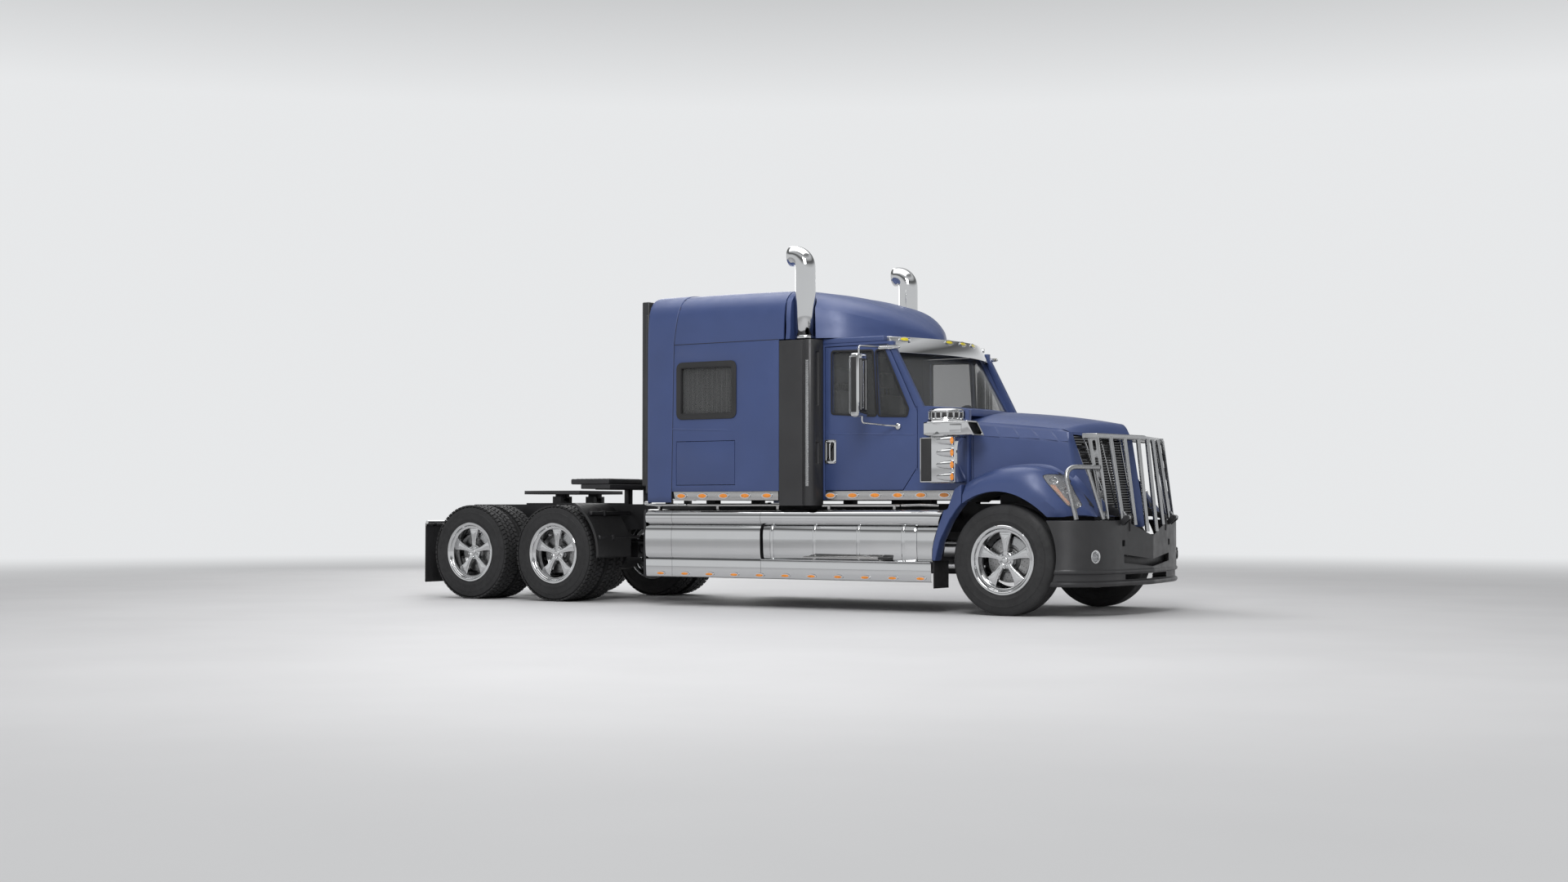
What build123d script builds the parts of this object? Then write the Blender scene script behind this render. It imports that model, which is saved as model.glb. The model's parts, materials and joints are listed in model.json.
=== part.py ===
"""Long-nose 6x4 sleeper tractor: frame, axles, wheels, hood, cab, sleeper, skirts and front guard.

Millimetres, +X forward, +Y to the left, +Z up; the origin is on the ground under the middle of the length.
"""
import os
from math import cos, pi, radians, sin

from build123d import *

os.makedirs("parts", exist_ok=True)

# ---------------------------------------------------------------- whole vehicle
FRONT_OVERHANG = 1035.0
WHEELBASE = 5444.0
TANDEM_SPREAD = 1204.0
REAR_OVERHANG = 677.0
LENGTH = FRONT_OVERHANG + WHEELBASE + TANDEM_SPREAD + REAR_OVERHANG
CAB_HALF = 1050.0
SLEEPER_STEP = 170.0      # the sleeper stands out from the cab on each side
BODY_HALF = CAB_HALF + SLEEPER_STEP
AXLE_F = LENGTH / 2 - FRONT_OVERHANG
AXLE_M = AXLE_F - WHEELBASE
AXLE_R = AXLE_M - TANDEM_SPREAD
REAR_END = -LENGTH / 2
NOSE = LENGTH / 2
RUN_GAP = 8.0           # between moving panels and what they close on
SEAT_GAP = 0.3          # between a fixed piece and its seat
PANEL_GAP = 1.0

# ---------------------------------------------------------------- tyres and wheels
TYRE_R = 525.0
TYRE_W = 270.0
TYRE_OUT = 1200.0
RIM_R = 290.0
RIM_WALL = 14.0
RIM_LIP_R = 327.0
DUAL_SPACE = 60.0
SPOKES = 5
SPOKE_TOP_W = 92.0
SPOKE_HUB_W = 62.0
HUB_R = 88.0
HUB_OUT = 75.0          # hub face behind the tyre's outer face
SPINDLE_R = 42.0
BEARING_GAP = 0.5
DISC_R = 215.0
DISC_T = 34.0
KINGPIN_Y = 930.0
KINGPIN_R = 24.0
EYE_R = 42.0
EYE_H = 110.0

# ---------------------------------------------------------------- frame
RAIL_HALF = 430.0
RAIL_H = 280.0
RAIL_FLANGE = 90.0
RAIL_WALL = 10.0
RAIL_TOP = 1060.0
RAIL_REAR_X = REAR_END + 60.0
RAIL_FRONT_X = AXLE_F + 600.0
RAIL_BOTTOM = RAIL_TOP - RAIL_H

# ---------------------------------------------------------------- cab and sleeper stations
FLOOR_Z = 1100.0
FLOOR_TOP = 1188.0
WALL = 55.0
ROOF_Z = 2720.0
SLEEPER_TOP = 3265.0
SLEEPER_REAR = AXLE_F - 4140.0
BACK_REAR = AXLE_F - 4270.0
SLEEPER_FRONT = AXLE_F - 2490.0
DOOR_REAR = AXLE_F - 2040.0
DOOR_FRONT = AXLE_F - 990.0
SEAM_X = AXLE_F - 415.0        # cowl to hood
FIREWALL_X = AXLE_F - 600.0
HINGE_X = DOOR_FRONT - 10.0
HINGE_Y = CAB_HALF - 10.0
HINGE_PIN_R = 7.5
HINGE_LOW_Z = 1398.0        # where the door's slanted foot and its pillar edge cross the hinge line
HINGE_TOP_Z = 1988.0
HINGE_REACH = 36.0
HINGE_RELIEFS = ((HINGE_LOW_Z - 12, HINGE_LOW_Z + 14), (HINGE_TOP_Z - 22, HINGE_TOP_Z + 22))
PILLAR_TOP_X = AXLE_F - 1320.0
BELT_Z = 1960.0
DOOR_TOP = 2630.0
DOOR_LOW = 1195.0
PILLAR_IN = CAB_HALF - 120.0
TOWER_FRONT = AXLE_F - 2056.0


def a(x):
    """Row X of a place given from the front axle, forward positive."""
    return AXLE_F + x


def side_outline(points, y):
    """Closed outline seen from the side, on the vertical plane y to the right of the centreline."""
    with BuildSketch(Plane.XZ.offset(y)) as outline:
        with BuildLine():
            Polyline(*points, close=True)
        make_face()
    return outline.sketch


def cross_outline(points, x):
    """Closed outline of (Y, Z) points on the plane across the vehicle at x."""
    with BuildSketch(Plane.YZ.offset(x)) as outline:
        with BuildLine():
            Polyline(*points, close=True)
        make_face()
    return outline.sketch


def plan_outline(points, z):
    """Closed outline of (X, Y) points on the level plane at height z."""
    with BuildSketch(Plane.XY.offset(z)) as outline:
        with BuildLine():
            Polyline(*points, close=True)
        make_face()
    return outline.sketch


def mirrored(points):
    """A right-hand half outline of (Y, Z) points joined to its own mirror image."""
    return points + [(-y, z) for y, z in reversed(points)]


def slab(x, y, z, mode=Mode.ADD):
    """Block between the two ends of each range."""
    with Locations((x[0], y[0], z[0])):
        Box(x[1] - x[0], y[1] - y[0], z[1] - z[0], align=(Align.MIN, Align.MIN, Align.MIN), mode=mode)


def disc_y(x, z, y, radius, mode=Mode.ADD):
    """Cylinder along Y between the two ends of the range y."""
    with Locations(Location((x, y[0], z), (-90, 0, 0))):
        Cylinder(radius, y[1] - y[0], align=(Align.CENTER, Align.CENTER, Align.MIN), mode=mode)


def tube(points, radius, bend):
    """Round bar along a path with one bend radius."""
    with BuildLine() as path:
        if bend:
            FilletPolyline(*points, radius=bend)
        else:
            Polyline(*points)
    with BuildSketch(Plane(path.line @ 0, z_dir=path.line % 0)) as section:
        Circle(radius)
    return sweep(section.sketch, path=path.line, mode=Mode.PRIVATE)


def finish(name, builder, label):
    """Label a finished piece and write it."""
    builder.part.label = label
    export_step(builder.part, f"parts/{label}.step")
    print(label, len(builder.part.solids()), name)


# ---------------------------------------------------------------- frame rails and crossmembers
with BuildPart() as frame_rails:
    extrude(
        cross_outline(
            [
                (-RAIL_HALF, RAIL_BOTTOM),
                (-RAIL_HALF + RAIL_FLANGE, RAIL_BOTTOM),
                (-RAIL_HALF + RAIL_FLANGE, RAIL_BOTTOM + RAIL_WALL),
                (-RAIL_HALF + RAIL_WALL, RAIL_BOTTOM + RAIL_WALL),
                (-RAIL_HALF + RAIL_WALL, RAIL_TOP - RAIL_WALL),
                (-RAIL_HALF + RAIL_FLANGE, RAIL_TOP - RAIL_WALL),
                (-RAIL_HALF + RAIL_FLANGE, RAIL_TOP),
                (-RAIL_HALF, RAIL_TOP),
            ],
            RAIL_REAR_X,
        ),
        amount=RAIL_FRONT_X - RAIL_REAR_X,
    )
    mirror(about=Plane.XZ)
finish("C-section rails", frame_rails, "frame_rails")

MEMBER_X = [RAIL_REAR_X + 10, AXLE_R + 170, (AXLE_M + AXLE_R) / 2 - 60, AXLE_M + 300, AXLE_M + 1150, a(-2600)]
MEMBER_T = 120.0
MEMBER_H = 150.0
with BuildPart() as crossmembers:
    for member_x in MEMBER_X:
        slab(
            (member_x, member_x + MEMBER_T),
            (-RAIL_HALF + RAIL_WALL, RAIL_HALF - RAIL_WALL),
            (RAIL_TOP - RAIL_WALL - MEMBER_H - 40, RAIL_TOP - RAIL_WALL - 40),
        )
finish("crossmembers between the webs", crossmembers, "crossmembers")

# ---------------------------------------------------------------- front axle, springs
BEAM_HALF_X = 55.0
BEAM_LOW = 345.0
BEAM_TOP = 445.0
SPRING_Y = RAIL_HALF - RAIL_FLANGE / 2
SPRING_W = 76.0
SPRING_HALF_L = 640.0
EYE_LOW = TYRE_R - EYE_H / 2
EYE_TOP = TYRE_R + EYE_H / 2
with BuildPart() as front_axle:
    extrude(
        cross_outline(
            mirrored(
                [
                    (-KINGPIN_Y + EYE_R - 8, EYE_LOW + 5),
                    (-700, BEAM_LOW + 20),
                    (-560, BEAM_LOW),
                ]
            )
            + mirrored(
                [
                    (-KINGPIN_Y + EYE_R - 8, EYE_TOP - 5),
                    (-700, BEAM_TOP + 20),
                    (-560, BEAM_TOP),
                ]
            )[::-1],
            AXLE_F - BEAM_HALF_X + 10,
        ),
        amount=2 * BEAM_HALF_X - 20,
    )
    for side in (-1, 1):
        with Locations((AXLE_F, side * KINGPIN_Y, EYE_LOW)):
            Cylinder(EYE_R, EYE_H, align=(Align.CENTER, Align.CENTER, Align.MIN))
        with Locations((AXLE_F, side * KINGPIN_Y, EYE_LOW)):
            Cylinder(
                KINGPIN_R + BEARING_GAP, EYE_H, align=(Align.CENTER, Align.CENTER, Align.MIN), mode=Mode.SUBTRACT
            )
        slab(
            (AXLE_F - 90, AXLE_F + 90),
            (side * SPRING_Y - SPRING_W / 2, side * SPRING_Y + SPRING_W / 2),
            (BEAM_TOP - 20, BEAM_TOP + 60),
        )
    leaf_top = [
        (AXLE_F - SPRING_HALF_L, RAIL_BOTTOM - 70),
        (AXLE_F - 300, BEAM_TOP + 130),
        (AXLE_F, BEAM_TOP + 90),
        (AXLE_F + 250, BEAM_TOP + 130),
        (AXLE_F + SPRING_HALF_L - 60, RAIL_BOTTOM - 70),
    ]
    leaf = leaf_top + [(x, z - (50 if abs(x - AXLE_F) < 400 else 26)) for x, z in reversed(leaf_top)]
    extrude(side_outline(leaf, SPRING_Y - SPRING_W / 2), amount=SPRING_W)
    extrude(side_outline(leaf, -SPRING_Y - SPRING_W / 2), amount=SPRING_W)
    for hanger_x in (AXLE_F - SPRING_HALF_L - 20, AXLE_F + SPRING_HALF_L - 120):
        for side in (-1, 1):
            slab(
                (hanger_x, hanger_x + 80),
                (side * SPRING_Y - SPRING_W / 2, side * SPRING_Y + SPRING_W / 2),
                (RAIL_BOTTOM - 96, RAIL_BOTTOM),
            )
finish("beam, springs and hangers", front_axle, "front_axle")

# ---------------------------------------------------------------- drive axles and their suspension
AXLE_TUBE_R = 72.0
AXLE_TUBE_END = 905.0
PIG_R = 205.0
with BuildPart() as drive_axles:
    for axle_x in (AXLE_M, AXLE_R):
        disc_y(axle_x, TYRE_R, (-AXLE_TUBE_END + 330, AXLE_TUBE_END - 330), AXLE_TUBE_R)
        disc_y(axle_x, TYRE_R, (-TYRE_OUT + HUB_OUT + 12, TYRE_OUT - HUB_OUT - 12), SPINDLE_R)
        disc_y(axle_x, TYRE_R, (-130, 130), PIG_R)
        slab((axle_x + 40, axle_x + 326), (-95, 95), (TYRE_R - 60, TYRE_R + 110))
    slab((AXLE_R + 320, AXLE_M - 190), (-45, 45), (TYRE_R - 20, TYRE_R + 70))
finish("axle housings with the short shaft", drive_axles, "drive_axles")

BEAM_ARM_Y = 385.0
BAG_R = 125.0
with BuildPart() as rear_suspension:
    for axle_x in (AXLE_M, AXLE_R):
        for side in (-1, 1):
            slab(
                (axle_x - 420, axle_x + 420),
                (side * BEAM_ARM_Y - 40, side * BEAM_ARM_Y + 40),
                (TYRE_R + AXLE_TUBE_R, TYRE_R + AXLE_TUBE_R + 60),
            )
            with Locations((axle_x - 290, side * BEAM_ARM_Y, TYRE_R + AXLE_TUBE_R + 60)):
                Cylinder(
                    BAG_R - 10,
                    RAIL_BOTTOM - TYRE_R - AXLE_TUBE_R - 60,
                    align=(Align.CENTER, Align.CENTER, Align.MIN),
                )
            slab(
                (axle_x + 330, axle_x + 420),
                (side * BEAM_ARM_Y - 40, side * BEAM_ARM_Y + 40),
                (TYRE_R + AXLE_TUBE_R + 60, RAIL_BOTTOM),
            )
finish("trailing arms, air springs and hangers", rear_suspension, "rear_suspension")

# ---------------------------------------------------------------- engine, gearbox and radiator
PINION_X = AXLE_M + 326.0
SHAFT_R = 55.0
SHAFT_TOP_Z = 840.0
SHAFT_FALL = 4.7
SHAFT_RUN = a(-1690) - PINION_X - 5.0
with BuildPart() as powertrain:
    slab((a(-470), a(300)), (-290, 290), (760, 1600))
    slab((a(-300), a(260)), (-200, 200), (540, 760))
    slab((a(-900), a(-470)), (-230, 230), (720, 1020))
    slab((a(-1700), a(-900)), (-170, 170), (700, 980))
    slab((a(380), a(480)), (-410, 410), (RAIL_TOP + 2, 1620))
    slab((a(380), a(480)), (-330, 330), (900, RAIL_TOP + 2))
    slab((a(300), a(380)), (-250, 250), (1000, 1400))
    with Locations(Location((a(-1690), 0, SHAFT_TOP_Z), (0, -90 - SHAFT_FALL, 0))):
        Cylinder(SHAFT_R, SHAFT_RUN / cos(radians(SHAFT_FALL)), align=(Align.CENTER, Align.CENTER, Align.MIN))
    for side in (-1, 1):
        slab(
            (a(-200), a(-60)),
            (min(side * 280, side * (RAIL_HALF - RAIL_WALL)), max(side * 280, side * (RAIL_HALF - RAIL_WALL))),
            (RAIL_BOTTOM + RAIL_WALL + 60, RAIL_TOP - RAIL_WALL - 60),
        )
finish("engine, gearbox, radiator and shaft", powertrain, "powertrain")

# ---------------------------------------------------------------- bumper
BUMPER_TOP = 900.0
BUMPER_FACE_LOW = 420.0
BUMPER_LOW = 280.0
BUMPER_WALL = 12.0
BUMPER_ARCH_R = 622.0
NOTCH_Z = 751.0
NOTCH_Y = 550.0


def bumper_plan(inset, lip):
    """Half plan of the bumper's face from the middle round to the side, set back by inset."""
    return [
        (NOSE - inset + lip, 0),
        (a(970) - inset + lip, -NOTCH_Y),
        (a(930) - inset + lip, -800),
        (a(862) - inset + lip, -1000 + inset / 3),
        (a(750) - inset + lip / 2, -BODY_HALF + 70 + inset),
        (a(620), -BODY_HALF + 12 + inset - lip / 4),
        (a(430), -BODY_HALF + inset),
    ]


def bumper_ring(outer_inset, wall, lip):
    """Closed plan of a bumper band of the given wall."""
    outer = bumper_plan(outer_inset, lip)
    inner = bumper_plan(outer_inset + wall, lip)
    right = outer + inner[::-1]
    left = [(x, -y) for x, y in outer[1:]]
    left_in = [(x, -y) for x, y in inner[1:]]
    return right[: len(outer)][::-1] + left + left_in[::-1] + inner


def arch_cut(radius, centre_z, y, mode=Mode.SUBTRACT):
    """Round wheel arch about the front axle between two distances from the centreline, both sides."""
    disc_y(a(-60), centre_z, (-y[1], -y[0]), radius, mode)
    disc_y(a(-60), centre_z, (y[0], y[1]), radius, mode)


ARCH_Z = 560.0
BRACKET_X = a(450)
HOOD_PIVOT_X = a(970)
HOOD_PIVOT_Z = 930.0
HOOD_PIN_R = 12.0
HOOD_ARM_Y = (404.0, 424.0)
GUARD_PIVOT_X = a(1016)
GUARD_PIVOT_Z = 930.0
GUARD_PIN_R = 10.0
GUARD_EAR_Y = 580.0
EAR_OUTLINE = [(a(950), 880), (a(962), 850), (a(1036), 912), (a(1036), 948), (a(998), 948), (a(950), 905)]
with BuildPart() as bumper:
    extrude(plan_outline(bumper_ring(0, BUMPER_WALL, 0), BUMPER_FACE_LOW), amount=BUMPER_TOP - BUMPER_FACE_LOW)
    extrude(plan_outline(bumper_ring(0, 60, 0), BUMPER_FACE_LOW - 20), amount=32)
    extrude(plan_outline(bumper_ring(35, 25, 0), 330), amount=80)
    extrude(plan_outline(bumper_ring(0, 60, 0), BUMPER_LOW), amount=56)
    for side in (-1, 1):
        slab(
            (BRACKET_X, a(978)),
            (min(side * RAIL_HALF, side * (RAIL_HALF + 16)), max(side * RAIL_HALF, side * (RAIL_HALF + 16))),
            (560, RAIL_BOTTOM + 60),
        )
    # vee notch in the top edge
    extrude(cross_outline([(-NOTCH_Y, 1000), (-NOTCH_Y, 900), (0, NOTCH_Z), (NOTCH_Y, 900), (NOTCH_Y, 1000)], a(880)), amount=300, mode=Mode.SUBTRACT)
    # chevron air slot and lower slot
    extrude(cross_outline([(-552, 579), (0, 528), (552, 579), (552, 500), (0, 457), (-552, 500)], a(880)), amount=300, mode=Mode.SUBTRACT)
    extrude(cross_outline([(-506, 398), (506, 398), (506, 340), (-506, 340)], a(880)), amount=300, mode=Mode.SUBTRACT)
    for side in (-1, 1):
        slab((a(880), a(1100)), (side * 557 - 28, side * 557 + 28), (657, 713), Mode.SUBTRACT)
        with Locations(Location((a(940), side * 1000, 559), (0, -90, side * 35))):
            Cylinder(50, 300, mode=Mode.SUBTRACT)
    arch_cut(BUMPER_ARCH_R, ARCH_Z, (BODY_HALF - 260, BODY_HALF + 60))
    # lugs and pins that carry the hood
    for side in (-1, 1):
        extrude(
            side_outline(
                [
                    (HOOD_PIVOT_X - 26, 800),
                    (a(978), 800),
                    (HOOD_PIVOT_X + 14, HOOD_PIVOT_Z + 18),
                    (HOOD_PIVOT_X - 22, HOOD_PIVOT_Z + 18),
                ],
                RAIL_HALF if side < 0 else -RAIL_HALF - 16,
            ),
            amount=16,
        )
        disc_y(HOOD_PIVOT_X, HOOD_PIVOT_Z, sorted((side * (HOOD_ARM_Y[0] - 4), side * (RAIL_HALF + 16))), HOOD_PIN_R)
    # ears and pins that carry the guard
    for side in (-1, 1):
        for ear_y in (side * GUARD_EAR_Y - 31, side * GUARD_EAR_Y + 31):
            extrude(side_outline(EAR_OUTLINE, -ear_y - 6), amount=12)
        disc_y(GUARD_PIVOT_X, GUARD_PIVOT_Z, (side * GUARD_EAR_Y - 36, side * GUARD_EAR_Y + 36), GUARD_PIN_R)
finish("shell bumper with brackets", bumper, "bumper")

# ---------------------------------------------------------------- front guard
GUARD_TOP = 1700.0
GUARD_TUBE = 26.0
GUARD_PLATE_Y = BODY_HALF - 420.0
GUARD_CLEAR = 9.0
GUARD_FOOT = BUMPER_TOP + 6
with BuildPart() as bull_bar:
    add(
        tube(
            [
                (a(700), -GUARD_PLATE_Y, GUARD_TOP),
                (a(808), -GUARD_PLATE_Y, GUARD_TOP),
                (a(955), 0, GUARD_TOP - 8),
                (a(808), GUARD_PLATE_Y, GUARD_TOP),
                (a(700), GUARD_PLATE_Y, GUARD_TOP),
            ],
            GUARD_TUBE + 4,
            30,
        )
    )
    for bar_y in (-580, -345, -112, 112, 345, 580):
        along = abs(bar_y)
        foot_z = min(BUMPER_TOP, NOTCH_Z + (BUMPER_TOP - NOTCH_Z) * along / NOTCH_Y) + GUARD_CLEAR
        add(
            tube(
                [
                    (a(1023) - 0.118 * along, bar_y, foot_z),
                    (a(950) - 0.175 * along, bar_y, GUARD_TOP - 10),
                ],
                GUARD_TUBE - 4,
                0,
            )
        )
    for side in (-1, 1):
        extrude(
            side_outline(
                [
                    (a(700), GUARD_TOP),
                    (a(812), GUARD_TOP),
                    (a(918), GUARD_FOOT),
                    (a(850), GUARD_FOOT),
                ],
                side * GUARD_PLATE_Y - 6,
            ),
            amount=12,
        )
        add(
            tube(
                [
                    (a(720), side * (GUARD_PLATE_Y + 305), GUARD_FOOT),
                    (a(590), side * (GUARD_PLATE_Y + 290), 1410),
                    (a(830), side * GUARD_PLATE_Y, 1400),
                ],
                GUARD_TUBE - 2,
                90,
            )
        )
        add(tube([(a(735), side * (GUARD_PLATE_Y + 85), 1400), (a(880), side * (GUARD_PLATE_Y + 50), GUARD_FOOT + 4)], GUARD_TUBE - 6, 0))
    for side in (-1, 1):
        extrude(
            side_outline(
                [(a(942), 912), (a(1000), 906), (a(1036), 912), (a(1036), 948), (a(1000), 952), (a(975), 985), (a(942), 985)],
                -side * GUARD_EAR_Y - 14,
            ),
            amount=28,
        )
        disc_y(
            GUARD_PIVOT_X,
            GUARD_PIVOT_Z,
            (side * GUARD_EAR_Y - 15, side * GUARD_EAR_Y + 15),
            GUARD_PIN_R + BEARING_GAP,
            Mode.SUBTRACT,
        )
finish("folding front guard", bull_bar, "bull_bar")

# ---------------------------------------------------------------- hood with its fenders
HOOD_WALL = 30.0
HOOD_TAIL_Y = CAB_HALF - 85.0
HOOD_NOSE_Y = CAB_HALF - 308.0
HOOD_LOW = 930.0
NOSE_TOP_X = a(800)
NOSE_TOP_Z = 1754.0
NOSE_LEAN = 0.165
NOSE_SWEEP = 0.4
GRILLE_X = a(775)
GRILLE_Z = 1653.0
TOP_LINE = [(a(-415), 1975), (a(-170), 1953), (a(260), 1903), (a(680), 1805), (a(810), 1750), (a(960), 1690)]
ARCH_R = 613.0
ARCH_INNER_R = 665.0
FENDER_IN = 300.0
FLARE_Y = BODY_HALF - 10.0
SHOULDER_Y = FLARE_Y - 90.0


def nose_plane(side, back):
    """Plane of one half of the vee nose, moved back along X."""
    normal = Vector(1, side * NOSE_SWEEP, NOSE_LEAN)
    return Plane(origin=(GRILLE_X - back, 0, GRILLE_Z), z_dir=normal)


def hood_block(inset, low):
    """Upper hood between the sides, under the top line and behind the vee nose, set in all round."""
    with BuildPart(mode=Mode.PRIVATE) as block:
        extrude(
            plan_outline(
                [
                    (SEAM_X - (1 if inset else 0), -HOOD_TAIL_Y + inset),
                    (a(490), -HOOD_NOSE_Y + inset),
                    (a(1000), -HOOD_NOSE_Y + inset),
                    (a(1000), HOOD_NOSE_Y - inset),
                    (a(490), HOOD_NOSE_Y - inset),
                    (SEAM_X - (1 if inset else 0), HOOD_TAIL_Y - inset),
                ],
                low,
            ),
            amount=2000 - low,
        )
        extrude(
            side_outline([(x, z - inset) for x, z in TOP_LINE] + [(a(960), low - 10), (a(-420), low - 10), (a(-420), 1975 - inset)], -1000),
            amount=2000,
            mode=Mode.INTERSECT,
        )
        split(bisect_by=nose_plane(-1, inset), keep=Keep.BOTTOM)
        split(bisect_by=nose_plane(1, inset), keep=Keep.BOTTOM)
    return block.part


# distance from the centreline, then the fender's side outline from its tail over the wheel to its front
FENDER_SECTIONS = [
    (FENDER_IN, [(-415, 930), (-415, 1240), (-215, 1330), (160, 1390), (420, 1305), (620, 1180), (800, 930)]),
    (820, [(-415, 930), (-415, 1240), (-215, 1335), (160, 1398), (420, 1310), (620, 1160), (815, 930)]),
    (SHOULDER_Y, [(-415, 930), (-415, 1240), (-215, 1344), (160, 1400), (400, 1300), (540, 1155), (650, 930)]),
    (FLARE_Y, [(-415, 930), (-415, 1130), (-211, 1211), (0, 1238), (204, 1218), (400, 1120), (560, 930)]),
]


def fender(side):
    """Closed fender body on one side."""
    sections = [
        side_outline([(a(x), z) for x, z in points], -side * distance) for distance, points in FENDER_SECTIONS
    ]
    return loft(sections, ruled=True, mode=Mode.PRIVATE)


LAMP_OUTLINE = [(380, 1322), (462, 1330), (560, 1225), (690, 1045), (668, 998), (600, 1040), (500, 1160)]
# share of the nose's half width, then height
GRILLE_SHARES = [(0.128, 935), (0.101, 1665), (0.930, 1733), (0.842, 1430), (0.7345, 1250), (0.392, 940)]
GRILLE_OUTLINE = [(-share * HOOD_NOSE_Y, z) for share, z in GRILLE_SHARES]


def nose_points(side, points):
    """Points of (Y, Z) on one half of the vee nose, in that plane's own directions."""
    plane = nose_plane(side, 0)
    found = []
    for y, z in points:
        x = GRILLE_X + NOSE_LEAN * (GRILLE_Z - z) - NOSE_SWEEP * abs(y)
        local = plane.to_local_coords(Vector(x, -side * y if side > 0 else y, z))
        found.append((local.X, local.Y))
    return found


def grille_prism(side, grow, front, back):
    """Grille outline driven through the nose along the plane's normal."""
    plane = nose_plane(side, 0)
    with BuildSketch(plane.offset(front)) as outline:
        with BuildLine():
            Polyline(*nose_points(side, GRILLE_OUTLINE), close=True)
        make_face()
        if grow:
            offset(amount=grow, kind=Kind.INTERSECTION)
    return extrude(outline.sketch, amount=-(front + back), mode=Mode.PRIVATE)


with BuildPart() as hood:
    add(hood_block(0, HOOD_LOW))
    for side in (-1, 1):
        add(fender(side))
    add(hood_block(HOOD_WALL, HOOD_LOW - 10), mode=Mode.SUBTRACT)
    arch_cut(ARCH_R, ARCH_Z, (400, FLARE_Y + 10))
    arch_cut(ARCH_INNER_R, ARCH_Z, (640, FLARE_Y - 18))
    slab((a(-500), SEAM_X + 12), (-CAB_HALF - 12, CAB_HALF + 12), (900, 1300), Mode.SUBTRACT)
    for side in (-1, 1):
        add(grille_prism(side, 0, 60, 60), mode=Mode.SUBTRACT)
        extrude(side_outline([(a(x), z) for x, z in LAMP_OUTLINE], SHOULDER_Y - 260 if side < 0 else -SHOULDER_Y - 180), amount=440, mode=Mode.SUBTRACT)
    for side in (-1, 1):
        extrude(
            side_outline(
                [
                    (a(672), 1075),
                    (a(712), 1060),
                    (HOOD_PIVOT_X + 6, HOOD_PIVOT_Z + 22),
                    (HOOD_PIVOT_X + 20, HOOD_PIVOT_Z),
                    (HOOD_PIVOT_X, HOOD_PIVOT_Z - 20),
                    (a(690), 960),
                ],
                HOOD_ARM_Y[0] if side < 0 else -HOOD_ARM_Y[1],
            ),
            amount=HOOD_ARM_Y[1] - HOOD_ARM_Y[0],
        )
        bore = sorted((side * (HOOD_ARM_Y[0] - 1), side * (HOOD_ARM_Y[1] + 1)))
        disc_y(HOOD_PIVOT_X, HOOD_PIVOT_Z, bore, HOOD_PIN_R + BEARING_GAP, Mode.SUBTRACT)
finish("tilting hood", hood, "hood")

with BuildPart() as headlamps:
    for side in (-1, 1):
        add(fender(side))
    with BuildPart(mode=Mode.PRIVATE) as lamp_space:
        for side in (-1, 1):
            extrude(side_outline([(a(x), z) for x, z in LAMP_OUTLINE], SHOULDER_Y - 258 if side < 0 else -SHOULDER_Y - 182), amount=440)
    add(lamp_space.part, mode=Mode.INTERSECT)
    arch_cut(ARCH_INNER_R + 1, ARCH_Z, (640, FLARE_Y + 40))
finish("headlamps", headlamps, "headlamps")

SLAT_PITCH = 32.0
SLAT_H = 12.0
SLAT_DEPTH = 22.0
with BuildPart() as grille:
    for side in (-1, 1):
        plane = nose_plane(side, 14)
        with BuildPart(mode=Mode.PRIVATE) as bars:
            for row in range(-22, 4):
                z = GRILLE_Z + row * SLAT_PITCH + 60
                slab((a(300), a(1000)), (-800, 800), (z, z + SLAT_H))
            for distance in (95, 420, 590):
                slab((a(300), a(1000)), (distance - 7, distance + 7), (900, 1760))
                slab((a(300), a(1000)), (-distance - 7, -distance + 7), (900, 1760))
        with BuildPart(mode=Mode.PRIVATE) as half:
            add(grille_prism(side, -SEAT_GAP, -6, SLAT_DEPTH + 6))
            add(bars.part, mode=Mode.INTERSECT)
        add(half.part)
finish("grille", grille, "grille")

# ---------------------------------------------------------------- cab floor and sleeper floor
with BuildPart() as cab_floor:
    slab((SLEEPER_REAR, SLEEPER_FRONT), (-BODY_HALF + 25, BODY_HALF - 25), (FLOOR_Z, FLOOR_TOP))
    slab((SLEEPER_FRONT, FIREWALL_X), (-CAB_HALF + WALL + 5, CAB_HALF - WALL - 5), (FLOOR_Z, FLOOR_TOP))
    for mount_x in (a(-3900), a(-2700), a(-1250), a(-760)):
        for side in (-1, 1):
            slab(
                (mount_x, mount_x + 120),
                (side * RAIL_HALF - 50 + side * 5, side * RAIL_HALF + 50 + side * 5),
                (RAIL_TOP, FLOOR_Z),
            )
finish("floors on their mounts", cab_floor, "cab_floor")

# ---------------------------------------------------------------- cab sides with the door openings
GLASS_T = 10.0
SHIELD_LOW = 2022.0
SHIELD_TOP = ROOF_Z - 90.0
SHIELD_LOW_CORNER = a(-1000)
SHIELD_LOW_MID = a(-770)
SHIELD_TOP_CORNER = a(-1350)
SHIELD_TOP_MID = a(-1110)
DOOR_OUTLINE = [
    (DOOR_REAR, DOOR_LOW),
    (DOOR_REAR, DOOR_TOP),
    (PILLAR_TOP_X, DOOR_TOP),
    (DOOR_FRONT, BELT_Z),
    (DOOR_FRONT, 1420),
    (a(-1150), DOOR_LOW),
]
CAB_SIDE_OUTLINE = [
    (SLEEPER_FRONT, FLOOR_Z),
    (SEAM_X - RUN_GAP, FLOOR_Z),
    (SEAM_X - RUN_GAP, 1960),
    (a(-930), 2010),
    (a(-1258), ROOF_Z - 90),
    (a(-1258), ROOF_Z - WALL - SEAT_GAP),
    (SLEEPER_FRONT, ROOF_Z - WALL - SEAT_GAP),
]


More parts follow.
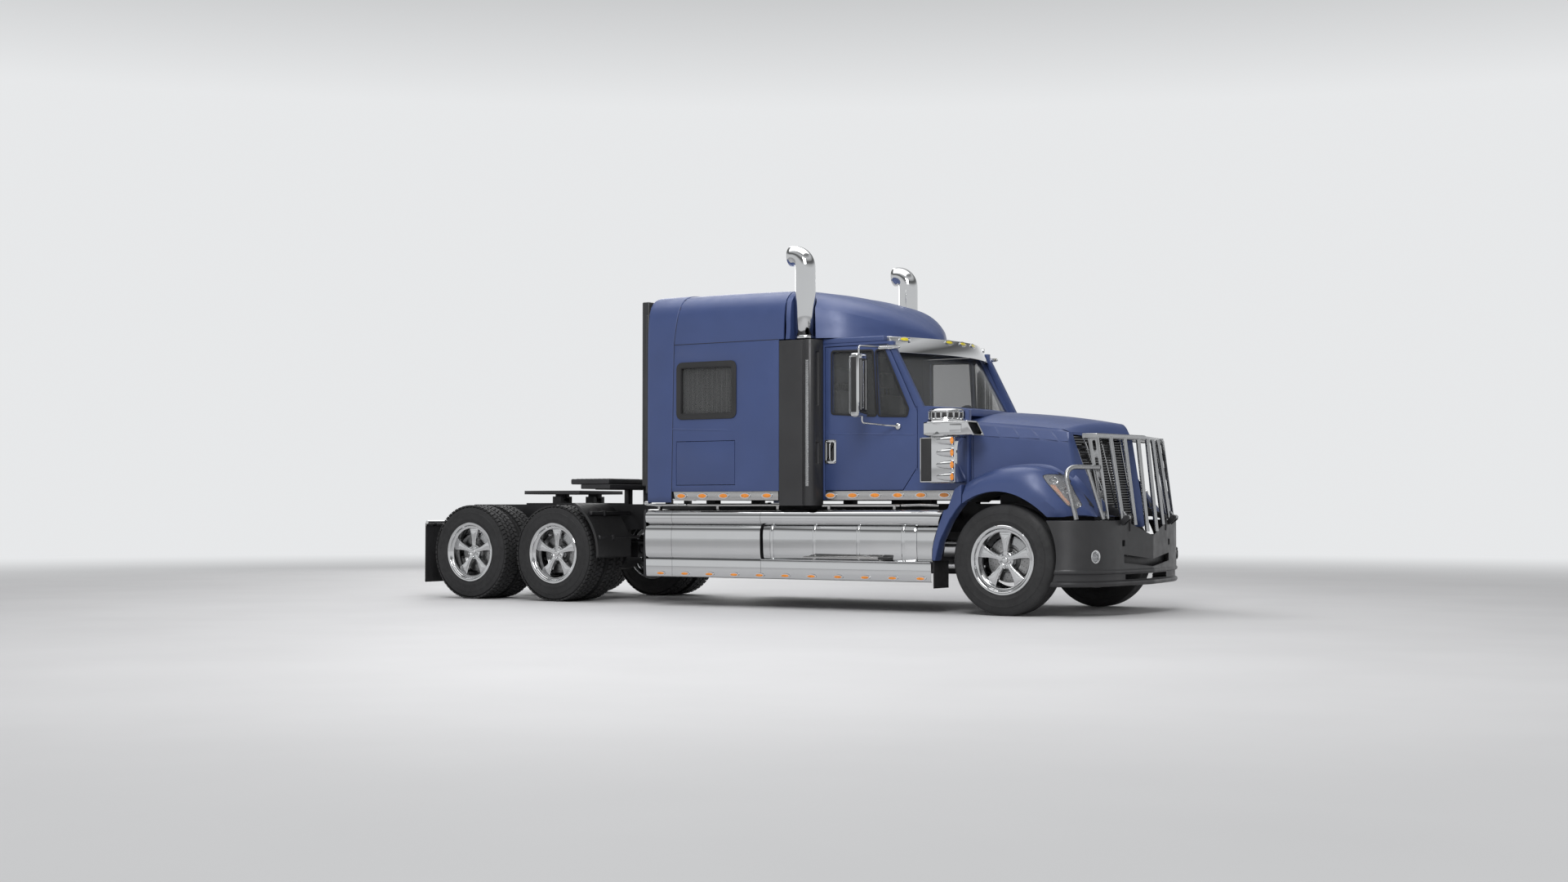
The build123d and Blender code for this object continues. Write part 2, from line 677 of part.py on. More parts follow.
def outline_offset(points, y, grow):
    """Side outline grown or shrunk all round."""
    with BuildSketch(Plane.XZ.offset(y)) as outline:
        with BuildLine():
            Polyline(*points, close=True)
        make_face()
        offset(amount=grow, kind=Kind.INTERSECTION)
    return outline.sketch


CAB_INNER = CAB_HALF - WALL
with BuildPart() as cab_sides:
    extrude(side_outline(CAB_SIDE_OUTLINE, CAB_INNER), amount=WALL)
    extrude(outline_offset(DOOR_OUTLINE, CAB_INNER, RUN_GAP), amount=WALL, mode=Mode.SUBTRACT)
    extrude(
        side_outline(
            [
                (a(-1050), SHIELD_LOW),
                (SHIELD_LOW_CORNER + 6, SHIELD_LOW),
                (SHIELD_TOP_CORNER + 6, SHIELD_TOP),
                (SHIELD_TOP_CORNER - 44, SHIELD_TOP),
            ],
            PILLAR_IN,
        ),
        amount=CAB_INNER - PILLAR_IN,
    )
    # room for the door's outer corners as they turn past the pillar
    for low, high in HINGE_RELIEFS:
        slab((HINGE_X - 6, HINGE_X + 16), (-CAB_HALF, -CAB_HALF + 11), (low, high), Mode.SUBTRACT)
    # pins that the doors turn on
    for low, high in ((HINGE_LOW_Z - 30, HINGE_LOW_Z + HINGE_REACH), (HINGE_TOP_Z - HINGE_REACH, HINGE_TOP_Z + 30)):
        with Locations((HINGE_X, -HINGE_Y, low)):
            Cylinder(HINGE_PIN_R, high - low, align=(Align.CENTER, Align.CENTER, Align.MIN))
    mirror(about=Plane.XZ)
finish("cab sides", cab_sides, "cab_sides")

# ---------------------------------------------------------------- windshield, cowl


def shield_band(corner_x, middle_x, half, z, wall):
    """Curved band across the cab: an arc outside and its parallel behind."""
    with BuildSketch(Plane.XY.offset(z)) as band:
        with BuildLine():
            ThreePointArc((corner_x, -half), (middle_x, 0), (corner_x, half))
            Line((corner_x, half), (corner_x - wall, half))
            ThreePointArc((corner_x - wall, half), (middle_x - wall, 0), (corner_x - wall, -half))
            Line((corner_x - wall, -half), (corner_x, -half))
        make_face()
    return band.sketch


SLEEPER_WINDOW = [(-3735, 1965), (-3735, 2505), (-3035, 2505), (-3035, 1965)]
SLEEPER_WALL = 50.0
with BuildPart() as cab_glass:
    loft(
        [
            shield_band(SHIELD_LOW_CORNER, SHIELD_LOW_MID, PILLAR_IN - SEAT_GAP, SHIELD_LOW, GLASS_T),
            shield_band(SHIELD_TOP_CORNER, SHIELD_TOP_MID, PILLAR_IN - SEAT_GAP, SHIELD_TOP, GLASS_T),
        ],
        ruled=True,
    )
    for side in (-1, 1):
        extrude(
            outline_offset(
                [(a(x), z) for x, z in SLEEPER_WINDOW],
                BODY_HALF - 26 if side < 0 else -BODY_HALF + 20,
                -SEAT_GAP,
            ),
            amount=6,
        )
finish("windshield and sleeper windows", cab_glass, "cab_glass")

with BuildPart() as cowl:
    # firewall
    slab((FIREWALL_X, FIREWALL_X + 50), (-CAB_INNER + SEAT_GAP, CAB_INNER - SEAT_GAP), (FLOOR_Z, 1905))
    # deck in front of the windshield
    extrude(
        side_outline(
            [
                (SEAM_X - RUN_GAP, 1905),
                (SEAM_X - RUN_GAP, 1968),
                (a(-990), SHIELD_LOW - SEAT_GAP),
                (a(-1040), SHIELD_LOW - SEAT_GAP),
                (a(-1040), 1960),
                (a(-700), 1905),
            ],
            -CAB_INNER + RUN_GAP,
        ),
        amount=2 * (CAB_INNER - RUN_GAP),
    )
finish("firewall and cowl", cowl, "cowl")

# ---------------------------------------------------------------- roofs
HEADER_CORNER = a(-1330)
HEADER_MID = a(-1085)
with BuildPart() as cab_roof:
    slab((SLEEPER_FRONT + PANEL_GAP, a(-1362)), (-CAB_HALF, CAB_HALF), (ROOF_Z - WALL, ROOF_Z))
    # header over the windshield, curved like it
    extrude(shield_band(HEADER_CORNER, HEADER_MID, PILLAR_IN, SHIELD_TOP + SEAT_GAP, 60), amount=ROOF_Z - SHIELD_TOP - SEAT_GAP)
    extrude(plan_outline([(a(-1400), -PILLAR_IN), (HEADER_CORNER, -PILLAR_IN), (HEADER_MID - 40, -200), (HEADER_MID - 40, 200), (HEADER_CORNER, PILLAR_IN), (a(-1400), PILLAR_IN)], ROOF_Z - WALL), amount=WALL)
finish("cab roof", cab_roof, "cab_roof")

VISOR_T = 14.0
VISOR_TOP = ROOF_Z - 4.0
with BuildPart() as sun_visor:
    loft(
        [
            shield_band(a(-1250), a(-1000), CAB_HALF - 65, 2552, VISOR_T),
            shield_band(a(-1345), a(-1056), CAB_HALF - 70, VISOR_TOP, VISOR_T),
        ],
        ruled=True,
    )
    # tabs on the header
    slab((HEADER_MID + SEAT_GAP, HEADER_MID + 34), (-40, 40), (2670, 2705))
    for side in (-1, 1):
        slab((a(-1254), a(-1234)), (side * (CAB_HALF - 250) - 8, side * (CAB_HALF - 250) + 8), (2670, 2705))
finish("sun visor", sun_visor, "sun_visor")

UPPER_OUTER = [
    (-BODY_HALF, ROOF_Z + SEAT_GAP), (-BODY_HALF + 30, 3060), (-BODY_HALF + 100, 3215), (-BODY_HALF + 260, 3265)
]
UPPER_INNER = [
    (-BODY_HALF + 55, ROOF_Z + SEAT_GAP), (-BODY_HALF + 82, 3045), (-BODY_HALF + 142, 3172), (-BODY_HALF + 280, 3215)
]
ROOF_SEAM = a(-2430)
with BuildPart() as sleeper_roof:
    extrude(cross_outline(mirrored(UPPER_OUTER), SLEEPER_REAR), amount=ROOF_SEAM - SLEEPER_REAR)
    extrude(cross_outline(mirrored(UPPER_INNER), SLEEPER_REAR + 50), amount=ROOF_SEAM - SLEEPER_REAR - 50, mode=Mode.SUBTRACT)
finish("sleeper roof", sleeper_roof, "sleeper_roof")

STACK_X = a(-2270)
STACK_Y = BODY_HALF - 158.0
STACK_R = 104.0
# station, what its distances are taken from, then (inward, z) of the half section from the lower edge to the crown
FAIRING_PLANS = [
    (-2428, BODY_HALF, [(30, ROOF_Z + SEAT_GAP), (40, 2930), (60, 3115), (170, 3212), (520, 3248)]),
    (-2150, BODY_HALF, [(90, ROOF_Z + SEAT_GAP), (125, 2880), (165, 3042), (320, 3160), (640, 3203)]),
    (-1900, CAB_HALF, [(25, ROOF_Z + SEAT_GAP), (65, 2855), (105, 2990), (300, 3105), (570, 3142)]),
    (-1700, CAB_HALF, [(205, ROOF_Z + SEAT_GAP), (245, 2830), (290, 2935), (470, 3040), (690, 3070)]),
    (-1540, CAB_HALF, [(425, ROOF_Z + SEAT_GAP), (460, 2800), (500, 2878), (640, 2955), (800, 2986)]),
    (-1420, CAB_HALF, [(655, ROOF_Z + SEAT_GAP), (680, 2775), (705, 2828), (790, 2880), (890, 2903)]),
    (-1330, CAB_HALF, [(850, ROOF_Z + SEAT_GAP), (865, 2755), (880, 2783), (920, 2810), (970, 2822)]),
    (-1280, CAB_HALF, [(970, ROOF_Z + SEAT_GAP), (976, 2732), (984, 2741), (1000, 2750), (1020, 2756)]),
]
FAIRING_SECTIONS = [(x, [(inward - half, z) for inward, z in points]) for x, half, points in FAIRING_PLANS]
with BuildPart() as roof_fairing:
    loft([cross_outline(mirrored(points), a(x)) for x, points in FAIRING_SECTIONS], ruled=True)
    for side in (-1, 1):
        with Locations((STACK_X, side * STACK_Y, ROOF_Z)):
            Cylinder(STACK_R + 22, 700, align=(Align.CENTER, Align.CENTER, Align.MIN), mode=Mode.SUBTRACT)
finish("roof fairing", roof_fairing, "roof_fairing")

# ---------------------------------------------------------------- sleeper walls
HATCH_OUTLINE = [(-3764, 1258), (-3764, 1705), (-3031, 1705), (-3031, 1258)]
SLEEPER_INNER = BODY_HALF - SLEEPER_WALL
HATCH_GAP = 6.0
HATCH_PIN_R = 4.0
HATCH_PIN_Y = BODY_HALF - 6.0
HATCH_PIN_Z = 1699.0
HATCH_PIN_REACH = 18.0
HATCH_ENDS = ((a(-3764) - HATCH_GAP, 1), (a(-3031) + HATCH_GAP, -1))
with BuildPart() as sleeper_sides:
    slab((SLEEPER_REAR, SLEEPER_FRONT), (-BODY_HALF, -SLEEPER_INNER), (FLOOR_TOP + SEAT_GAP, ROOF_Z))
    slab((SLEEPER_FRONT - 50, SLEEPER_FRONT - SEAT_GAP), (-SLEEPER_INNER, -CAB_INNER), (FLOOR_TOP + SEAT_GAP, ROOF_Z))
    extrude(side_outline([(a(x), z) for x, z in SLEEPER_WINDOW], SLEEPER_INNER), amount=SLEEPER_WALL, mode=Mode.SUBTRACT)
    extrude(
        outline_offset([(a(x), z) for x, z in HATCH_OUTLINE], SLEEPER_INNER, HATCH_GAP),
        amount=SLEEPER_WALL,
        mode=Mode.SUBTRACT,
    )
    # pins that the hatches turn on
    for end_x, inward in HATCH_ENDS:
        with Locations(Location((end_x - inward * HATCH_GAP, -HATCH_PIN_Y, HATCH_PIN_Z), (0, inward * 90, 0))):
            Cylinder(
                HATCH_PIN_R, HATCH_GAP * 2 + HATCH_PIN_REACH, align=(Align.CENTER, Align.CENTER, Align.MIN)
            )
    mirror(about=Plane.XZ)
finish("sleeper sides", sleeper_sides, "sleeper_sides")

with BuildPart() as sleeper_back:
    slab((BACK_REAR + 90, SLEEPER_REAR - SEAT_GAP), (-BODY_HALF + 12, BODY_HALF - 12), (FLOOR_Z + 70, 3060))
    slab((BACK_REAR, BACK_REAR + 90), (-BODY_HALF + 70, BODY_HALF - 70), (1250, 3205))
finish("sleeper back wall", sleeper_back, "sleeper_back")

# ---------------------------------------------------------------- doors, glass, mirrors, hatches
MAIN_WINDOW = [(-1965, 1960), (-1965, 2590), (-1486, 2580), (-1446, 1925)]
QUARTER_WINDOW = [(-1425, 1925), (-1455, 2580), (-1355, 2580), (-1085, 1990), (-1100, 1915)]
MIRROR_Y = BODY_HALF + 130.0
for side, hand in ((-1, "right"), (1, "left")):
    inner_y = CAB_INNER if side < 0 else -CAB_HALF
    with BuildPart() as door:
        extrude(side_outline(DOOR_OUTLINE, inner_y), amount=WALL)
        for window in (MAIN_WINDOW, QUARTER_WINDOW):
            extrude(side_outline([(a(x), z) for x, z in window], inner_y), amount=WALL, mode=Mode.SUBTRACT)
        for strap_z in (1450, 1750):
            slab((a(-1040), DOOR_FRONT + RUN_GAP + 22), sorted((side * (CAB_INNER - 12), side * (CAB_INNER - SEAT_GAP))), (strap_z, strap_z + 60))
            slab((a(-1040), a(-1000)), sorted((side * (CAB_INNER - 12), side * CAB_INNER)), (strap_z, strap_z + 60))
        for low, high in ((HINGE_LOW_Z - 40, HINGE_LOW_Z + HINGE_REACH + 6), (HINGE_TOP_Z - HINGE_REACH - 6, HINGE_TOP_Z + 40)):
            with Locations((HINGE_X, side * HINGE_Y, low)):
                Cylinder(
                    HINGE_PIN_R + BEARING_GAP, high - low, align=(Align.CENTER, Align.CENTER, Align.MIN), mode=Mode.SUBTRACT
                )
    finish("door", door, f"door_{hand}")

    glass_y = CAB_HALF - 30 if side < 0 else -CAB_HALF + 24
    with BuildPart() as door_glass:
        for window in (MAIN_WINDOW, QUARTER_WINDOW):
            extrude(outline_offset([(a(x), z) for x, z in window], glass_y, -SEAT_GAP), amount=6)
    finish("door windows", door_glass, f"door_glass_{hand}")

    with BuildPart() as mirror_head:
        with BuildSketch(Plane.XY.offset(1905)):
            with Locations((a(-1472), side * MIRROR_Y)):
                RectangleRounded(100, 200, 40)
        extrude(amount=623)
        add(tube([(a(-1472), side * MIRROR_Y, 2500), (a(-1472), side * MIRROR_Y, 2600), (a(-1400), side * (CAB_HALF + 60), 2605), (a(-1400), side * (CAB_HALF + SEAT_GAP), 2605)], 12, 24))
        add(tube([(a(-1472), side * MIRROR_Y, 1930), (a(-1472), side * MIRROR_Y, 1840), (a(-1385), side * (CAB_HALF + 60), 1824), (a(-1385), side * (CAB_HALF + SEAT_GAP), 1824)], 12, 24))
    finish("mirror and arms", mirror_head, f"mirror_{hand}")

    hatch_y = SLEEPER_INNER + 5 if side < 0 else -BODY_HALF
    with BuildPart() as hatch:
        extrude(side_outline([(a(x), z) for x, z in HATCH_OUTLINE], hatch_y), amount=SLEEPER_WALL - 5)
        for strap_x in (a(-3680), a(-3175)):
            slab((strap_x, strap_x + 60), sorted((side * (SLEEPER_INNER - 7), side * (SLEEPER_INNER + 5))), (1660, 1700))
            slab((strap_x, strap_x + 60), sorted((side * (SLEEPER_INNER - 7), side * (SLEEPER_INNER - SEAT_GAP))), (1690, 1736))
        for end_x, inward in HATCH_ENDS:
            with Locations(Location((end_x, side * HATCH_PIN_Y, HATCH_PIN_Z), (0, inward * 90, 0))):
                Cylinder(
                    HATCH_PIN_R + BEARING_GAP,
                    HATCH_GAP + HATCH_PIN_REACH + 2,
                    align=(Align.CENTER, Align.CENTER, Align.MIN),
                    mode=Mode.SUBTRACT,
                )
    finish("luggage hatch", hatch, f"hatch_{hand}")

# ---------------------------------------------------------------- exhaust towers and stacks
TOWER_LOW = 1040.0
TOWER_OUT = BODY_HALF + 2.0
TOWER_OUTLINE = [
    (-2487, -CAB_HALF - 5), (-2487, -TOWER_OUT), (-2104, -TOWER_OUT + 7), (-2056, -CAB_HALF - 12), (-2060, -CAB_HALF - 5)
]
with BuildPart() as exhaust_towers:
    extrude(plan_outline([(a(x), y) for x, y in TOWER_OUTLINE], TOWER_LOW), amount=ROOF_Z - TOWER_LOW)
    with Locations((a(-2145), -TOWER_OUT + 47, TOWER_LOW)):
        Cylinder(56, ROOF_Z - TOWER_LOW, align=(Align.CENTER, Align.CENTER, Align.MIN))
    mirror(about=Plane.XZ)
finish("exhaust towers", exhaust_towers, "exhaust_towers")

STACK_TOP = 3575.0
STACK_TIP = a(-2440)
STACK_BEND = 125.0
with BuildPart() as exhaust_stacks:
    for side in (-1, 1):
        path = [
            (STACK_X, side * STACK_Y, ROOF_Z + SEAT_GAP),
            (STACK_X, side * STACK_Y, STACK_TOP),
            (STACK_TIP, side * STACK_Y, STACK_TOP),
        ]
        add(tube(path, STACK_R, STACK_BEND))
        add(tube(path, STACK_R - 6, STACK_BEND), mode=Mode.SUBTRACT)
finish("exhaust stacks", exhaust_stacks, "exhaust_stacks")

# ---------------------------------------------------------------- air cleaners
CLEANER_X = a(-635)
CLEANER_R = 203.0
CLEANER_Y = CAB_HALF + 47.0
with BuildPart() as air_cleaners:
    with Locations((CLEANER_X, -CLEANER_Y, 1254)):
        Cylinder(CLEANER_R - 12, 446, align=(Align.CENTER, Align.CENTER, Align.MIN))
    with Locations((CLEANER_X, -CLEANER_Y, 1700)):
        Cylinder(CLEANER_R, 146, align=(Align.CENTER, Align.CENTER, Align.MIN))
    with Locations((CLEANER_X, -CLEANER_Y, 1846)):
        Cylinder(CLEANER_R - 20, 134, align=(Align.CENTER, Align.CENTER, Align.MIN))
    slab((CLEANER_X, a(-272)), (-CLEANER_Y - 173, -CLEANER_Y + 7), (1712, 1840))
    slab((a(-900), a(-380)), (-CAB_HALF - SEAT_GAP, -800), (1200, 2000), Mode.SUBTRACT)
    for scoop_z in (1290, 1390, 1490, 1590):
        slab((CLEANER_X - 140, CLEANER_X + 196), (-CLEANER_Y - 208, -CLEANER_Y - 53), (scoop_z, scoop_z + 60))
    mirror(about=Plane.XZ)
finish("air cleaners", air_cleaners, "air_cleaners")

# ---------------------------------------------------------------- light strips, skirts, tanks
with BuildPart() as light_strips:
    slab((a(-3800), a(-2495)), (-BODY_HALF - 2, -BODY_HALF + 25), (1097, 1186))
    slab((a(-2030), a(-560)), (-CAB_HALF - 18, -CAB_HALF), (1097, 1184))
    mirror(about=Plane.XZ)
finish("light strips", light_strips, "light_strips")

SKIRT_REAR = a(-4167)
SKIRT_TOP = 1005.0
SKIRT_LOW = 300.0
SKIRT_OUT = BODY_HALF + 2.0
# distance inward from the skirt's outermost face, then height
SKIRT_STEPS = [
    (92, 1005), (27, 1000), (0, 965), (0, 930), (27, 900), (37, 830), (0, 805),
    (0, 500), (32, 487), (17, 470), (17, 310), (32, 300),
]
SKIRT_SECTION = [(inward - SKIRT_OUT, z) for inward, z in SKIRT_STEPS]
STRIP_REAR = [(a(-570), 1096), (a(-618), 996), (a(-684), 825), (a(-736), 654), (a(-748), 515), (a(-748), 200)]
TANK_X = (a(-2715), a(-910))
with BuildPart() as side_skirts:
    inner = [(y + 14 if y < -SKIRT_OUT + 82 else y, z - 14 if z > 990 else z) for y, z in reversed(SKIRT_SECTION)]
    extrude(cross_outline(SKIRT_SECTION + inner, SKIRT_REAR), amount=a(-600) - SKIRT_REAR)
    # front edge leans back towards the bottom
    extrude(
        side_outline([(x - 6, z) for x, z in STRIP_REAR] + [(a(-400), 200), (a(-400), 1060)], SKIRT_OUT - 222),
        amount=300,
        mode=Mode.SUBTRACT,
    )
    # window in the panel where the tank shows
    slab(TANK_X, (-SKIRT_OUT - 78, -SKIRT_OUT + 72), (492, 800), Mode.SUBTRACT)
    # rear end plate and ribs back to the rail
    slab((SKIRT_REAR - 16, SKIRT_REAR), (-SKIRT_OUT + 17, -760), (320, 1000))
    for rib_x in (a(-4140), a(-3480), a(-2860), a(-880)):
        slab((rib_x, rib_x + 60), (-SKIRT_OUT + 32, -RAIL_HALF), (905, 985))
    mirror(about=Plane.XZ)
finish("side skirts", side_skirts, "side_skirts")

TANK_Z = (360.0, 880.0)
TANK_Y = SKIRT_OUT - 338.0
with BuildPart() as fuel_tanks:
    with BuildSketch(Plane.YZ.offset(TANK_X[0] + 20)):
        with Locations((-TANK_Y, (TANK_Z[0] + TANK_Z[1]) / 2)):
            RectangleRounded(560, TANK_Z[1] - TANK_Z[0], 120)
    extrude(amount=TANK_X[1] - TANK_X[0] - 60)
    for band_x in (-2582, -2073, -1565, -1058):
        with BuildSketch(Plane.YZ.offset(a(band_x) - 22)):
            with Locations((-TANK_Y, (TANK_Z[0] + TANK_Z[1]) / 2)):
                RectangleRounded(584, TANK_Z[1] - TANK_Z[0] + 16, 128)
        extrude(amount=44)
        slab((a(band_x) - 22, a(band_x) + 22), (-700, -RAIL_HALF), (790, 870))
    slab((a(-2152), a(-1173)), (-SKIRT_OUT - 78, -SKIRT_OUT + 72), (518, 536))
    mirror(about=Plane.XZ)
finish("fuel tanks, bands and steps", fuel_tanks, "fuel_tanks")

# ---------------------------------------------------------------- inside
with BuildPart() as dashboard:
    extrude(
        side_outline(
            [(FIREWALL_X - SEAT_GAP, 1500), (FIREWALL_X - SEAT_GAP, 1898), (a(-700), 1898), (a(-1030), 1950), (a(-1130), 1900), (a(-1090), 1700), (a(-960), 1500)],
            -CAB_INNER + 35,
        ),
        amount=2 * CAB_INNER - 70,
    )
    wheel_at = Location((a(-1330), 480, 1890), (0, -62, 0))
    with Locations(wheel_at):
        Torus(215, 16)
    with Locations(wheel_at):
        Box(430, 44, 18)
    with Locations(wheel_at):
        Cylinder(60, 40)
    add(tube([(a(-1330), 480, 1890), (a(-1100), 480, 1768)], 36, 0))
finish("dashboard and steering wheel", dashboard, "dashboard")

with BuildPart() as seats:
    for side in (-1, 1):
        seat_y = side * 480
        slab((a(-2080), a(-1720)), (seat_y - 170, seat_y + 170), (FLOOR_TOP + SEAT_GAP, 1480))
        slab((a(-2120), a(-1620)), (seat_y - 250, seat_y + 250), (1480, 1620))
        extrude(
            side_outline([(a(-2120), 1600), (a(-1990), 1620), (a(-2130), 2260), (a(-2250), 2250)], -seat_y - 240),
            amount=480,
        )
        extrude(
            side_outline([(a(-2140), 2290), (a(-2250), 2290), (a(-2280), 2480), (a(-2190), 2480)], -seat_y - 130),
            amount=260,
        )
        slab((a(-2225), a(-2165)), (seat_y - 60, seat_y + 60), (2240, 2300))
finish("seats", seats, "seats")

with BuildPart() as bunk:
    slab((SLEEPER_REAR + 30, a(-3250)), (-SLEEPER_INNER + 34, SLEEPER_INNER - 34), (FLOOR_TOP + SEAT_GAP, 1560))
    slab((SLEEPER_REAR + 40, a(-3270)), (-SLEEPER_INNER + 44, SLEEPER_INNER - 44), (1560, 1720))
finish("bunk", bunk, "bunk")

with BuildPart() as curtains:
    slab((a(-3780), a(-2990)), (-SLEEPER_INNER + SEAT_GAP, -SLEEPER_INNER + 24), (1930, 2545))
    mirror(about=Plane.XZ)
finish("window curtains", curtains, "curtains")

# ---------------------------------------------------------------- rear deck, fenders, flaps
DECK_HALF = BODY_HALF - 70.0
with BuildPart() as rear_deck:
    slab((a(-5100), a(-4700)), (-DECK_HALF, DECK_HALF), (1222, 1275))
    for side in (-1, 1):
        slab((a(-5240), a(-4715)), sorted((side * 480, side * DECK_HALF)), (1275, 1335))
        for post_x in (a(-5060), a(-4800)):
            slab((post_x, post_x + 60), (side * 385 - 40, side * 385 + 40), (RAIL_TOP, 1222))
    slab((a(-5480), a(-4300)), (-420, 420), (1222, 1250))
finish("deck behind the sleeper", rear_deck, "rear_deck")

FENDER_R = TYRE_R + 70
BAR_R = 638.0
BAR_ANGLE = 43.0
with BuildPart() as rear_guards:
    # quarter fenders round the front of the middle tyres
    with BuildSketch(Plane.XZ.offset(605)):
        with BuildLine():
            CenterArc((AXLE_M, TYRE_R), FENDER_R, -4, 66)
            CenterArc((AXLE_M, TYRE_R), FENDER_R + 24, -4, 66)
            Line(
                (AXLE_M + FENDER_R * cos(radians(-4)), TYRE_R + FENDER_R * sin(radians(-4))),
                (AXLE_M + (FENDER_R + 24) * cos(radians(-4)), TYRE_R + (FENDER_R + 24) * sin(radians(-4))),
            )
            Line(
                (AXLE_M + FENDER_R * cos(radians(62)), TYRE_R + FENDER_R * sin(radians(62))),
                (AXLE_M + (FENDER_R + 24) * cos(radians(62)), TYRE_R + (FENDER_R + 24) * sin(radians(62))),
            )
        make_face()
    extrude(amount=585)
    disc_y(
        AXLE_M + BAR_R * cos(radians(BAR_ANGLE)),
        TYRE_R + BAR_R * sin(radians(BAR_ANGLE)),
        (-TYRE_OUT + 60, -RAIL_HALF),
        22,
    )
    disc_y(AXLE_M + 582, 700, (-TYRE_OUT + 60, -RAIL_HALF + 20), 18)
    # mud flaps on their hanger bars
    slab((REAR_END, REAR_END + 14), (-TYRE_OUT, -600), (173, 835))
    slab((REAR_END, REAR_END + 60), (-TYRE_OUT, -RAIL_HALF), (835, 875))
    slab((REAR_END + 40, REAR_END + 110), (-RAIL_HALF - 14, -RAIL_HALF), (820, 960))
    mirror(about=Plane.XZ)
finish("quarter fenders and rear flaps", rear_guards, "rear_guards")

with BuildPart() as fender_extensions:
    extrude(
        side_outline(
            [(a(-423), 1060), (a(-423), 1245), (a(-500), 1200)]
            + STRIP_REAR[:-1]
            + [(a(-712), 505), (a(-660), 700), (a(-552), 905), (a(-480), 1000)],
            CAB_HALF + 20,
        ),
        amount=FLARE_Y - CAB_HALF - 20,
    )
    slab((a(-745), a(-733)), (-FLARE_Y + 30, -880), (240, 545))
    slab((a(-745), a(-712)), (-FLARE_Y + 110, -RAIL_HALF), (505, 545))
    slab((a(-745), a(-712)), (-RAIL_HALF - 14, -RAIL_HALF), (505, 900))
    mirror(about=Plane.XZ)
finish("fender extensions and front flaps", fender_extensions, "fender_extensions")

# ---------------------------------------------------------------- fifth wheel
FIFTH_X = (AXLE_M + AXLE_R) / 2
FIFTH_TOP = 1215.0
PIVOT_Z = 1150.0
KINGPIN_BORE_R = 25.9
PIVOT_PIN_R = 18.0
with BuildPart() as fifth_wheel:
    with BuildSketch(Plane.XY.offset(FIFTH_TOP - 40)):
        with BuildLine():
            Polyline(
                (FIFTH_X - 420, 150), (FIFTH_X - 420, 470), (FIFTH_X - 60, 500), (FIFTH_X + 330, 400),
                (FIFTH_X + 330, -400), (FIFTH_X - 60, -500), (FIFTH_X - 420, -470), (FIFTH_X - 420, -150),
                (FIFTH_X - 90, -42), (FIFTH_X - 90, 42), close=True,
            )
        make_face()
        with Locations((FIFTH_X, 0)):
            Circle(KINGPIN_BORE_R, mode=Mode.SUBTRACT)
    extrude(amount=40)
    for side in (-1, 1):
        disc_y(FIFTH_X, PIVOT_Z - 20, (side * 300 - 40, side * 300 + 40), 30)
        slab((FIFTH_X - 70, FIFTH_X + 70), (side * 300 - 40, side * 300 + 40), (PIVOT_Z - 20, FIFTH_TOP - 40))
        disc_y(FIFTH_X, PIVOT_Z - 20, (side * 300 - 41, side * 300 + 41), PIVOT_PIN_R + BEARING_GAP, Mode.SUBTRACT)
finish("fifth wheel plate", fifth_wheel, "fifth_wheel")

with BuildPart() as fifth_wheel_base:
    slab((FIFTH_X - 420, FIFTH_X + 420), (-RAIL_HALF - 5, RAIL_HALF + 5), (RAIL_TOP, RAIL_TOP + 16))
    for side in (-1, 1):
        for inner, outer in ((340 + 5, 400), (200, 260 - 5)):
            slab(
                (FIFTH_X - 60, FIFTH_X + 60),
                (min(side * inner, side * outer), max(side * inner, side * outer)),
                (RAIL_TOP + 16, PIVOT_Z),
            )
        disc_y(FIFTH_X, PIVOT_Z - 20, (side * 300 - 98, side * 300 + 98), PIVOT_PIN_R)
finish("fifth wheel base", fifth_wheel_base, "fifth_wheel_base")

# ---------------------------------------------------------------- steering knuckles
EAR_T = 30.0
EAR_GAP = 5.0
WEB_IN = 50.0
CALIPER_Y = (1005.0, 1075.0)
for side, hand in ((-1, "right"), (1, "left")):
    with BuildPart() as knuckle:
        for ear_z in (EYE_LOW - EAR_GAP - EAR_T, EYE_TOP + EAR_GAP):
            with Locations((AXLE_F, side * KINGPIN_Y, ear_z)):
                Cylinder(EYE_R, EAR_T, align=(Align.CENTER, Align.CENTER, Align.MIN))
            slab(
                (AXLE_F - EYE_R, AXLE_F + EYE_R),
                (min(side * KINGPIN_Y, side * (KINGPIN_Y + WEB_IN)), max(side * KINGPIN_Y, side * (KINGPIN_Y + WEB_IN))),
                (ear_z, ear_z + EAR_T),
            )
        slab(
            (AXLE_F - EYE_R, AXLE_F + EYE_R),
            (
                min(side * (KINGPIN_Y + WEB_IN), side * (KINGPIN_Y + WEB_IN + 22)),
                max(side * (KINGPIN_Y + WEB_IN), side * (KINGPIN_Y + WEB_IN + 22)),
            ),
            (EYE_LOW - EAR_GAP - EAR_T, EYE_TOP + EAR_GAP + EAR_T),
        )
        with Locations((AXLE_F, side * KINGPIN_Y, EYE_LOW - EAR_GAP)):
            Cylinder(KINGPIN_R, EYE_H + 2 * EAR_GAP, align=(Align.CENTER, Align.CENTER, Align.MIN))
        spindle = sorted((side * (KINGPIN_Y + WEB_IN), side * (TYRE_OUT - HUB_OUT - 12)))
        disc_y(AXLE_F, TYRE_R, spindle, SPINDLE_R)
    finish("knuckle", knuckle, f"knuckle_{hand}")


def turned(points, x):
    """Closed (radius, Y) outline turned about the wheel's axis."""
    with BuildSketch(Plane.XY.offset(TYRE_R)) as outline:
        with BuildLine():
            Polyline(*[(x + radius, y) for radius, y in points], close=True)
        make_face()
    return revolve(outline.sketch, axis=Axis((x, 0, TYRE_R), (0, 1, 0)), revolution_arc=360, mode=Mode.PRIVATE)


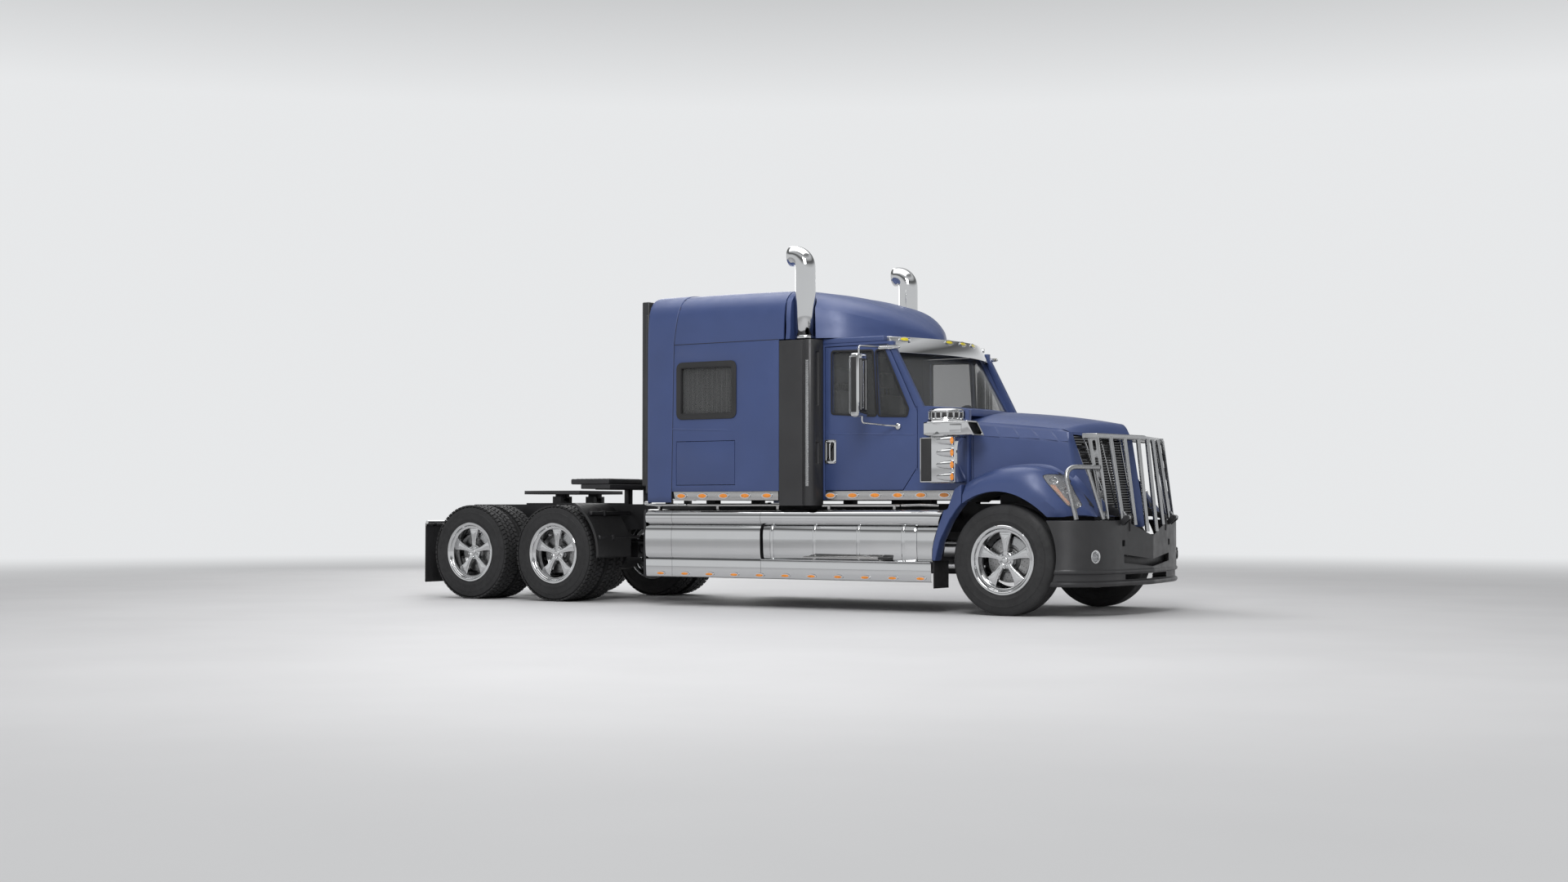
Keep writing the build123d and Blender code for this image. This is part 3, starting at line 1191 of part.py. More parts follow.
def tyre_outline(side, outer):
    """Half outline of a tyre whose outer face is at the given distance from the centreline."""
    across = [
        (RIM_R + SEAT_GAP, 22), (RIM_LIP_R + 2, 20), (RIM_LIP_R + 10, 6), (TYRE_R * 0.78, 0), (TYRE_R - 38, 10), (TYRE_R - 8, 24), (TYRE_R, 44),
        (TYRE_R, TYRE_W - 44), (TYRE_R - 8, TYRE_W - 24), (TYRE_R - 38, TYRE_W - 10), (TYRE_R * 0.78, TYRE_W),
        (RIM_LIP_R + 10, TYRE_W - 6), (RIM_LIP_R + 2, TYRE_W - 20), (RIM_R + SEAT_GAP, TYRE_W - 22),
    ]
    return [(radius, side * (outer - inward)) for radius, inward in across]


def rim_outline(side, outer, width):
    """Rim barrel with a lip at each end."""
    return [
        (RIM_R, side * (outer - 20)),
        (RIM_LIP_R, side * (outer - 16)),
        (RIM_LIP_R, side * (outer - 4)),
        (RIM_R - RIM_WALL, side * (outer - 10)),
        (RIM_R - RIM_WALL - 14, side * (outer - 40)),
        (RIM_R - RIM_WALL - 14, side * (outer - width + 40)),
        (RIM_R - RIM_WALL, side * (outer - width + 10)),
        (RIM_LIP_R, side * (outer - width + 4)),
        (RIM_LIP_R, side * (outer - width + 16)),
        (RIM_R, side * (outer - width + 20)),
    ]


WHEELS = [
    # station, axle position, tyres side by side
    ("front", AXLE_F, 1),
    ("middle", AXLE_M, 2),
    ("rear", AXLE_R, 2),
]
for station, axle_x, count in WHEELS:
    for side, hand in ((-1, "right"), (1, "left")):
        with BuildPart() as tyres:
            for row in range(count):
                add(turned(tyre_outline(side, TYRE_OUT - row * (TYRE_W + DUAL_SPACE)), axle_x))
        finish("tyre", tyres, f"tyre_{station}_{hand}")

        width = count * TYRE_W + (count - 1) * DUAL_SPACE
        with BuildPart() as wheel:
            add(turned(rim_outline(side, TYRE_OUT, width), axle_x))
            # five tapering spokes between the hub and the barrel
            with BuildPart(mode=Mode.PRIVATE) as spoke:
                with BuildSketch(Plane.XZ.offset(-side * (TYRE_OUT - 60) if side > 0 else TYRE_OUT - 110)):
                    with BuildLine():
                        Polyline(
                            (axle_x - SPOKE_HUB_W / 2, TYRE_R + HUB_R - 30),
                            (axle_x + SPOKE_HUB_W / 2, TYRE_R + HUB_R - 30),
                            (axle_x + SPOKE_TOP_W / 2, TYRE_R + RIM_R - RIM_WALL - 4),
                            (axle_x - SPOKE_TOP_W / 2, TYRE_R + RIM_R - RIM_WALL - 4),
                            close=True,
                        )
                    make_face()
                extrude(amount=50)
            for index in range(SPOKES):
                add(spoke.part.rotate(Axis((axle_x, 0, TYRE_R), (0, 1, 0)), index * 360 / SPOKES))
            hub = sorted((side * (TYRE_OUT - HUB_OUT), side * (TYRE_OUT - 190)))
            disc_y(axle_x, TYRE_R, hub, HUB_R)
            brake = sorted((side * (TYRE_OUT - 150), side * (TYRE_OUT - 150 - DISC_T)))
            disc_y(axle_x, TYRE_R, brake, DISC_R)
            disc_y(axle_x, TYRE_R, sorted((side * (TYRE_OUT - HUB_OUT), side * (TYRE_OUT - 48))), 46)
            bore = sorted((side * (TYRE_OUT - HUB_OUT - 10), side * (TYRE_OUT - 400)))
            disc_y(axle_x, TYRE_R, bore, SPINDLE_R + BEARING_GAP, Mode.SUBTRACT)
        finish("wheel", wheel, f"wheel_{station}_{hand}")
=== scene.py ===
"""Long-nose sleeper tractor: paint, chrome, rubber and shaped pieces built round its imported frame. Metres."""

import json
from math import atan2, cos, pi, radians, sin

import bpy
from mathutils import Matrix, Vector


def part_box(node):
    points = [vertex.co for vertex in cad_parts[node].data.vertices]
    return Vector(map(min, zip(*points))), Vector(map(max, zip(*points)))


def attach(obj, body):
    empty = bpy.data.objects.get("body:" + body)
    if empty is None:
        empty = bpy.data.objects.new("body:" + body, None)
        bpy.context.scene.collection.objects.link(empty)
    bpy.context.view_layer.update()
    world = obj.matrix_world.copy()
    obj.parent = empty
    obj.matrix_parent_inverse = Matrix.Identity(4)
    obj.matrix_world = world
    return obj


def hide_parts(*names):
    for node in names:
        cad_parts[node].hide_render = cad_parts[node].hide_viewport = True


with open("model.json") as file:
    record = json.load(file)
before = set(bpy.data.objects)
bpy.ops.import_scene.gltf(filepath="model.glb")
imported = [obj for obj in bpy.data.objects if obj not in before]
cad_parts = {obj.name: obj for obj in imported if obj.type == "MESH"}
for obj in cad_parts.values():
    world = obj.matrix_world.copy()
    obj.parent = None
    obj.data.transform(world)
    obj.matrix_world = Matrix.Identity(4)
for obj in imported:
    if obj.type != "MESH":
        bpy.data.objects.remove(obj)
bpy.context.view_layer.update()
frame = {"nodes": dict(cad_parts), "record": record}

# ---------------------------------------------------------------- places read from the frame


def middle(node):
    """Centre of a node's box."""
    low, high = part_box(node)
    return Vector([(l + h) / 2 for l, h in zip(low, high)])


FRONT_AXLE_X = middle("tyre_front_right").x
MIDDLE_AXLE_X = middle("tyre_middle_right").x
REAR_AXLE_X = middle("tyre_rear_right").x
HUB_Z = middle("tyre_front_right").z
TYRE_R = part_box("tyre_front_right")[1][2] - HUB_Z
TYRE_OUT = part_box("tyre_front_left")[1][1]
TYRE_W = TYRE_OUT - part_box("tyre_front_left")[0][1]
BODY_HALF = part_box("sleeper_sides")[1][1]
CAB_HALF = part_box("cab_sides")[1][1]
SIDES = (("right", -1), ("left", 1))


def a(x):
    """Row X of a place given from the front axle, forward positive."""
    return FRONT_AXLE_X + x


# ---------------------------------------------------------------- modelling tools

MERGE = 0.00001
AXIS_R = 0.0005
SOFT_ANGLE = 40
ROD_ANGLE = 50


def only(piece):
    """Select one object alone and make it active."""
    bpy.ops.object.select_all(action="DESELECT")
    piece.select_set(True)
    bpy.context.view_layer.objects.active = piece


def named(name):
    """The new primitive under its own name, with its place moved into its mesh."""
    piece = bpy.context.active_object
    only(piece)
    bpy.ops.object.transform_apply(location=True, rotation=True, scale=True)
    piece.name = name
    piece.data.name = name
    return piece


def changed(piece, kind, **values):
    """Put a modifier on a piece and apply it."""
    only(piece)
    modifier = piece.modifiers.new(kind.lower(), kind)
    for key, value in values.items():
        setattr(modifier, key, value)
    bpy.ops.object.modifier_apply(modifier=modifier.name)
    return piece


def smoothed(piece, degrees):
    """Smooth the faces that meet at less than an angle."""
    only(piece)
    bpy.ops.object.shade_smooth_by_angle(angle=radians(degrees))
    return piece


def cleaned(piece, merge=0.0, outward=True):
    """Merge the places nearer than a distance and turn the faces outward."""
    only(piece)
    bpy.ops.object.mode_set(mode="EDIT")
    bpy.ops.mesh.select_all(action="SELECT")
    if merge:
        bpy.ops.mesh.remove_doubles(threshold=merge)
    if outward:
        bpy.ops.mesh.normals_make_consistent(inside=False)
    bpy.ops.object.mode_set(mode="OBJECT")
    return piece


def outward(piece):
    """Turn a shell right side out when its faces point inward."""
    faces = piece.data.polygons
    core = sum((face.center * face.area for face in faces), Vector()) / sum(face.area for face in faces)
    if sum((face.center - core).dot(face.normal) * face.area for face in faces) < 0:
        piece.data.flip_normals()
    return piece


def softened(piece, width, steps=2, angle=32):
    """Round the sharp edges of a piece and smooth the rest."""
    changed(
        piece, "BEVEL", width=width, segments=steps, limit_method="ANGLE", angle_limit=radians(angle),
        harden_normals=False,
    )
    return smoothed(piece, SOFT_ANGLE)


def joined(name, pieces):
    """Several pieces as one object."""
    bpy.ops.object.select_all(action="DESELECT")
    for piece in pieces:
        piece.select_set(True)
    bpy.context.view_layer.objects.active = pieces[0]
    if len(pieces) > 1:
        bpy.ops.object.join()
    pieces[0].name = name
    pieces[0].data.name = name
    return pieces[0]


def copied(piece, name, matrix):
    """A copy with its own mesh, moved by a matrix; faces stay outward when it mirrors."""
    twin = piece.copy()
    twin.data = piece.data.copy()
    twin.name = name
    twin.data.name = name
    bpy.context.collection.objects.link(twin)
    twin.data.transform(matrix)
    if matrix.determinant() < 0:
        twin.data.flip_normals()
    return twin


def moved(x=0.0, y=0.0, z=0.0):
    """Shift along the axes."""
    return Matrix.Translation((x, y, z))


MIRRORED = Matrix.Scale(-1, 4, (0, 1, 0))


def both_sides(piece, name):
    """A piece joined to its mirror image across the centreline."""
    return joined(name, [piece, copied(piece, name + "_twin", MIRRORED)])


def block(name, low, high, round_by=0.004, steps=2):
    """Rounded block between two corners."""
    centre = [(l + h) / 2 for l, h in zip(low, high)]
    size = [abs(h - l) for l, h in zip(low, high)]
    bpy.ops.mesh.primitive_cube_add(size=1, location=centre, scale=size)
    piece = named(name)
    if round_by:
        softened(piece, min(round_by, min(size) * 0.45), steps)
    return piece


def outlined(name, points):
    """A ring of edges through the given places, left in edit mode with all of it selected."""
    bpy.ops.object.select_all(action="DESELECT")
    bpy.ops.mesh.primitive_circle_add(vertices=len(points), fill_type="NOTHING")
    piece = named(name)
    for vertex, place in zip(piece.data.vertices, points):
        vertex.co = place
    bpy.ops.object.mode_set(mode="EDIT")
    bpy.ops.mesh.select_all(action="SELECT")
    return piece


def plate(name, points, through, round_by=0.003, steps=2):
    """Solid plate: an outline filled and extruded by the vector through."""
    piece = outlined(name, points)
    bpy.ops.mesh.edge_face_add()
    bpy.ops.mesh.extrude_region_move(TRANSFORM_OT_translate={"value": through})
    bpy.ops.object.mode_set(mode="OBJECT")
    outward(cleaned(piece))
    if round_by:
        softened(piece, round_by, steps)
    return piece


def turned(name, section, centre, steps=72, smooth=35):
    """A closed (radius, across) section spun round the Y axis through centre."""
    x, y, z = centre
    piece = outlined(name, [(x + radius, y + across, z) for radius, across in section])
    bpy.ops.mesh.spin(steps=steps, angle=2 * pi, use_auto_merge=True, center=centre, axis=(0, 1, 0))
    bpy.ops.object.mode_set(mode="OBJECT")
    return smoothed(cleaned(piece, MERGE), smooth)


def drum(name, radius, low, high, centre=(0, 0, 0), steps=72):
    """Plain cylinder along Y between two distances from its centre."""
    return turned(name, [(AXIS_R, low), (radius, low), (radius, high), (AXIS_R, high)], centre, steps)


def rod(name, points, radius, bend=0.0, sides=16):
    """Round bar along a run of places, its corners bent."""
    bpy.ops.object.select_all(action="DESELECT")
    bpy.ops.mesh.primitive_circle_add(vertices=max(3, len(points)), fill_type="NOTHING")
    piece = named(name)
    for vertex in piece.data.vertices:
        vertex.co = points[min(vertex.index, len(points) - 1)]
    cleaned(piece, MERGE, False)
    for edge in piece.data.edges:
        edge.select = len(points) > 2 and set(edge.vertices) == {0, len(points) - 1}
    for vertex in piece.data.vertices:
        vertex.select = False
    for face in piece.data.polygons:
        face.select = False
    bpy.ops.object.mode_set(mode="EDIT")
    bpy.ops.mesh.select_mode(type="EDGE")
    if len(points) > 2:
        bpy.ops.mesh.delete(type="EDGE")
        if bend:
            bpy.ops.mesh.select_mode(type="VERT")
            bpy.ops.mesh.select_all(action="SELECT")
            bpy.ops.mesh.bevel(offset=bend, offset_type="WIDTH", segments=7, affect="VERTICES")
    bpy.ops.mesh.select_mode(type="VERT")
    bpy.ops.object.mode_set(mode="OBJECT")
    only(piece)
    bpy.ops.object.convert(target="CURVE")
    piece = bpy.context.active_object
    piece.data.bevel_depth = radius
    piece.data.bevel_resolution = max(1, sides // 4 - 1)
    piece.data.use_fill_caps = True
    bpy.ops.object.convert(target="MESH")
    piece = bpy.context.active_object
    piece.name = name
    piece.data.name = name
    return smoothed(cleaned(piece, MERGE), ROD_ANGLE)


def sheet_of(name, rows, thickness=0.0, smooth=35):
    """Grid whose rows run through the given places, made thick inwards when asked."""
    bpy.ops.object.select_all(action="DESELECT")
    bpy.ops.mesh.primitive_grid_add(x_subdivisions=len(rows[0]) - 1, y_subdivisions=len(rows) - 1)
    piece = named(name)
    places = [coordinate for row in rows for place in row for coordinate in place]
    piece.data.vertices.foreach_set("co", places)
    piece.data.update()
    cleaned(piece, MERGE, False)
    if thickness:
        changed(piece, "SOLIDIFY", thickness=abs(thickness), offset=-1.0 if thickness > 0 else 1.0)
    return smoothed(piece, smooth)


def flowing(points, count):
    """Places spaced along a smooth curve through the given ones."""
    places = [Vector(point) for point in points]
    places = [2 * places[0] - places[1]] + places + [2 * places[-1] - places[-2]]
    fine = []
    for first, second, third, fourth in zip(places, places[1:], places[2:], places[3:]):
        for step in range(16):
            t = step / 16
            fine.append(
                0.5 * (
                    2 * second + (third - first) * t
                    + (2 * first - 5 * second + 4 * third - fourth) * t * t
                    + (3 * second - first - 3 * third + fourth) * t ** 3
                )
            )
    fine.append(places[-2])
    lengths = [0.0]
    for before, after in zip(fine, fine[1:]):
        lengths.append(lengths[-1] + (after - before).length)
    spaced = []
    place = 0
    for step in range(count):
        wanted = lengths[-1] * step / (count - 1)
        while place < len(fine) - 2 and lengths[place + 1] < wanted:
            place += 1
        span = lengths[place + 1] - lengths[place] or 1.0
        spaced.append(fine[place].lerp(fine[place + 1], min(1.0, (wanted - lengths[place]) / span)))
    return spaced


# ---------------------------------------------------------------- materials


def material(name, colour, roughness, metallic=0.0):
    """New material: its node tree, its shader and its Object coordinates."""
    made = bpy.data.materials.new(name)
    made.use_nodes = True
    tree = made.node_tree
    shader = tree.nodes["Principled BSDF"]
    shader.inputs["Base Color"].default_value = (*colour, 1)
    shader.inputs["Roughness"].default_value = roughness
    shader.inputs["Metallic"].default_value = metallic
    place = tree.nodes.new("ShaderNodeTexCoord").outputs["Object"]
    return made, tree, shader, place


def noise(tree, place, scale, detail=4.0, stretch=None):
    """Noise over the piece, drawn out along an axis when stretch is given."""
    if stretch:
        mapping = tree.nodes.new("ShaderNodeMapping")
        mapping.inputs["Scale"].default_value = stretch
        tree.links.new(place, mapping.inputs["Vector"])
        place = mapping.outputs["Vector"]
    texture = tree.nodes.new("ShaderNodeTexNoise")
    texture.inputs["Scale"].default_value = scale
    texture.inputs["Detail"].default_value = detail
    tree.links.new(place, texture.inputs["Vector"])
    return texture.outputs["Fac"]


def ranged(tree, value, low, high, target):
    """Spread a 0 to 1 pattern between low and high and plug it in."""
    spread = tree.nodes.new("ShaderNodeMapRange")
    spread.inputs["From Min"].default_value = 0.3
    spread.inputs["From Max"].default_value = 0.7
    spread.inputs["To Min"].default_value = low
    spread.inputs["To Max"].default_value = high
    tree.links.new(value, spread.inputs["Value"])
    tree.links.new(spread.outputs["Result"], target)


def coloured(tree, value, dark, light, shader):
    """Colour that wanders between two tones by a pattern."""
    ramp = tree.nodes.new("ShaderNodeValToRGB")
    ramp.color_ramp.elements[0].position = 0.3
    ramp.color_ramp.elements[0].color = (*dark, 1)
    ramp.color_ramp.elements[1].position = 0.7
    ramp.color_ramp.elements[1].color = (*light, 1)
    tree.links.new(value, ramp.inputs["Fac"])
    tree.links.new(ramp.outputs["Color"], shader.inputs["Base Color"])


def bumped(tree, value, strength, depth, shader):
    """Relief from a pattern."""
    bump = tree.nodes.new("ShaderNodeBump")
    bump.inputs["Strength"].default_value = strength
    bump.inputs["Distance"].default_value = depth
    tree.links.new(value, bump.inputs["Height"])
    tree.links.new(bump.outputs["Normal"], shader.inputs["Normal"])


def shade(colour, by):
    """A tone of a colour."""
    return tuple(min(1.0, channel * by) for channel in colour)


def worn_surface(name, colour, roughness, metallic, spread, grain, relief, patch, stretch):
    """Surface with slow tone changes, uneven roughness and a fine grain."""
    made, tree, shader, place = material(name, colour, roughness, metallic)
    coloured(tree, noise(tree, place, patch), shade(colour, 1 - spread), shade(colour, 1 + spread), shader)
    ranged(tree, noise(tree, place, patch * 4), roughness * 0.85, roughness * 1.15, shader.inputs["Roughness"])
    bumped(tree, noise(tree, place, grain, 6.0, stretch), 0.25, relief, shader)
    for socket, value in EXTRA_VALUES.get(name, {}).items():
        shader.inputs[socket].default_value = value
    return made


def woven(name, colour, scale):
    """Cloth with crossing threads."""
    made, tree, shader, place = material(name, colour, 0.85)
    waves = []
    for direction in ("X", "Z"):
        wave = tree.nodes.new("ShaderNodeTexWave")
        wave.bands_direction = direction
        wave.inputs["Scale"].default_value = scale
        wave.inputs["Distortion"].default_value = 1.2
        tree.links.new(place, wave.inputs["Vector"])
        waves.append(wave.outputs["Fac"])
    cross = tree.nodes.new("ShaderNodeMath")
    cross.operation = "MULTIPLY"
    tree.links.new(waves[0], cross.inputs[0])
    tree.links.new(waves[1], cross.inputs[1])
    coloured(tree, noise(tree, place, 7), shade(colour, 0.85), shade(colour, 1.15), shader)
    bumped(tree, cross.outputs["Value"], 0.5, 0.0015, shader)
    shader.inputs["Sheen Weight"].default_value = 0.3
    return made


def smoky_glass():
    """Tinted window glass with faint streaks."""
    made, tree, shader, place = material("smoky_glass", (0.11, 0.114, 0.114), 0.04)
    coloured(tree, noise(tree, place, 3), (0.10, 0.103, 0.103), (0.12, 0.124, 0.124), shader)
    ranged(tree, noise(tree, place, 9), 0.02, 0.07, shader.inputs["Roughness"])
    bumped(tree, noise(tree, place, 2.0), 0.1, 0.0005, shader)
    shader.inputs["Alpha"].default_value = 0.33
    shader.inputs["Specular IOR Level"].default_value = 0.4
    return made


def clear_lens():
    """Clear moulded lens of the headlamps."""
    made, tree, shader, place = material("clear_lens", (0.55, 0.56, 0.58), 0.06)
    coloured(tree, noise(tree, place, 20), (0.5, 0.51, 0.53), (0.6, 0.61, 0.63), shader)
    ranged(tree, noise(tree, place, 30), 0.03, 0.09, shader.inputs["Roughness"])
    bumped(tree, noise(tree, place, 30), 0.1, 0.0005, shader)
    shader.inputs["Alpha"].default_value = 0.25
    return made


def ribbed_lens(name, colour):
    """Coloured lamp lens with fine flutes."""
    made, tree, shader, place = material(name, colour, 0.16)
    wave = tree.nodes.new("ShaderNodeTexWave")
    wave.inputs["Scale"].default_value = 60
    tree.links.new(place, wave.inputs["Vector"])
    coloured(tree, noise(tree, place, 40), shade(colour, 0.8), shade(colour, 1.15), shader)
    ranged(tree, noise(tree, place, 60), 0.1, 0.22, shader.inputs["Roughness"])
    bumped(tree, wave.outputs["Fac"], 0.4, 0.001, shader)
    shader.inputs["Coat Weight"].default_value = 0.6
    shader.inputs["Coat Roughness"].default_value = 0.05
    return made


FINISHES = (
    # name, colour, roughness, metallic, tone change, grain scale, grain depth, patch scale, stretch of the grain
    ("body_paint", (0.044, 0.072, 0.195), 0.42, 0.1, 0.05, 900, 0.0003, 2.5, None),
    ("mirror_chrome", (0.60, 0.605, 0.61), 0.055, 1.0, 0.02, 14, 0.0004, 2.5, None),
    ("wheel_chrome", (0.60, 0.605, 0.61), 0.08, 1.0, 0.04, 60, 0.0002, 6, None),
    ("brushed_steel", (0.40, 0.405, 0.41), 0.27, 1.0, 0.06, 90, 0.0003, 5, (1, 1, 0.06)),
    ("brushed_strip", (0.46, 0.455, 0.45), 0.24, 1.0, 0.05, 90, 0.0003, 5, (0.04, 1, 1)),
    ("dark_steel", (0.052, 0.052, 0.054), 0.40, 0.45, 0.08, 500, 0.0003, 2.5, None),
    ("chassis_black", (0.018, 0.018, 0.02), 0.48, 0.0, 0.35, 260, 0.0006, 4, None),
    ("cast_grey", (0.13, 0.13, 0.135), 0.6, 0.4, 0.2, 180, 0.0012, 5, None),
    ("tyre_rubber", (0.021, 0.021, 0.022), 0.72, 0.0, 0.22, 420, 0.0006, 5, None),
    ("flap_rubber", (0.014, 0.014, 0.015), 0.6, 0.0, 0.2, 260, 0.0006, 6, None),
    ("black_plastic", (0.02, 0.02, 0.021), 0.5, 0.0, 0.15, 600, 0.0006, 6, None),
    ("cab_plastic", (0.34, 0.335, 0.325), 0.6, 0.0, 0.06, 700, 0.0006, 2.5, None),
    ("brake_iron", (0.3, 0.3, 0.3), 0.34, 1.0, 0.12, 300, 0.0003, 9, None),
)
# shader inputs that only some of the finishes set
EXTRA_VALUES = {
    "body_paint": {"Coat Weight": 0.25, "Coat Roughness": 0.38},
    "dark_steel": {"Specular IOR Level": 0.4},
}
(
    PAINT, CHROME, WHEEL_CHROME, BRUSHED, STRIP, DARK_STEEL,
    BLACK, CAST, TYRE, SEAL, PLASTIC, TRIM, IRON,
) = [worn_surface(*finish) for finish in FINISHES]
SEAT_CLOTH = woven("seat_cloth", (0.16, 0.16, 0.165), 260)
CURTAIN_CLOTH = woven("curtain_cloth", (0.03, 0.03, 0.032), 300)
MATTRESS_CLOTH = woven("mattress_cloth", (0.3, 0.3, 0.31), 220)
GLASS = smoky_glass()
LENS = clear_lens()
AMBER = ribbed_lens("amber_lens", (0.85, 0.27, 0.015))
YELLOW = ribbed_lens("yellow_lens", (0.8, 0.66, 0.02))


def body_carrying(node):
    """Name of the body that a CAD node rides on."""
    for body, members in frame["record"]["behaviour"]["bodies"].items():
        if node in members:
            return body
    return None


def dressed(piece, finish_used, *nodes, body="chassis", slot=None):
    """Give a piece its material, its body and the nodes it stands for; the slot is not used."""
    piece.data.materials.clear()
    piece.data.materials.append(finish_used)
    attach(piece, body)
    if nodes:
        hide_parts(*nodes)
    return piece


def twinned(name, pieces, finish_used, *nodes, **carried):
    """Pieces of the right side joined, mirrored to the left too and dressed as one."""
    return dressed(both_sides(joined(name, pieces), name), finish_used, *nodes, **carried)


def painted(node, finish_used):
    """Give a CAD node that stays its material."""
    piece = frame["nodes"][node]
    piece.data.materials.clear()
    piece.data.materials.append(finish_used)


def rounded_from(node, name, width, steps=2, angle=32):
    """A copy of a CAD node with merged faces and rounded edges."""
    piece = frame["nodes"][node].copy()
    piece.data = frame["nodes"][node].data.copy()
    piece.name = name
    piece.data.name = name
    piece.parent = None
    bpy.context.collection.objects.link(piece)
    only(piece)
    bpy.ops.object.mode_set(mode="EDIT")
    bpy.ops.mesh.select_all(action="SELECT")
    bpy.ops.mesh.remove_doubles(threshold=0.00005)
    bpy.ops.mesh.dissolve_limited(angle_limit=radians(1.0))
    bpy.ops.object.mode_set(mode="OBJECT")
    return softened(piece, width, steps, angle)


# ---------------------------------------------------------------- outlines in the side view


def eased(points, radius, steps=6):
    """Corners of a closed (x, z) outline rounded by arcs."""
    done = []
    count = len(points)
    for index in range(count):
        before, corner, after = points[index - 1], points[index], points[(index + 1) % count]
        ways = [Vector(end) - Vector(corner) for end in (before, after)]
        lengths = [way.length for way in ways]
        ways = [way.normalized() for way in ways]
        half = ways[0].angle(ways[1]) / 2
        reach = min(radius / max(0.05, abs(sin(half) / cos(half))), min(lengths) * 0.48)
        start, end = (Vector(corner) + way * reach for way in ways)
        for step in range(steps + 1):
            t = step / steps
            done.append(tuple((1 - t) ** 2 * start + 2 * t * (1 - t) * Vector(corner) + t * t * end))
    return done


def grown(points, by):
    """Closed (x, z) outline moved outwards by a distance, or inwards when negative."""
    area = sum(p[0] * q[1] - q[0] * p[1] for p, q in zip(points, points[1:] + points[:1]))
    turn = 1 if area > 0 else -1
    done = []
    count = len(points)
    for index in range(count):
        before, corner, after = (Vector(points[(index + k) % count]) for k in (-1, 0, 1))
        normals = []
        for start, end in ((before, corner), (corner, after)):
            way = (end - start).normalized()
            normals.append(Vector((way.y, -way.x)) * turn)
        middle_way = (normals[0] + normals[1]).normalized()
        done.append(tuple(corner + middle_way * (by / max(0.3, middle_way.dot(normals[0])))))
    return done


def side_plate(name, outline, y, through, round_by=0.003, steps=2):
    """Plate from an (x, z) outline at a distance y from the centreline, thick by through along Y."""
    return plate(name, [(x, y, z) for x, z in outline], (0, through, 0), round_by, steps)


def border(name, outline, width, y, through, round_by=0.003):
    """Frame of the given width inside an (x, z) outline, thick by through along Y."""
    inner = grown(outline, -width)
    rows = [[(x, y, z) for x, z in ring + ring[:1]] for ring in (outline, inner)]
    piece = sheet_of(name, rows)
    changed(piece, "SOLIDIFY", thickness=abs(through), offset=0.0)
    piece.data.transform(moved(y=through / 2))
    return softened(cleaned(piece), round_by)


def oval(length, height, steps=24):
    """Closed (x, z) outline of an oval about the origin."""
    return [(cos(t * 2 * pi / steps) * length / 2, sin(t * 2 * pi / steps) * height / 2) for t in range(steps)]


def cut_by(piece, cutters):
    """Take the cutters out of a piece."""
    for cutter in cutters:
        changed(piece, "BOOLEAN", operation="DIFFERENCE", object=cutter, solver="EXACT")
        bpy.data.objects.remove(cutter)
    return piece


# ---------------------------------------------------------------- tyres

TREAD_DEPTH = 0.014
RIB_GROOVES = (0.076, 0.116, 0.154, 0.194)
GROOVE_W = 0.009
PITCHES = 60
LUG_TAPER = (0.9, 0.93, 1.0)
DUAL_PITCH = TYRE_W + 0.06


def tyre_section(crown, grooves):
    """(radius, inward) outline of a tyre from its outer bead over the crown to its inner bead."""
    outer = [
        (0.300, 0.034), (0.325, 0.022), (0.334, 0.009), (0.344, 0.003), (0.366, 0.0015), (0.369, -0.0006),
        (0.375, -0.0006), (0.378, 0.001), (0.415, -0.001), (0.436, 0.0005), (0.438, -0.001), (0.446, -0.0005),
        (0.448, 0.003), (0.474, 0.008), (0.494, 0.014), (crown - 0.012, 0.024), (crown - 0.003, 0.036),
        (crown, 0.050),
    ]
    inner = [(radius, TYRE_W - inward) for radius, inward in reversed(outer)]
    ribs = []
    for centre in grooves:
        low, high = centre - GROOVE_W / 2, centre + GROOVE_W / 2
        ribs += [(crown, low), (crown - 0.011, low + 0.001), (crown - 0.011, high - 0.001), (crown, high)]
    return outer + ribs + inner


def lug(name, outline, low, high):
    """Tread block: an (around, across) outline from the carcass up to the crown."""
    piece = outlined(name, [(x, y, low) for x, y in outline])
    bpy.ops.mesh.edge_face_add()
    bpy.ops.mesh.extrude_region_move(TRANSFORM_OT_translate={"value": (0, 0, high - low)})
    bpy.ops.transform.resize(value=LUG_TAPER)
    bpy.ops.object.mode_set(mode="OBJECT")
    return cleaned(piece)


def tread_lugs():
    """One pitch of block tread repeated round the axle, with its outer face at y = 0."""
    pitch = 2 * pi * TYRE_R / PITCHES
    carcass = TYRE_R - TREAD_DEPTH - 0.004
    half = pitch * 0.41
    rows = (
        # across from, across to, shift round the tyre, skew
        (0.016, 0.072, 0.0, 0.006),
        (0.080, 0.128, 0.5, -0.010),
        (0.142, 0.190, 0.0, 0.010),
        (0.198, 0.254, 0.5, -0.006),
    )
    blocks = []
    for start, end, shift, skew in rows:
        across = (start + end) / 2
        along = (shift - 0.25) * pitch
        outline = [
            (along - half + skew, -start), (along + half + skew, -start), (along + half - skew * 0.4, -across),
            (along + half - skew, -end), (along - half - skew, -end), (along - half + skew * 0.4, -across),
        ]
        blocks.append(lug("lug", outline, carcass, TYRE_R))
    one = joined("lugs", blocks)
    turn = bpy.data.objects.new("turn", None)
    turn.rotation_euler = (0, 2 * pi / PITCHES, 0)
    bpy.context.collection.objects.link(turn)
    bpy.context.view_layer.update()
    changed(
        one, "ARRAY", count=PITCHES, use_relative_offset=False, use_object_offset=True, offset_object=turn,
    )
    bpy.data.objects.remove(turn)
    return one


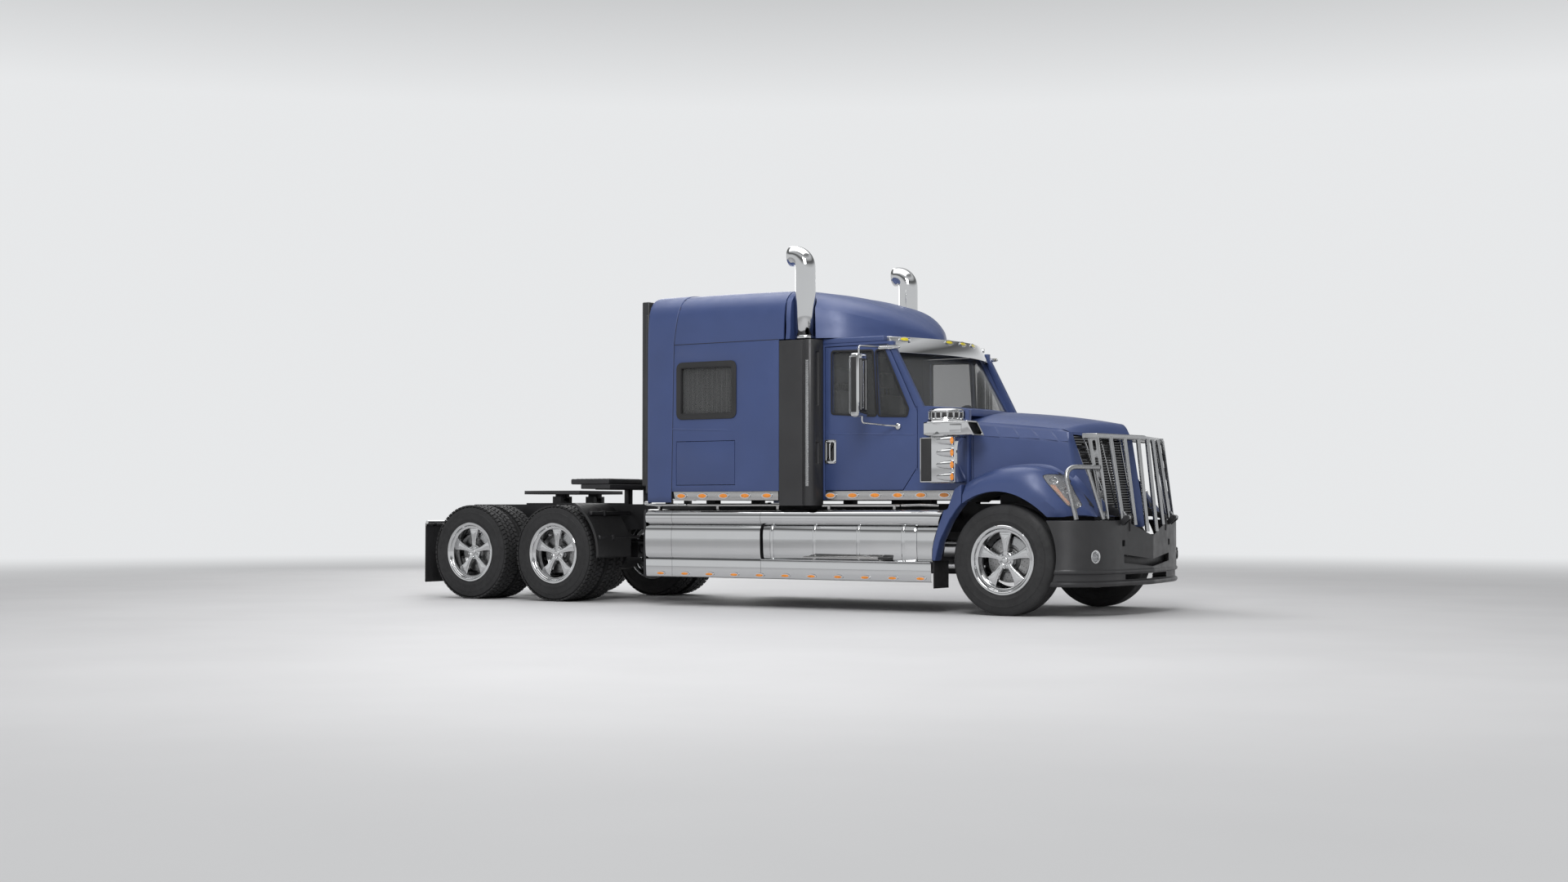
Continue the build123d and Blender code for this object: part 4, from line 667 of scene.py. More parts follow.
def left_tyre(name, blocky):
    """Tyre about the origin with its outer face at y = 0, for the left side."""
    crown = TYRE_R - TREAD_DEPTH if blocky else TYRE_R
    section = [(radius, -inward) for radius, inward in tyre_section(crown, () if blocky else RIB_GROOVES)]
    carcass = turned(name, section, (0, 0, 0), 96)
    return joined(name, [carcass, tread_lugs()]) if blocky else carcass


def tyres():
    """Ribbed tyres in front, block tread twins behind."""
    ribbed = left_tyre("ribbed_tyre", False)
    blocky = left_tyre("block_tyre", True)
    stations = (
        ("front", FRONT_AXLE_X, ribbed, 1), ("middle", MIDDLE_AXLE_X, blocky, 2), ("rear", REAR_AXLE_X, blocky, 2),
    )
    for hand, side in SIDES:
        for station, axle_x, pattern, count in stations:
            copies = []
            for row in range(count):
                place = moved(axle_x, TYRE_OUT - row * DUAL_PITCH, HUB_Z)
                if side < 0:
                    place = MIRRORED @ place
                copies.append(copied(pattern, f"tread_{row}", place))
            piece = joined(f"tread_tyre_{station}_{hand}", copies)
            dressed(piece, TYRE, f"tyre_{station}_{hand}", body=f"wheel_{station}_{hand}")
    for pattern in (ribbed, blocky):
        bpy.data.objects.remove(pattern)


# ---------------------------------------------------------------- wheels and brakes

SPOKES = 5
HUB_CAP = 0.054
DISC_IN = 0.150


def rim_section(width):
    """(radius, inward) outline of the stepped lip and barrel."""
    return [
        (0.331, 0.012), (0.330, 0.004), (0.325, 0.0), (0.314, 0.0), (0.303, 0.004), (0.297, 0.012), (0.294, 0.027),
        (0.289, 0.032), (0.275, 0.034), (0.269, 0.039), (0.266, 0.052), (0.259, 0.090), (0.254, 0.150),
        (0.254, width - 0.04), (0.285, width - 0.012), (0.318, width - 0.004), (0.330, width - 0.006),
        (0.330, width - 0.018), (0.292, width - 0.030), (0.288, width - 0.06), (0.288, 0.06), (0.292, 0.040),
        (0.305, 0.020),
    ]


def spoke_set():
    """Five flared spokes round the origin, set back from the lip."""
    half = [(0.026, 0.040), (0.024, 0.085), (0.030, 0.140), (0.044, 0.200), (0.058, 0.240), (0.066, 0.266)]
    outline = half + [(-x, z) for x, z in reversed(half)]
    arm = side_plate("spoke", outline, -0.070, -0.042, 0.009, 3)
    groove = half[1:5]
    recess = [(x - 0.016, z + 0.004) for x, z in groove]
    pad = side_plate("spoke_face", recess + [(-x, z) for x, z in reversed(recess)], -0.0665, -0.01, 0.003)
    valve = turned(
        "valve", [(AXIS_R, 0), (0.011, 0), (0.012, -0.004), (0.012, -0.010), (AXIS_R, -0.010)], (0, -0.0625, 0.205), 12,
    )
    arm = joined("spoke", [arm, pad])
    arms = [copied(arm, "spoke", Matrix.Rotation(index * 2 * pi / SPOKES, 4, "Y")) for index in range(SPOKES)]
    bpy.data.objects.remove(arm)
    return joined("spokes", arms + [valve])


def hub():
    """Hub with its stepped cap and five nuts."""
    core = turned(
        "hub",
        [
            (AXIS_R, -HUB_CAP), (0.018, -HUB_CAP), (0.026, -0.057), (0.031, -0.062), (0.033, -0.072), (0.046, -0.074),
            (0.050, -0.070), (0.070, -0.072), (0.080, -0.078), (0.086, -0.090), (0.088, -0.125), (0.070, -0.19),
            (AXIS_R, -0.19),
        ],
        (0, 0, 0), 40,
    )
    nut = turned(
        "nut", [(AXIS_R, -0.052), (0.008, -0.052), (0.010, -0.055), (0.010, -0.074), (AXIS_R, -0.074)], (0, 0, 0), 6,
    )
    nuts = []
    for index in range(SPOKES):
        turn = Matrix.Rotation((index + 0.5) * 2 * pi / SPOKES, 4, "Y")
        nuts.append(copied(nut, "nut", turn @ moved(z=0.058)))
    bpy.data.objects.remove(nut)
    return joined("hub", [core] + nuts)


def brake_disc():
    """Drilled disc behind the spokes."""
    return turned(
        "disc",
        [
            (0.085, -DISC_IN), (0.120, -DISC_IN + 0.012), (0.126, -DISC_IN), (0.212, -DISC_IN),
            (0.215, -DISC_IN - 0.002),
            (0.215, -DISC_IN - 0.030), (0.212, -DISC_IN - 0.032), (0.085, -DISC_IN - 0.032),
        ],
        (0, 0, 0), 64,
    )


def drillings():
    """Black dots where the holes are drilled in the disc: painted shade in place of the open holes."""
    hole = drum("hole", 0.0045, 0.0006, -0.002, (0, -DISC_IN, 0), 8)
    holes = []
    for ring, (radius, count) in enumerate(((0.142, 20), (0.167, 24), (0.194, 28))):
        for index in range(count):
            turn = Matrix.Rotation((index + ring / 3) * 2 * pi / count, 4, "Y")
            holes.append(copied(hole, "hole", turn @ moved(z=radius)))
    bpy.data.objects.remove(hole)
    return joined("holes", holes)


def caliper():
    """Brake caliper astride the disc, at the front top."""
    def arc(radius, start, end, steps=8):
        angles = [radians(start + (end - start) * step / steps) for step in range(steps + 1)]
        return [(radius * cos(angle), radius * sin(angle)) for angle in angles]

    cheek = arc(0.238, 18, 74) + arc(0.150, 74, 18)
    bridge = arc(0.240, 22, 70) + arc(0.221, 70, 22)
    outer = side_plate("caliper", cheek, -0.118, -0.024, 0.008, 3)
    inner = side_plate("caliper", cheek, -0.190, -0.020, 0.006)
    over = side_plate("caliper", bridge, -0.130, -0.070, 0.004)
    bolts = []
    for angle in (30, 62):
        bolts.append(
            turned(
                "bolt", [(AXIS_R, 0), (0.013, 0), (0.015, -0.003), (0.015, -0.012), (AXIS_R, -0.012)],
                (0.190 * cos(radians(angle)), -0.117, 0.190 * sin(radians(angle))), 12,
            )
        )
    return joined("caliper", [outer, inner, over] + bolts)


def wheels():
    """Chrome wheels with brakes, on every corner."""
    faces = joined("wheel_face", [spoke_set(), hub()])
    disc = brake_disc()
    holes = drillings()
    grip = caliper()
    stations = (("front", FRONT_AXLE_X, 1), ("middle", MIDDLE_AXLE_X, 2), ("rear", REAR_AXLE_X, 2))
    for station, axle_x, count in stations:
        width = count * TYRE_W + (count - 1) * (DUAL_PITCH - TYRE_W)
        rim = turned("rim", [(radius, -inward) for radius, inward in rim_section(width)], (0, 0, 0), 96)
        whole = joined("wheel_pattern", [rim, copied(faces, "face", Matrix.Identity(4))])
        for hand, side in SIDES:
            place = moved(axle_x, TYRE_OUT, HUB_Z)
            if side < 0:
                place = MIRRORED @ place
            body = f"wheel_{station}_{hand}"
            piece = copied(whole, f"chrome_wheel_{station}_{hand}", place)
            dressed(piece, WHEEL_CHROME, f"wheel_{station}_{hand}", body=body)
            dressed(copied(disc, f"brake_disc_{station}_{hand}", place), IRON, body=body)
            # black dots on the disc: painted shade of the drilled holes
            dressed(copied(holes, f"disc_holes_{station}_{hand}", place), BLACK, body=body)
            carrier = f"knuckle_{hand}" if station == "front" else "chassis"
            dressed(copied(grip, f"caliper_{station}_{hand}", place), BRUSHED, body=carrier, slot="steel_grey")
        bpy.data.objects.remove(whole)
    for pattern in (faces, disc, holes, grip):
        bpy.data.objects.remove(pattern)


# ---------------------------------------------------------------- lamps


def oval_lamp(name, length, height, proud):
    """Oval lens and its bezel about the origin, facing -Y."""
    lens = side_plate(name, oval(length, height), 0, -proud, 0.004, 3)
    ring = border(name + "_bezel", oval(length + 0.03, height + 0.02), 0.014, 0, -proud * 0.7, 0.002)
    return lens, ring


def lamp_row(name, places, y, length, height, proud, lens_finish, body="chassis", tilt=0.0):
    """A row of like lamps at (x, z) places on both flanks: lenses and bezels."""
    lens, ring = oval_lamp("lamp", length, height, proud)
    lenses, rings = [], []
    for x, z in places:
        place = moved(x, y, z) @ Matrix.Rotation(tilt, 4, "X")
        lenses.append(copied(lens, "lens", place))
        rings.append(copied(ring, "bezel", place))
    for pattern in (lens, ring):
        bpy.data.objects.remove(pattern)
    twinned(name + "_lenses", lenses, lens_finish, body=body)
    twinned(name + "_bezels", rings, CHROME, body=body)


def spread(first, last, count):
    """Evenly spaced values from first to last."""
    return [first + (last - first) * step / (count - 1) for step in range(count)]


STRIP_LAMP_Z = 1.142


def strips():
    """Stainless strips under the cab and sleeper with their oval amber lamps."""
    rows = (
        # name, x range from the axle, outer face, lamps
        ("sleeper_strip", -3.80, -2.495, BODY_HALF + 0.002, spread(-3.696, -2.629, 5)),
        ("cab_strip", -2.03, -0.56, CAB_HALF + 0.018, spread(-1.968, -0.678, 6)),
    )
    pieces = []
    for name, start, end, face, lamps in rows:
        outline = [(a(start) + 0.02, 1.097), (a(end), 1.097), (a(end), 1.184), (a(start), 1.184)]
        pieces.append(side_plate(name, outline, -face, 0.016, 0.0015))
        lip = [(a(start), 1.182), (a(end), 1.182), (a(end), 1.186), (a(start), 1.186)]
        pieces.append(side_plate(name, lip, -face - 0.001, 0.012, 0.001))
        lamp_row(name + "_lamp", [(a(x), STRIP_LAMP_Z) for x in lamps], -face, 0.098, 0.042, 0.014, AMBER)
    twinned("stainless_strips", pieces, STRIP, "light_strips")


# ---------------------------------------------------------------- skirts and tanks

SKIRT_REAR = -4.167
SEAMS = (-3.827, -2.715)
TANK_END = -0.910
SKIRT_ROLL = [
    # (out, z) of the upper roll from the inner ledge to the groove
    (1.075, 1.003), (1.130, 1.005), (1.168, 0.998), (1.196, 0.982), (1.214, 0.957), (1.221, 0.928), (1.219, 0.898),
    (1.210, 0.872), (1.194, 0.852), (1.180, 0.846),
]
SKIRT_PANEL = [
    (1.180, 0.842), (1.196, 0.836), (1.210, 0.818), (1.218, 0.790), (1.222, 0.755), (1.222, 0.700), (1.220, 0.620),
    (1.216, 0.555), (1.208, 0.515), (1.190, 0.494),
]
SKIRT_LOWER = [
    (1.190, 0.490), (1.206, 0.486), (1.209, 0.478), (1.207, 0.400), (1.205, 0.320), (1.201, 0.306), (1.186, 0.300),
]
STRIP_EDGE = [(-0.576, 1.005), (-0.618, 0.996), (-0.684, 0.825), (-0.736, 0.654), (-0.748, 0.515), (-0.748, 0.290)]


def skirt_front(z):
    """X where the skirt ends against the fender extension at height z."""
    for (x1, z1), (x2, z2) in zip(STRIP_EDGE, STRIP_EDGE[1:]):
        if z2 <= z <= z1:
            return a(x1 + (x2 - x1) * (z1 - z) / (z1 - z2)) - 0.006
    return a(STRIP_EDGE[0][0]) - 0.006


def skirt_band(name, section, start, end, slant):
    """One polished stretch of a skirt section between two stations; its front end may slant."""
    rows = []
    for out, z in section:
        stop = skirt_front(z) if slant else end
        rows.append([(start + (stop - start) * step / 12, -out, z) for step in range(13)])
    return sheet_of(name, rows, -0.003, 50)


def skirts():
    """Polished skirts with their roll, panel, ledge and lamps."""
    cuts = [a(SKIRT_REAR)] + [a(seam) for seam in SEAMS] + [a(-0.6)]
    pieces = []
    for index, (start, stop) in enumerate(zip(cuts, cuts[1:])):
        last = index == len(cuts) - 2
        gap = 0.0 if last else 0.003
        for section in (SKIRT_ROLL, SKIRT_LOWER):
            pieces.append(skirt_band("skirt", section, start, stop - gap, last))
        if not last:
            pieces.append(skirt_band("skirt", SKIRT_PANEL, start, stop - gap, False))
    recess = [(out - 0.022, z) for out, z in SKIRT_PANEL]
    pieces.append(skirt_band("skirt", recess, a(TANK_END), a(-0.6), True))
    ledge = [(a(SEAMS[1]), 0.488), (a(-0.76), 0.488), (a(-0.76), 0.500), (a(SEAMS[1]), 0.500)]
    pieces.append(side_plate("skirt", ledge, -1.214, 0.05, 0.004))
    twinned("polished_skirts", pieces, CHROME)
    backs = [block("skirt_end", (a(SKIRT_REAR) - 0.016, -1.212, 0.305), (a(SKIRT_REAR) - 0.001, -0.76, 1.0), 0.004)]
    backs.append(block(
        "skirt_end", (a(SKIRT_REAR) - 0.030, -1.216, 0.31), (a(SKIRT_REAR) - 0.001, -1.150, 0.99), 0.012, 3,
    ))
    for x in (-4.14, -3.48, -2.86, -0.88):
        backs.append(block("skirt_rib", (a(x), -1.19, 0.905), (a(x) + 0.06, -0.43, 0.985), 0.006))
    behind = [(a(-4.16), 0.31), (a(-0.80), 0.31), (a(-0.80), 0.90), (a(-4.16), 0.90)]
    backs.append(side_plate("skirt_back", behind, -1.168, 0.004, 0))
    twinned("skirt_frames", backs, BLACK, "side_skirts")
    lamps = [(a(x), 0.335) for x in spread(-3.974, -0.866, 11)]
    lamp_row("skirt_lamp", lamps, -1.2065, 0.088, 0.026, 0.010, AMBER)


TANK_BANDS = (-2.582, -2.073, -1.565, -1.058)


def tanks():
    """Polished tanks between the skirt panels, with bands, caps and steps."""
    start, end = a(SEAMS[1]) + 0.006, a(TANK_END) - 0.004
    shell = [(out - 0.007, z) for out, z in SKIRT_PANEL]
    section = [(0.66, 0.83), (0.90, 0.845)] + shell + [(1.10, 0.42), (0.90, 0.37), (0.68, 0.42), (0.61, 0.62)]
    closed = section + section[:1]
    ends = (0.0, 0.008, 0.03)
    stations = [(start + lift, 0.03 - lift) for lift in ends] + [(end - lift, 0.03 - lift) for lift in reversed(ends)]
    centre = Vector((0.90, 0.62))
    rows = []
    for x, inset in stations:
        ring = []
        for out, z in closed:
            way = (Vector((out, z)) - centre).normalized() * inset * 0.6
            ring.append((x, -(out - way.x), z - way.y))
        rows.append(ring)
    body = sheet_of("tank", rows, 0, 40)
    only(body)
    bpy.ops.object.mode_set(mode="EDIT")
    bpy.ops.mesh.select_all(action="DESELECT")
    bpy.ops.mesh.select_non_manifold()
    bpy.ops.mesh.fill_holes(sides=0)
    bpy.ops.object.mode_set(mode="OBJECT")
    cleaned(body)
    bands = []
    for x in TANK_BANDS:
        across = [(-0.020, -0.002), (-0.014, 0.007), (-0.005, 0.011), (0.005, 0.011), (0.014, 0.007), (0.020, -0.002)]
        rows = []
        for dx, lift in across:
            ring = []
            for out, z in closed[1:-3]:
                way = (Vector((out, z)) - centre).normalized() * lift
                ring.append((a(x) + dx, -(out + way.x), z + way.y))
            rows.append(ring)
        bands.append(sheet_of("band", rows, 0.002, 50))
    twinned("polished_tanks", [body] + bands, CHROME, "fuel_tanks")
    tread = [block("step", (a(-2.152), -1.300, 0.518), (a(-1.29), -1.16, 0.536), 0.005, 2)]
    for row in range(5):
        y = -1.292 + row * 0.026
        tread.append(block("step_rib", (a(-2.14), y, 0.535), (a(-1.30), y + 0.010, 0.5395), 0.0015, 1))
    for x in (-2.10, -1.34):
        tread.append(block("step_arm", (a(x), -1.20, 0.47), (a(x) + 0.03, -0.90, 0.518), 0.004))
    twinned("step_treads", tread, STRIP)
    cap = block("step_end", (a(-1.29), -1.300, 0.514), (a(-1.173), -1.16, 0.540), 0.009, 3)
    twinned("step_ends", [cap], PLASTIC)
    holders = [
        block("tank_hanger", (a(x) - 0.022, -0.70, 0.79), (a(x) + 0.022, -0.43, 0.87), 0.004)
        for x in TANK_BANDS
    ]
    twinned("tank_hangers", holders, BLACK)


def running_rails():
    """Tube, plate and pipes that show between the cab and the skirts."""
    tube = rod("rail_tube", [(a(-4.08), -1.150, 1.048), (a(-2.52), -1.150, 1.048)], 0.017)
    plate_top = block("rail_plate", (a(-2.02), -1.150, 1.030), (a(-1.13), -0.99, 1.052), 0.004)
    feet = [
        block("rail_foot", (a(x), -1.160, 1.004), (a(x) + 0.03, -1.12, 1.05), 0.003)
        for x in (-4.05, -3.3, -2.56, -1.95, -1.2)
    ]
    pipe = rod("rail_pipe", [(a(-1.12), -1.13, 1.040), (a(-0.92), -1.13, 1.045), (a(-0.72), -1.10, 1.040)], 0.013, 0.05)
    twinned("running_rails", [tube, plate_top, pipe] + feet, STRIP)
    sill = side_plate(
        "rear_sill",
        eased(
            [(a(-4.14), 1.165), (a(-4.10), 1.100), (a(-3.55), 1.092), (a(-3.55), 1.108), (a(-3.95), 1.118)], 0.015, 3,
        ),
        -BODY_HALF + 0.010, 0.05, 0.004,
    )
    twinned("rear_sills", [sill], CHROME)


# ---------------------------------------------------------------- hood, fenders and nose

HOOD_TAIL = -0.415
HOOD_FOOT = 0.932
BROW_Z = 1.738
NOSE_X = 0.785
NOSE_Z = 1.700
NOSE_LEAN = 0.163
NOSE_SWEEP = 0.405
NOSE_CORNER = 0.722
GRILLE_EDGE = [
    # z, outer edge, inner edge of the opening, from the foot up
    (0.935, 0.300, 0.088), (1.06, 0.425, 0.085), (1.18, 0.520, 0.083), (1.30, 0.585, 0.081), (1.45, 0.632, 0.079),
    (1.60, 0.668, 0.077), (1.665, 0.684, 0.076), (1.715, 0.690, 0.300),
]


def between(table, z, column):
    """Value of a column of a rising table at height z."""
    if z <= table[0][0]:
        return table[0][column]
    for low, high in zip(table, table[1:]):
        if z <= high[0]:
            return low[column] + (high[column] - low[column]) * (z - low[0]) / (high[0] - low[0])
    return table[-1][column]


def nose_at(out, z, back=0.0):
    """Place on the right half of the vee nose at a distance out from the centreline."""
    return Vector((a(NOSE_X + NOSE_LEAN * (NOSE_Z - z) - NOSE_SWEEP * out - back), -out, z))


def nose_front(out):
    """X from the axle of the brow over the nose at a distance out from the centreline."""
    return NOSE_X + NOSE_LEAN * (NOSE_Z - BROW_Z) - NOSE_SWEEP * out


def shoulder_out(x):
    """Distance of the hood's shoulder from the centreline."""
    return 0.935 - 0.2333 * (x - HOOD_TAIL)


def side_of_hood(x, z):
    """Distance of the hood's flank from the centreline at x and height z."""
    drop = min(1.0, max(0.0, (1.795 - 0.1 * x - z) / 0.11))
    return shoulder_out(x) + 0.030 * drop ** 0.7


def crown_height(x, out):
    """Height of the hood's top skin, rolling down to the brow at its front."""
    share = min(1.0, (x - HOOD_TAIL) / 1.2)
    top = 1.972 - 0.086 * share - 0.072 * share ** 2.4
    low = 1.850 - 0.098 * share - 0.030 * share ** 2
    z = low + (top - low) * (1 - min(1.0, out / shoulder_out(x)) ** 2.3)
    roll = max(0.0, 1 - (nose_front(out) - x) / 0.085)
    return z - (z - BROW_Z) * roll ** 2.6


def crown():
    """Top skin: a crowned sheet from the cowl to the nose's brow."""
    rows = []
    for step in range(34):
        along = 1 - (1 - step / 33) ** 1.4
        row = []
        for column in range(-15, 16):
            across = column / 15
            x = HOOD_TAIL
            for _ in range(6):
                x = HOOD_TAIL + (nose_front(abs(across) * shoulder_out(x)) - HOOD_TAIL) * along
            out = abs(across) * shoulder_out(x)
            row.append((a(x), -out if across < 0 else out, crown_height(x, out)))
        rows.append(row)
    return sheet_of("hood_crown", rows, -0.004, 40)


FLANK_HEIGHTS = (HOOD_FOOT + 0.004, 1.0, 1.08, 1.16, 1.25, 1.34, 1.44, 1.54)
NOSE_HEIGHTS = (1.60, 1.645, 1.685, 1.715, BROW_Z)


def flank_height(x, row):
    """Height of a row of the flank: level below, following the vent and the shoulder above."""
    if row < len(FLANK_HEIGHTS):
        return FLANK_HEIGHTS[row]
    place = row - len(FLANK_HEIGHTS)
    vent_low, vent_top = 1.684 - 0.066 * x, 1.794 - 0.082 * x
    side = (vent_low - 0.025, vent_low, (vent_low + vent_top) / 2, vent_top, crown_height(x, shoulder_out(x)))[place]
    share = min(1.0, max(0.0, (x - 0.40) / 0.08))
    return side + (NOSE_HEIGHTS[place] - side) * share


def flank():
    """Right flank of the hood and its nose frame round the outer edge of the grille."""
    rows = []
    for index in range(len(FLANK_HEIGHTS) + len(NOSE_HEIGHTS)):
        level = (FLANK_HEIGHTS + NOSE_HEIGHTS)[index]
        corner = 0.014 + 0.17 * max(0.0, (1.30 - level) / 0.37) ** 1.2 + (0.02 if level < 1.65 else 0)
        turn = nose_at(NOSE_CORNER, level).x - FRONT_AXLE_X
        row = []
        for x in spread(HOOD_TAIL, turn - corner, 24):
            z = flank_height(x, index)
            row.append((a(x), -side_of_hood(x, z), z))
        first = Vector(row[-1])
        apex = Vector((a(turn), -side_of_hood(turn, level), level))
        outer = between(GRILLE_EDGE, level, 1)
        last = nose_at(max(outer + 0.012, NOSE_CORNER - corner * 1.2), level)
        for t in spread(1 / 7, 1.0, 7):
            row.append(tuple((1 - t) ** 2 * first + 2 * t * (1 - t) * apex + t * t * last))
        row += [
            tuple(nose_at(outer + grow, level, back))
            for grow, back in ((0.004, 0), (0, 0), (-0.004, 0.006), (-0.006, 0.035))
        ]
        rows.append(row)
    return sheet_of("hood_flank", rows, 0.004, 35)


def brow_piece():
    """Frame over the grille, from its upper edge to the crown's front edge."""
    columns = spread(0.692, 0.0, 16)
    rows = []
    for lift in (0.0, 0.35, 1.0):
        row = []
        for out in columns:
            low = 1.665 + 0.05 * min(1.0, max(0.0, (out - 0.076) / 0.6))
            z = low + (BROW_Z - low) * lift
            row.append(tuple(nose_at(out, z, -0.002)))
        rows.append(row)
    rows.insert(0, [tuple(Vector(place) + Vector((-0.030, 0, 0.002))) for place in rows[0]])
    return sheet_of("brow", rows, 0.003, 35)


def ridge():
    """Right half of the blue ridge down the middle of the nose."""
    section = [(0.090, 0.045), (0.086, 0.010), (0.070, -0.006), (0.040, -0.014), (0.0, -0.022)]
    rows = []
    for z in (0.836, 0.87, 0.93, 1.05, 1.2, 1.35, 1.5, 1.6, 1.66, 1.70):
        narrow = 0.35 + 0.65 * min(1.0, (z - 0.83) / 0.12) if z < 0.95 else 1.0
        lift = 0.0 if z > 0.87 else (0.87 - z) * 0.6
        rows.append([tuple(nose_at(out * narrow, z, back + lift)) for out, back in section])
    return sheet_of("nose_ridge", rows, 0.003, 50)


FENDER_ROOT = [
    (-0.413, 0.966, 1.262), (-0.335, 0.946, 1.305), (-0.215, 0.917, 1.350), (-0.047, 0.878, 1.392),
    (0.16, 0.831, 1.405),
    (0.324, 0.792, 1.385), (0.45, 0.760, 1.320), (0.575, 0.735, 1.215), (0.665, 0.690, 1.090), (0.735, 0.640, 0.932),
]
FENDER_SHOULDER = [
    (-0.413, 1.120, 1.247), (-0.335, 1.120, 1.295), (-0.215, 1.120, 1.344), (-0.047, 1.120, 1.389),
    (0.16, 1.120, 1.400),
    (0.324, 1.100, 1.376), (0.45, 1.050, 1.290), (0.59, 0.965, 1.143), (0.720, 0.885, 1.014), (0.800, 0.815, 0.932),
]
FENDER_CREASE = [
    (-0.413, 1.207, 1.130), (-0.320, 1.209, 1.178), (-0.211, 1.210, 1.211), (-0.03, 1.210, 1.236), (0.13, 1.209, 1.230),
    (0.27, 1.205, 1.192), (0.366, 1.192, 1.143), (0.46, 1.160, 1.063), (0.53, 1.120, 0.995), (0.575, 1.080, 0.932),
]
ARCH_CENTRE = (-0.06, 0.56)
ARCH_R = 0.613
ARCH_TURN = (125.3, 37.4)
FENDER_COLUMNS = 44


def fender_rows(inward=0.0):
    """Rows of places over the right fender, from the hood's flank to the arch."""
    root = flowing(FENDER_ROOT, FENDER_COLUMNS)
    shoulder = flowing(FENDER_SHOULDER, FENDER_COLUMNS)
    crease = flowing(FENDER_CREASE, FENDER_COLUMNS)
    rows = []

    def row_of(places):
        rows.append([(a(x), -(out - inward), z) for x, out, z in places])

    row_of([(p.x, p.y - 0.012, min(p.z + 0.085, 1.5)) for p in root])
    row_of([(p.x, p.y - 0.001, p.z + 0.035) for p in root])
    row_of([(p.x, p.y + 0.022, p.z + 0.004) for p in root])
    for t, rise in ((0.35, 0.013), (0.7, 0.012), (1.0, 0.0)):
        row_of([p.lerp(q, t) + Vector((0.004 * rise / 0.013, 0, rise)) for p, q in zip(root, shoulder)])
    for t in (0.18, 0.36, 0.55, 0.75, 1.0):
        bulge = 4 * t * (1 - t)
        row_of([p.lerp(q, t) + Vector((0.012 * bulge, 0.014 * bulge, 0.018 * bulge)) for p, q in zip(shoulder, crease)])
    arch = []
    for step in range(FENDER_COLUMNS):
        turn = radians(ARCH_TURN[0] + (ARCH_TURN[1] - ARCH_TURN[0]) * step / (FENDER_COLUMNS - 1))
        out = 1.209 - 0.09 * max(0.0, (step / (FENDER_COLUMNS - 1) - 0.7) / 0.3) ** 1.5
        arch.append(Vector((ARCH_CENTRE[0] + ARCH_R * cos(turn), out, ARCH_CENTRE[1] + ARCH_R * sin(turn))))
    row_of([p.lerp(q, 0.5) + Vector((0, -0.003, 0)) for p, q in zip(crease, arch)])
    row_of(arch)
    row_of([p + Vector((0, -0.012, 0.0)) for p in arch])
    row_of([Vector((p.x, p.y - 0.085, p.z + 0.003)) for p in arch])
    return rows


LAMP_OUTLINE = [
    (0.372, 1.322), (0.420, 1.336), (0.468, 1.328), (0.560, 1.225), (0.640, 1.115), (0.694, 1.040), (0.668, 0.998),
    (0.600, 1.040), (0.500, 1.160), (0.420, 1.255),
]


def lamp_prism(by):
    """Long prism through the right headlamp, grown by a distance."""
    outline = eased(grown([(a(x), z) for x, z in LAMP_OUTLINE], by), 0.02, 3)
    return side_plate("lamp_prism", outline, -1.30, 0.62, 0)


def kept_within(piece, prism):
    """The part of a piece inside a prism."""
    changed(piece, "BOOLEAN", operation="INTERSECT", object=prism, solver="EXACT")
    bpy.data.objects.remove(prism)
    return piece


def louvres():
    """Five slanted panels of the vent behind the nose, on the right flank."""
    tops = [(-0.405, 1.818), (-0.215, 1.800), (-0.035, 1.781), (0.135, 1.766), (0.31, 1.752), (0.465, 1.742)]
    lows = [(-0.360, 1.712), (-0.155, 1.700), (0.032, 1.689), (0.222, 1.676), (0.395, 1.655), (0.490, 1.648)]
    panels = []
    for index in range(5):
        gap = 0.006
        corners = []
        for (x1, z1), (x2, z2) in ((tops[index], tops[index + 1]), (lows[index], lows[index + 1])):
            row = []
            for step in range(7):
                t = step / 6
                x = x1 + gap + (x2 - x1 - 2 * gap) * t
                z = z1 + (z2 - z1) * t
                row.append((a(x), -side_of_hood(x, z) - 0.0015 - 0.0095 * t, z))
            corners.append(row)
        middle_row = [tuple(Vector(top).lerp(Vector(low), 0.5)) for top, low in zip(*corners)]
        panels.append(sheet_of("louvre", [corners[0], middle_row, corners[1]], -0.004, 30))
    return joined("louvres", panels)


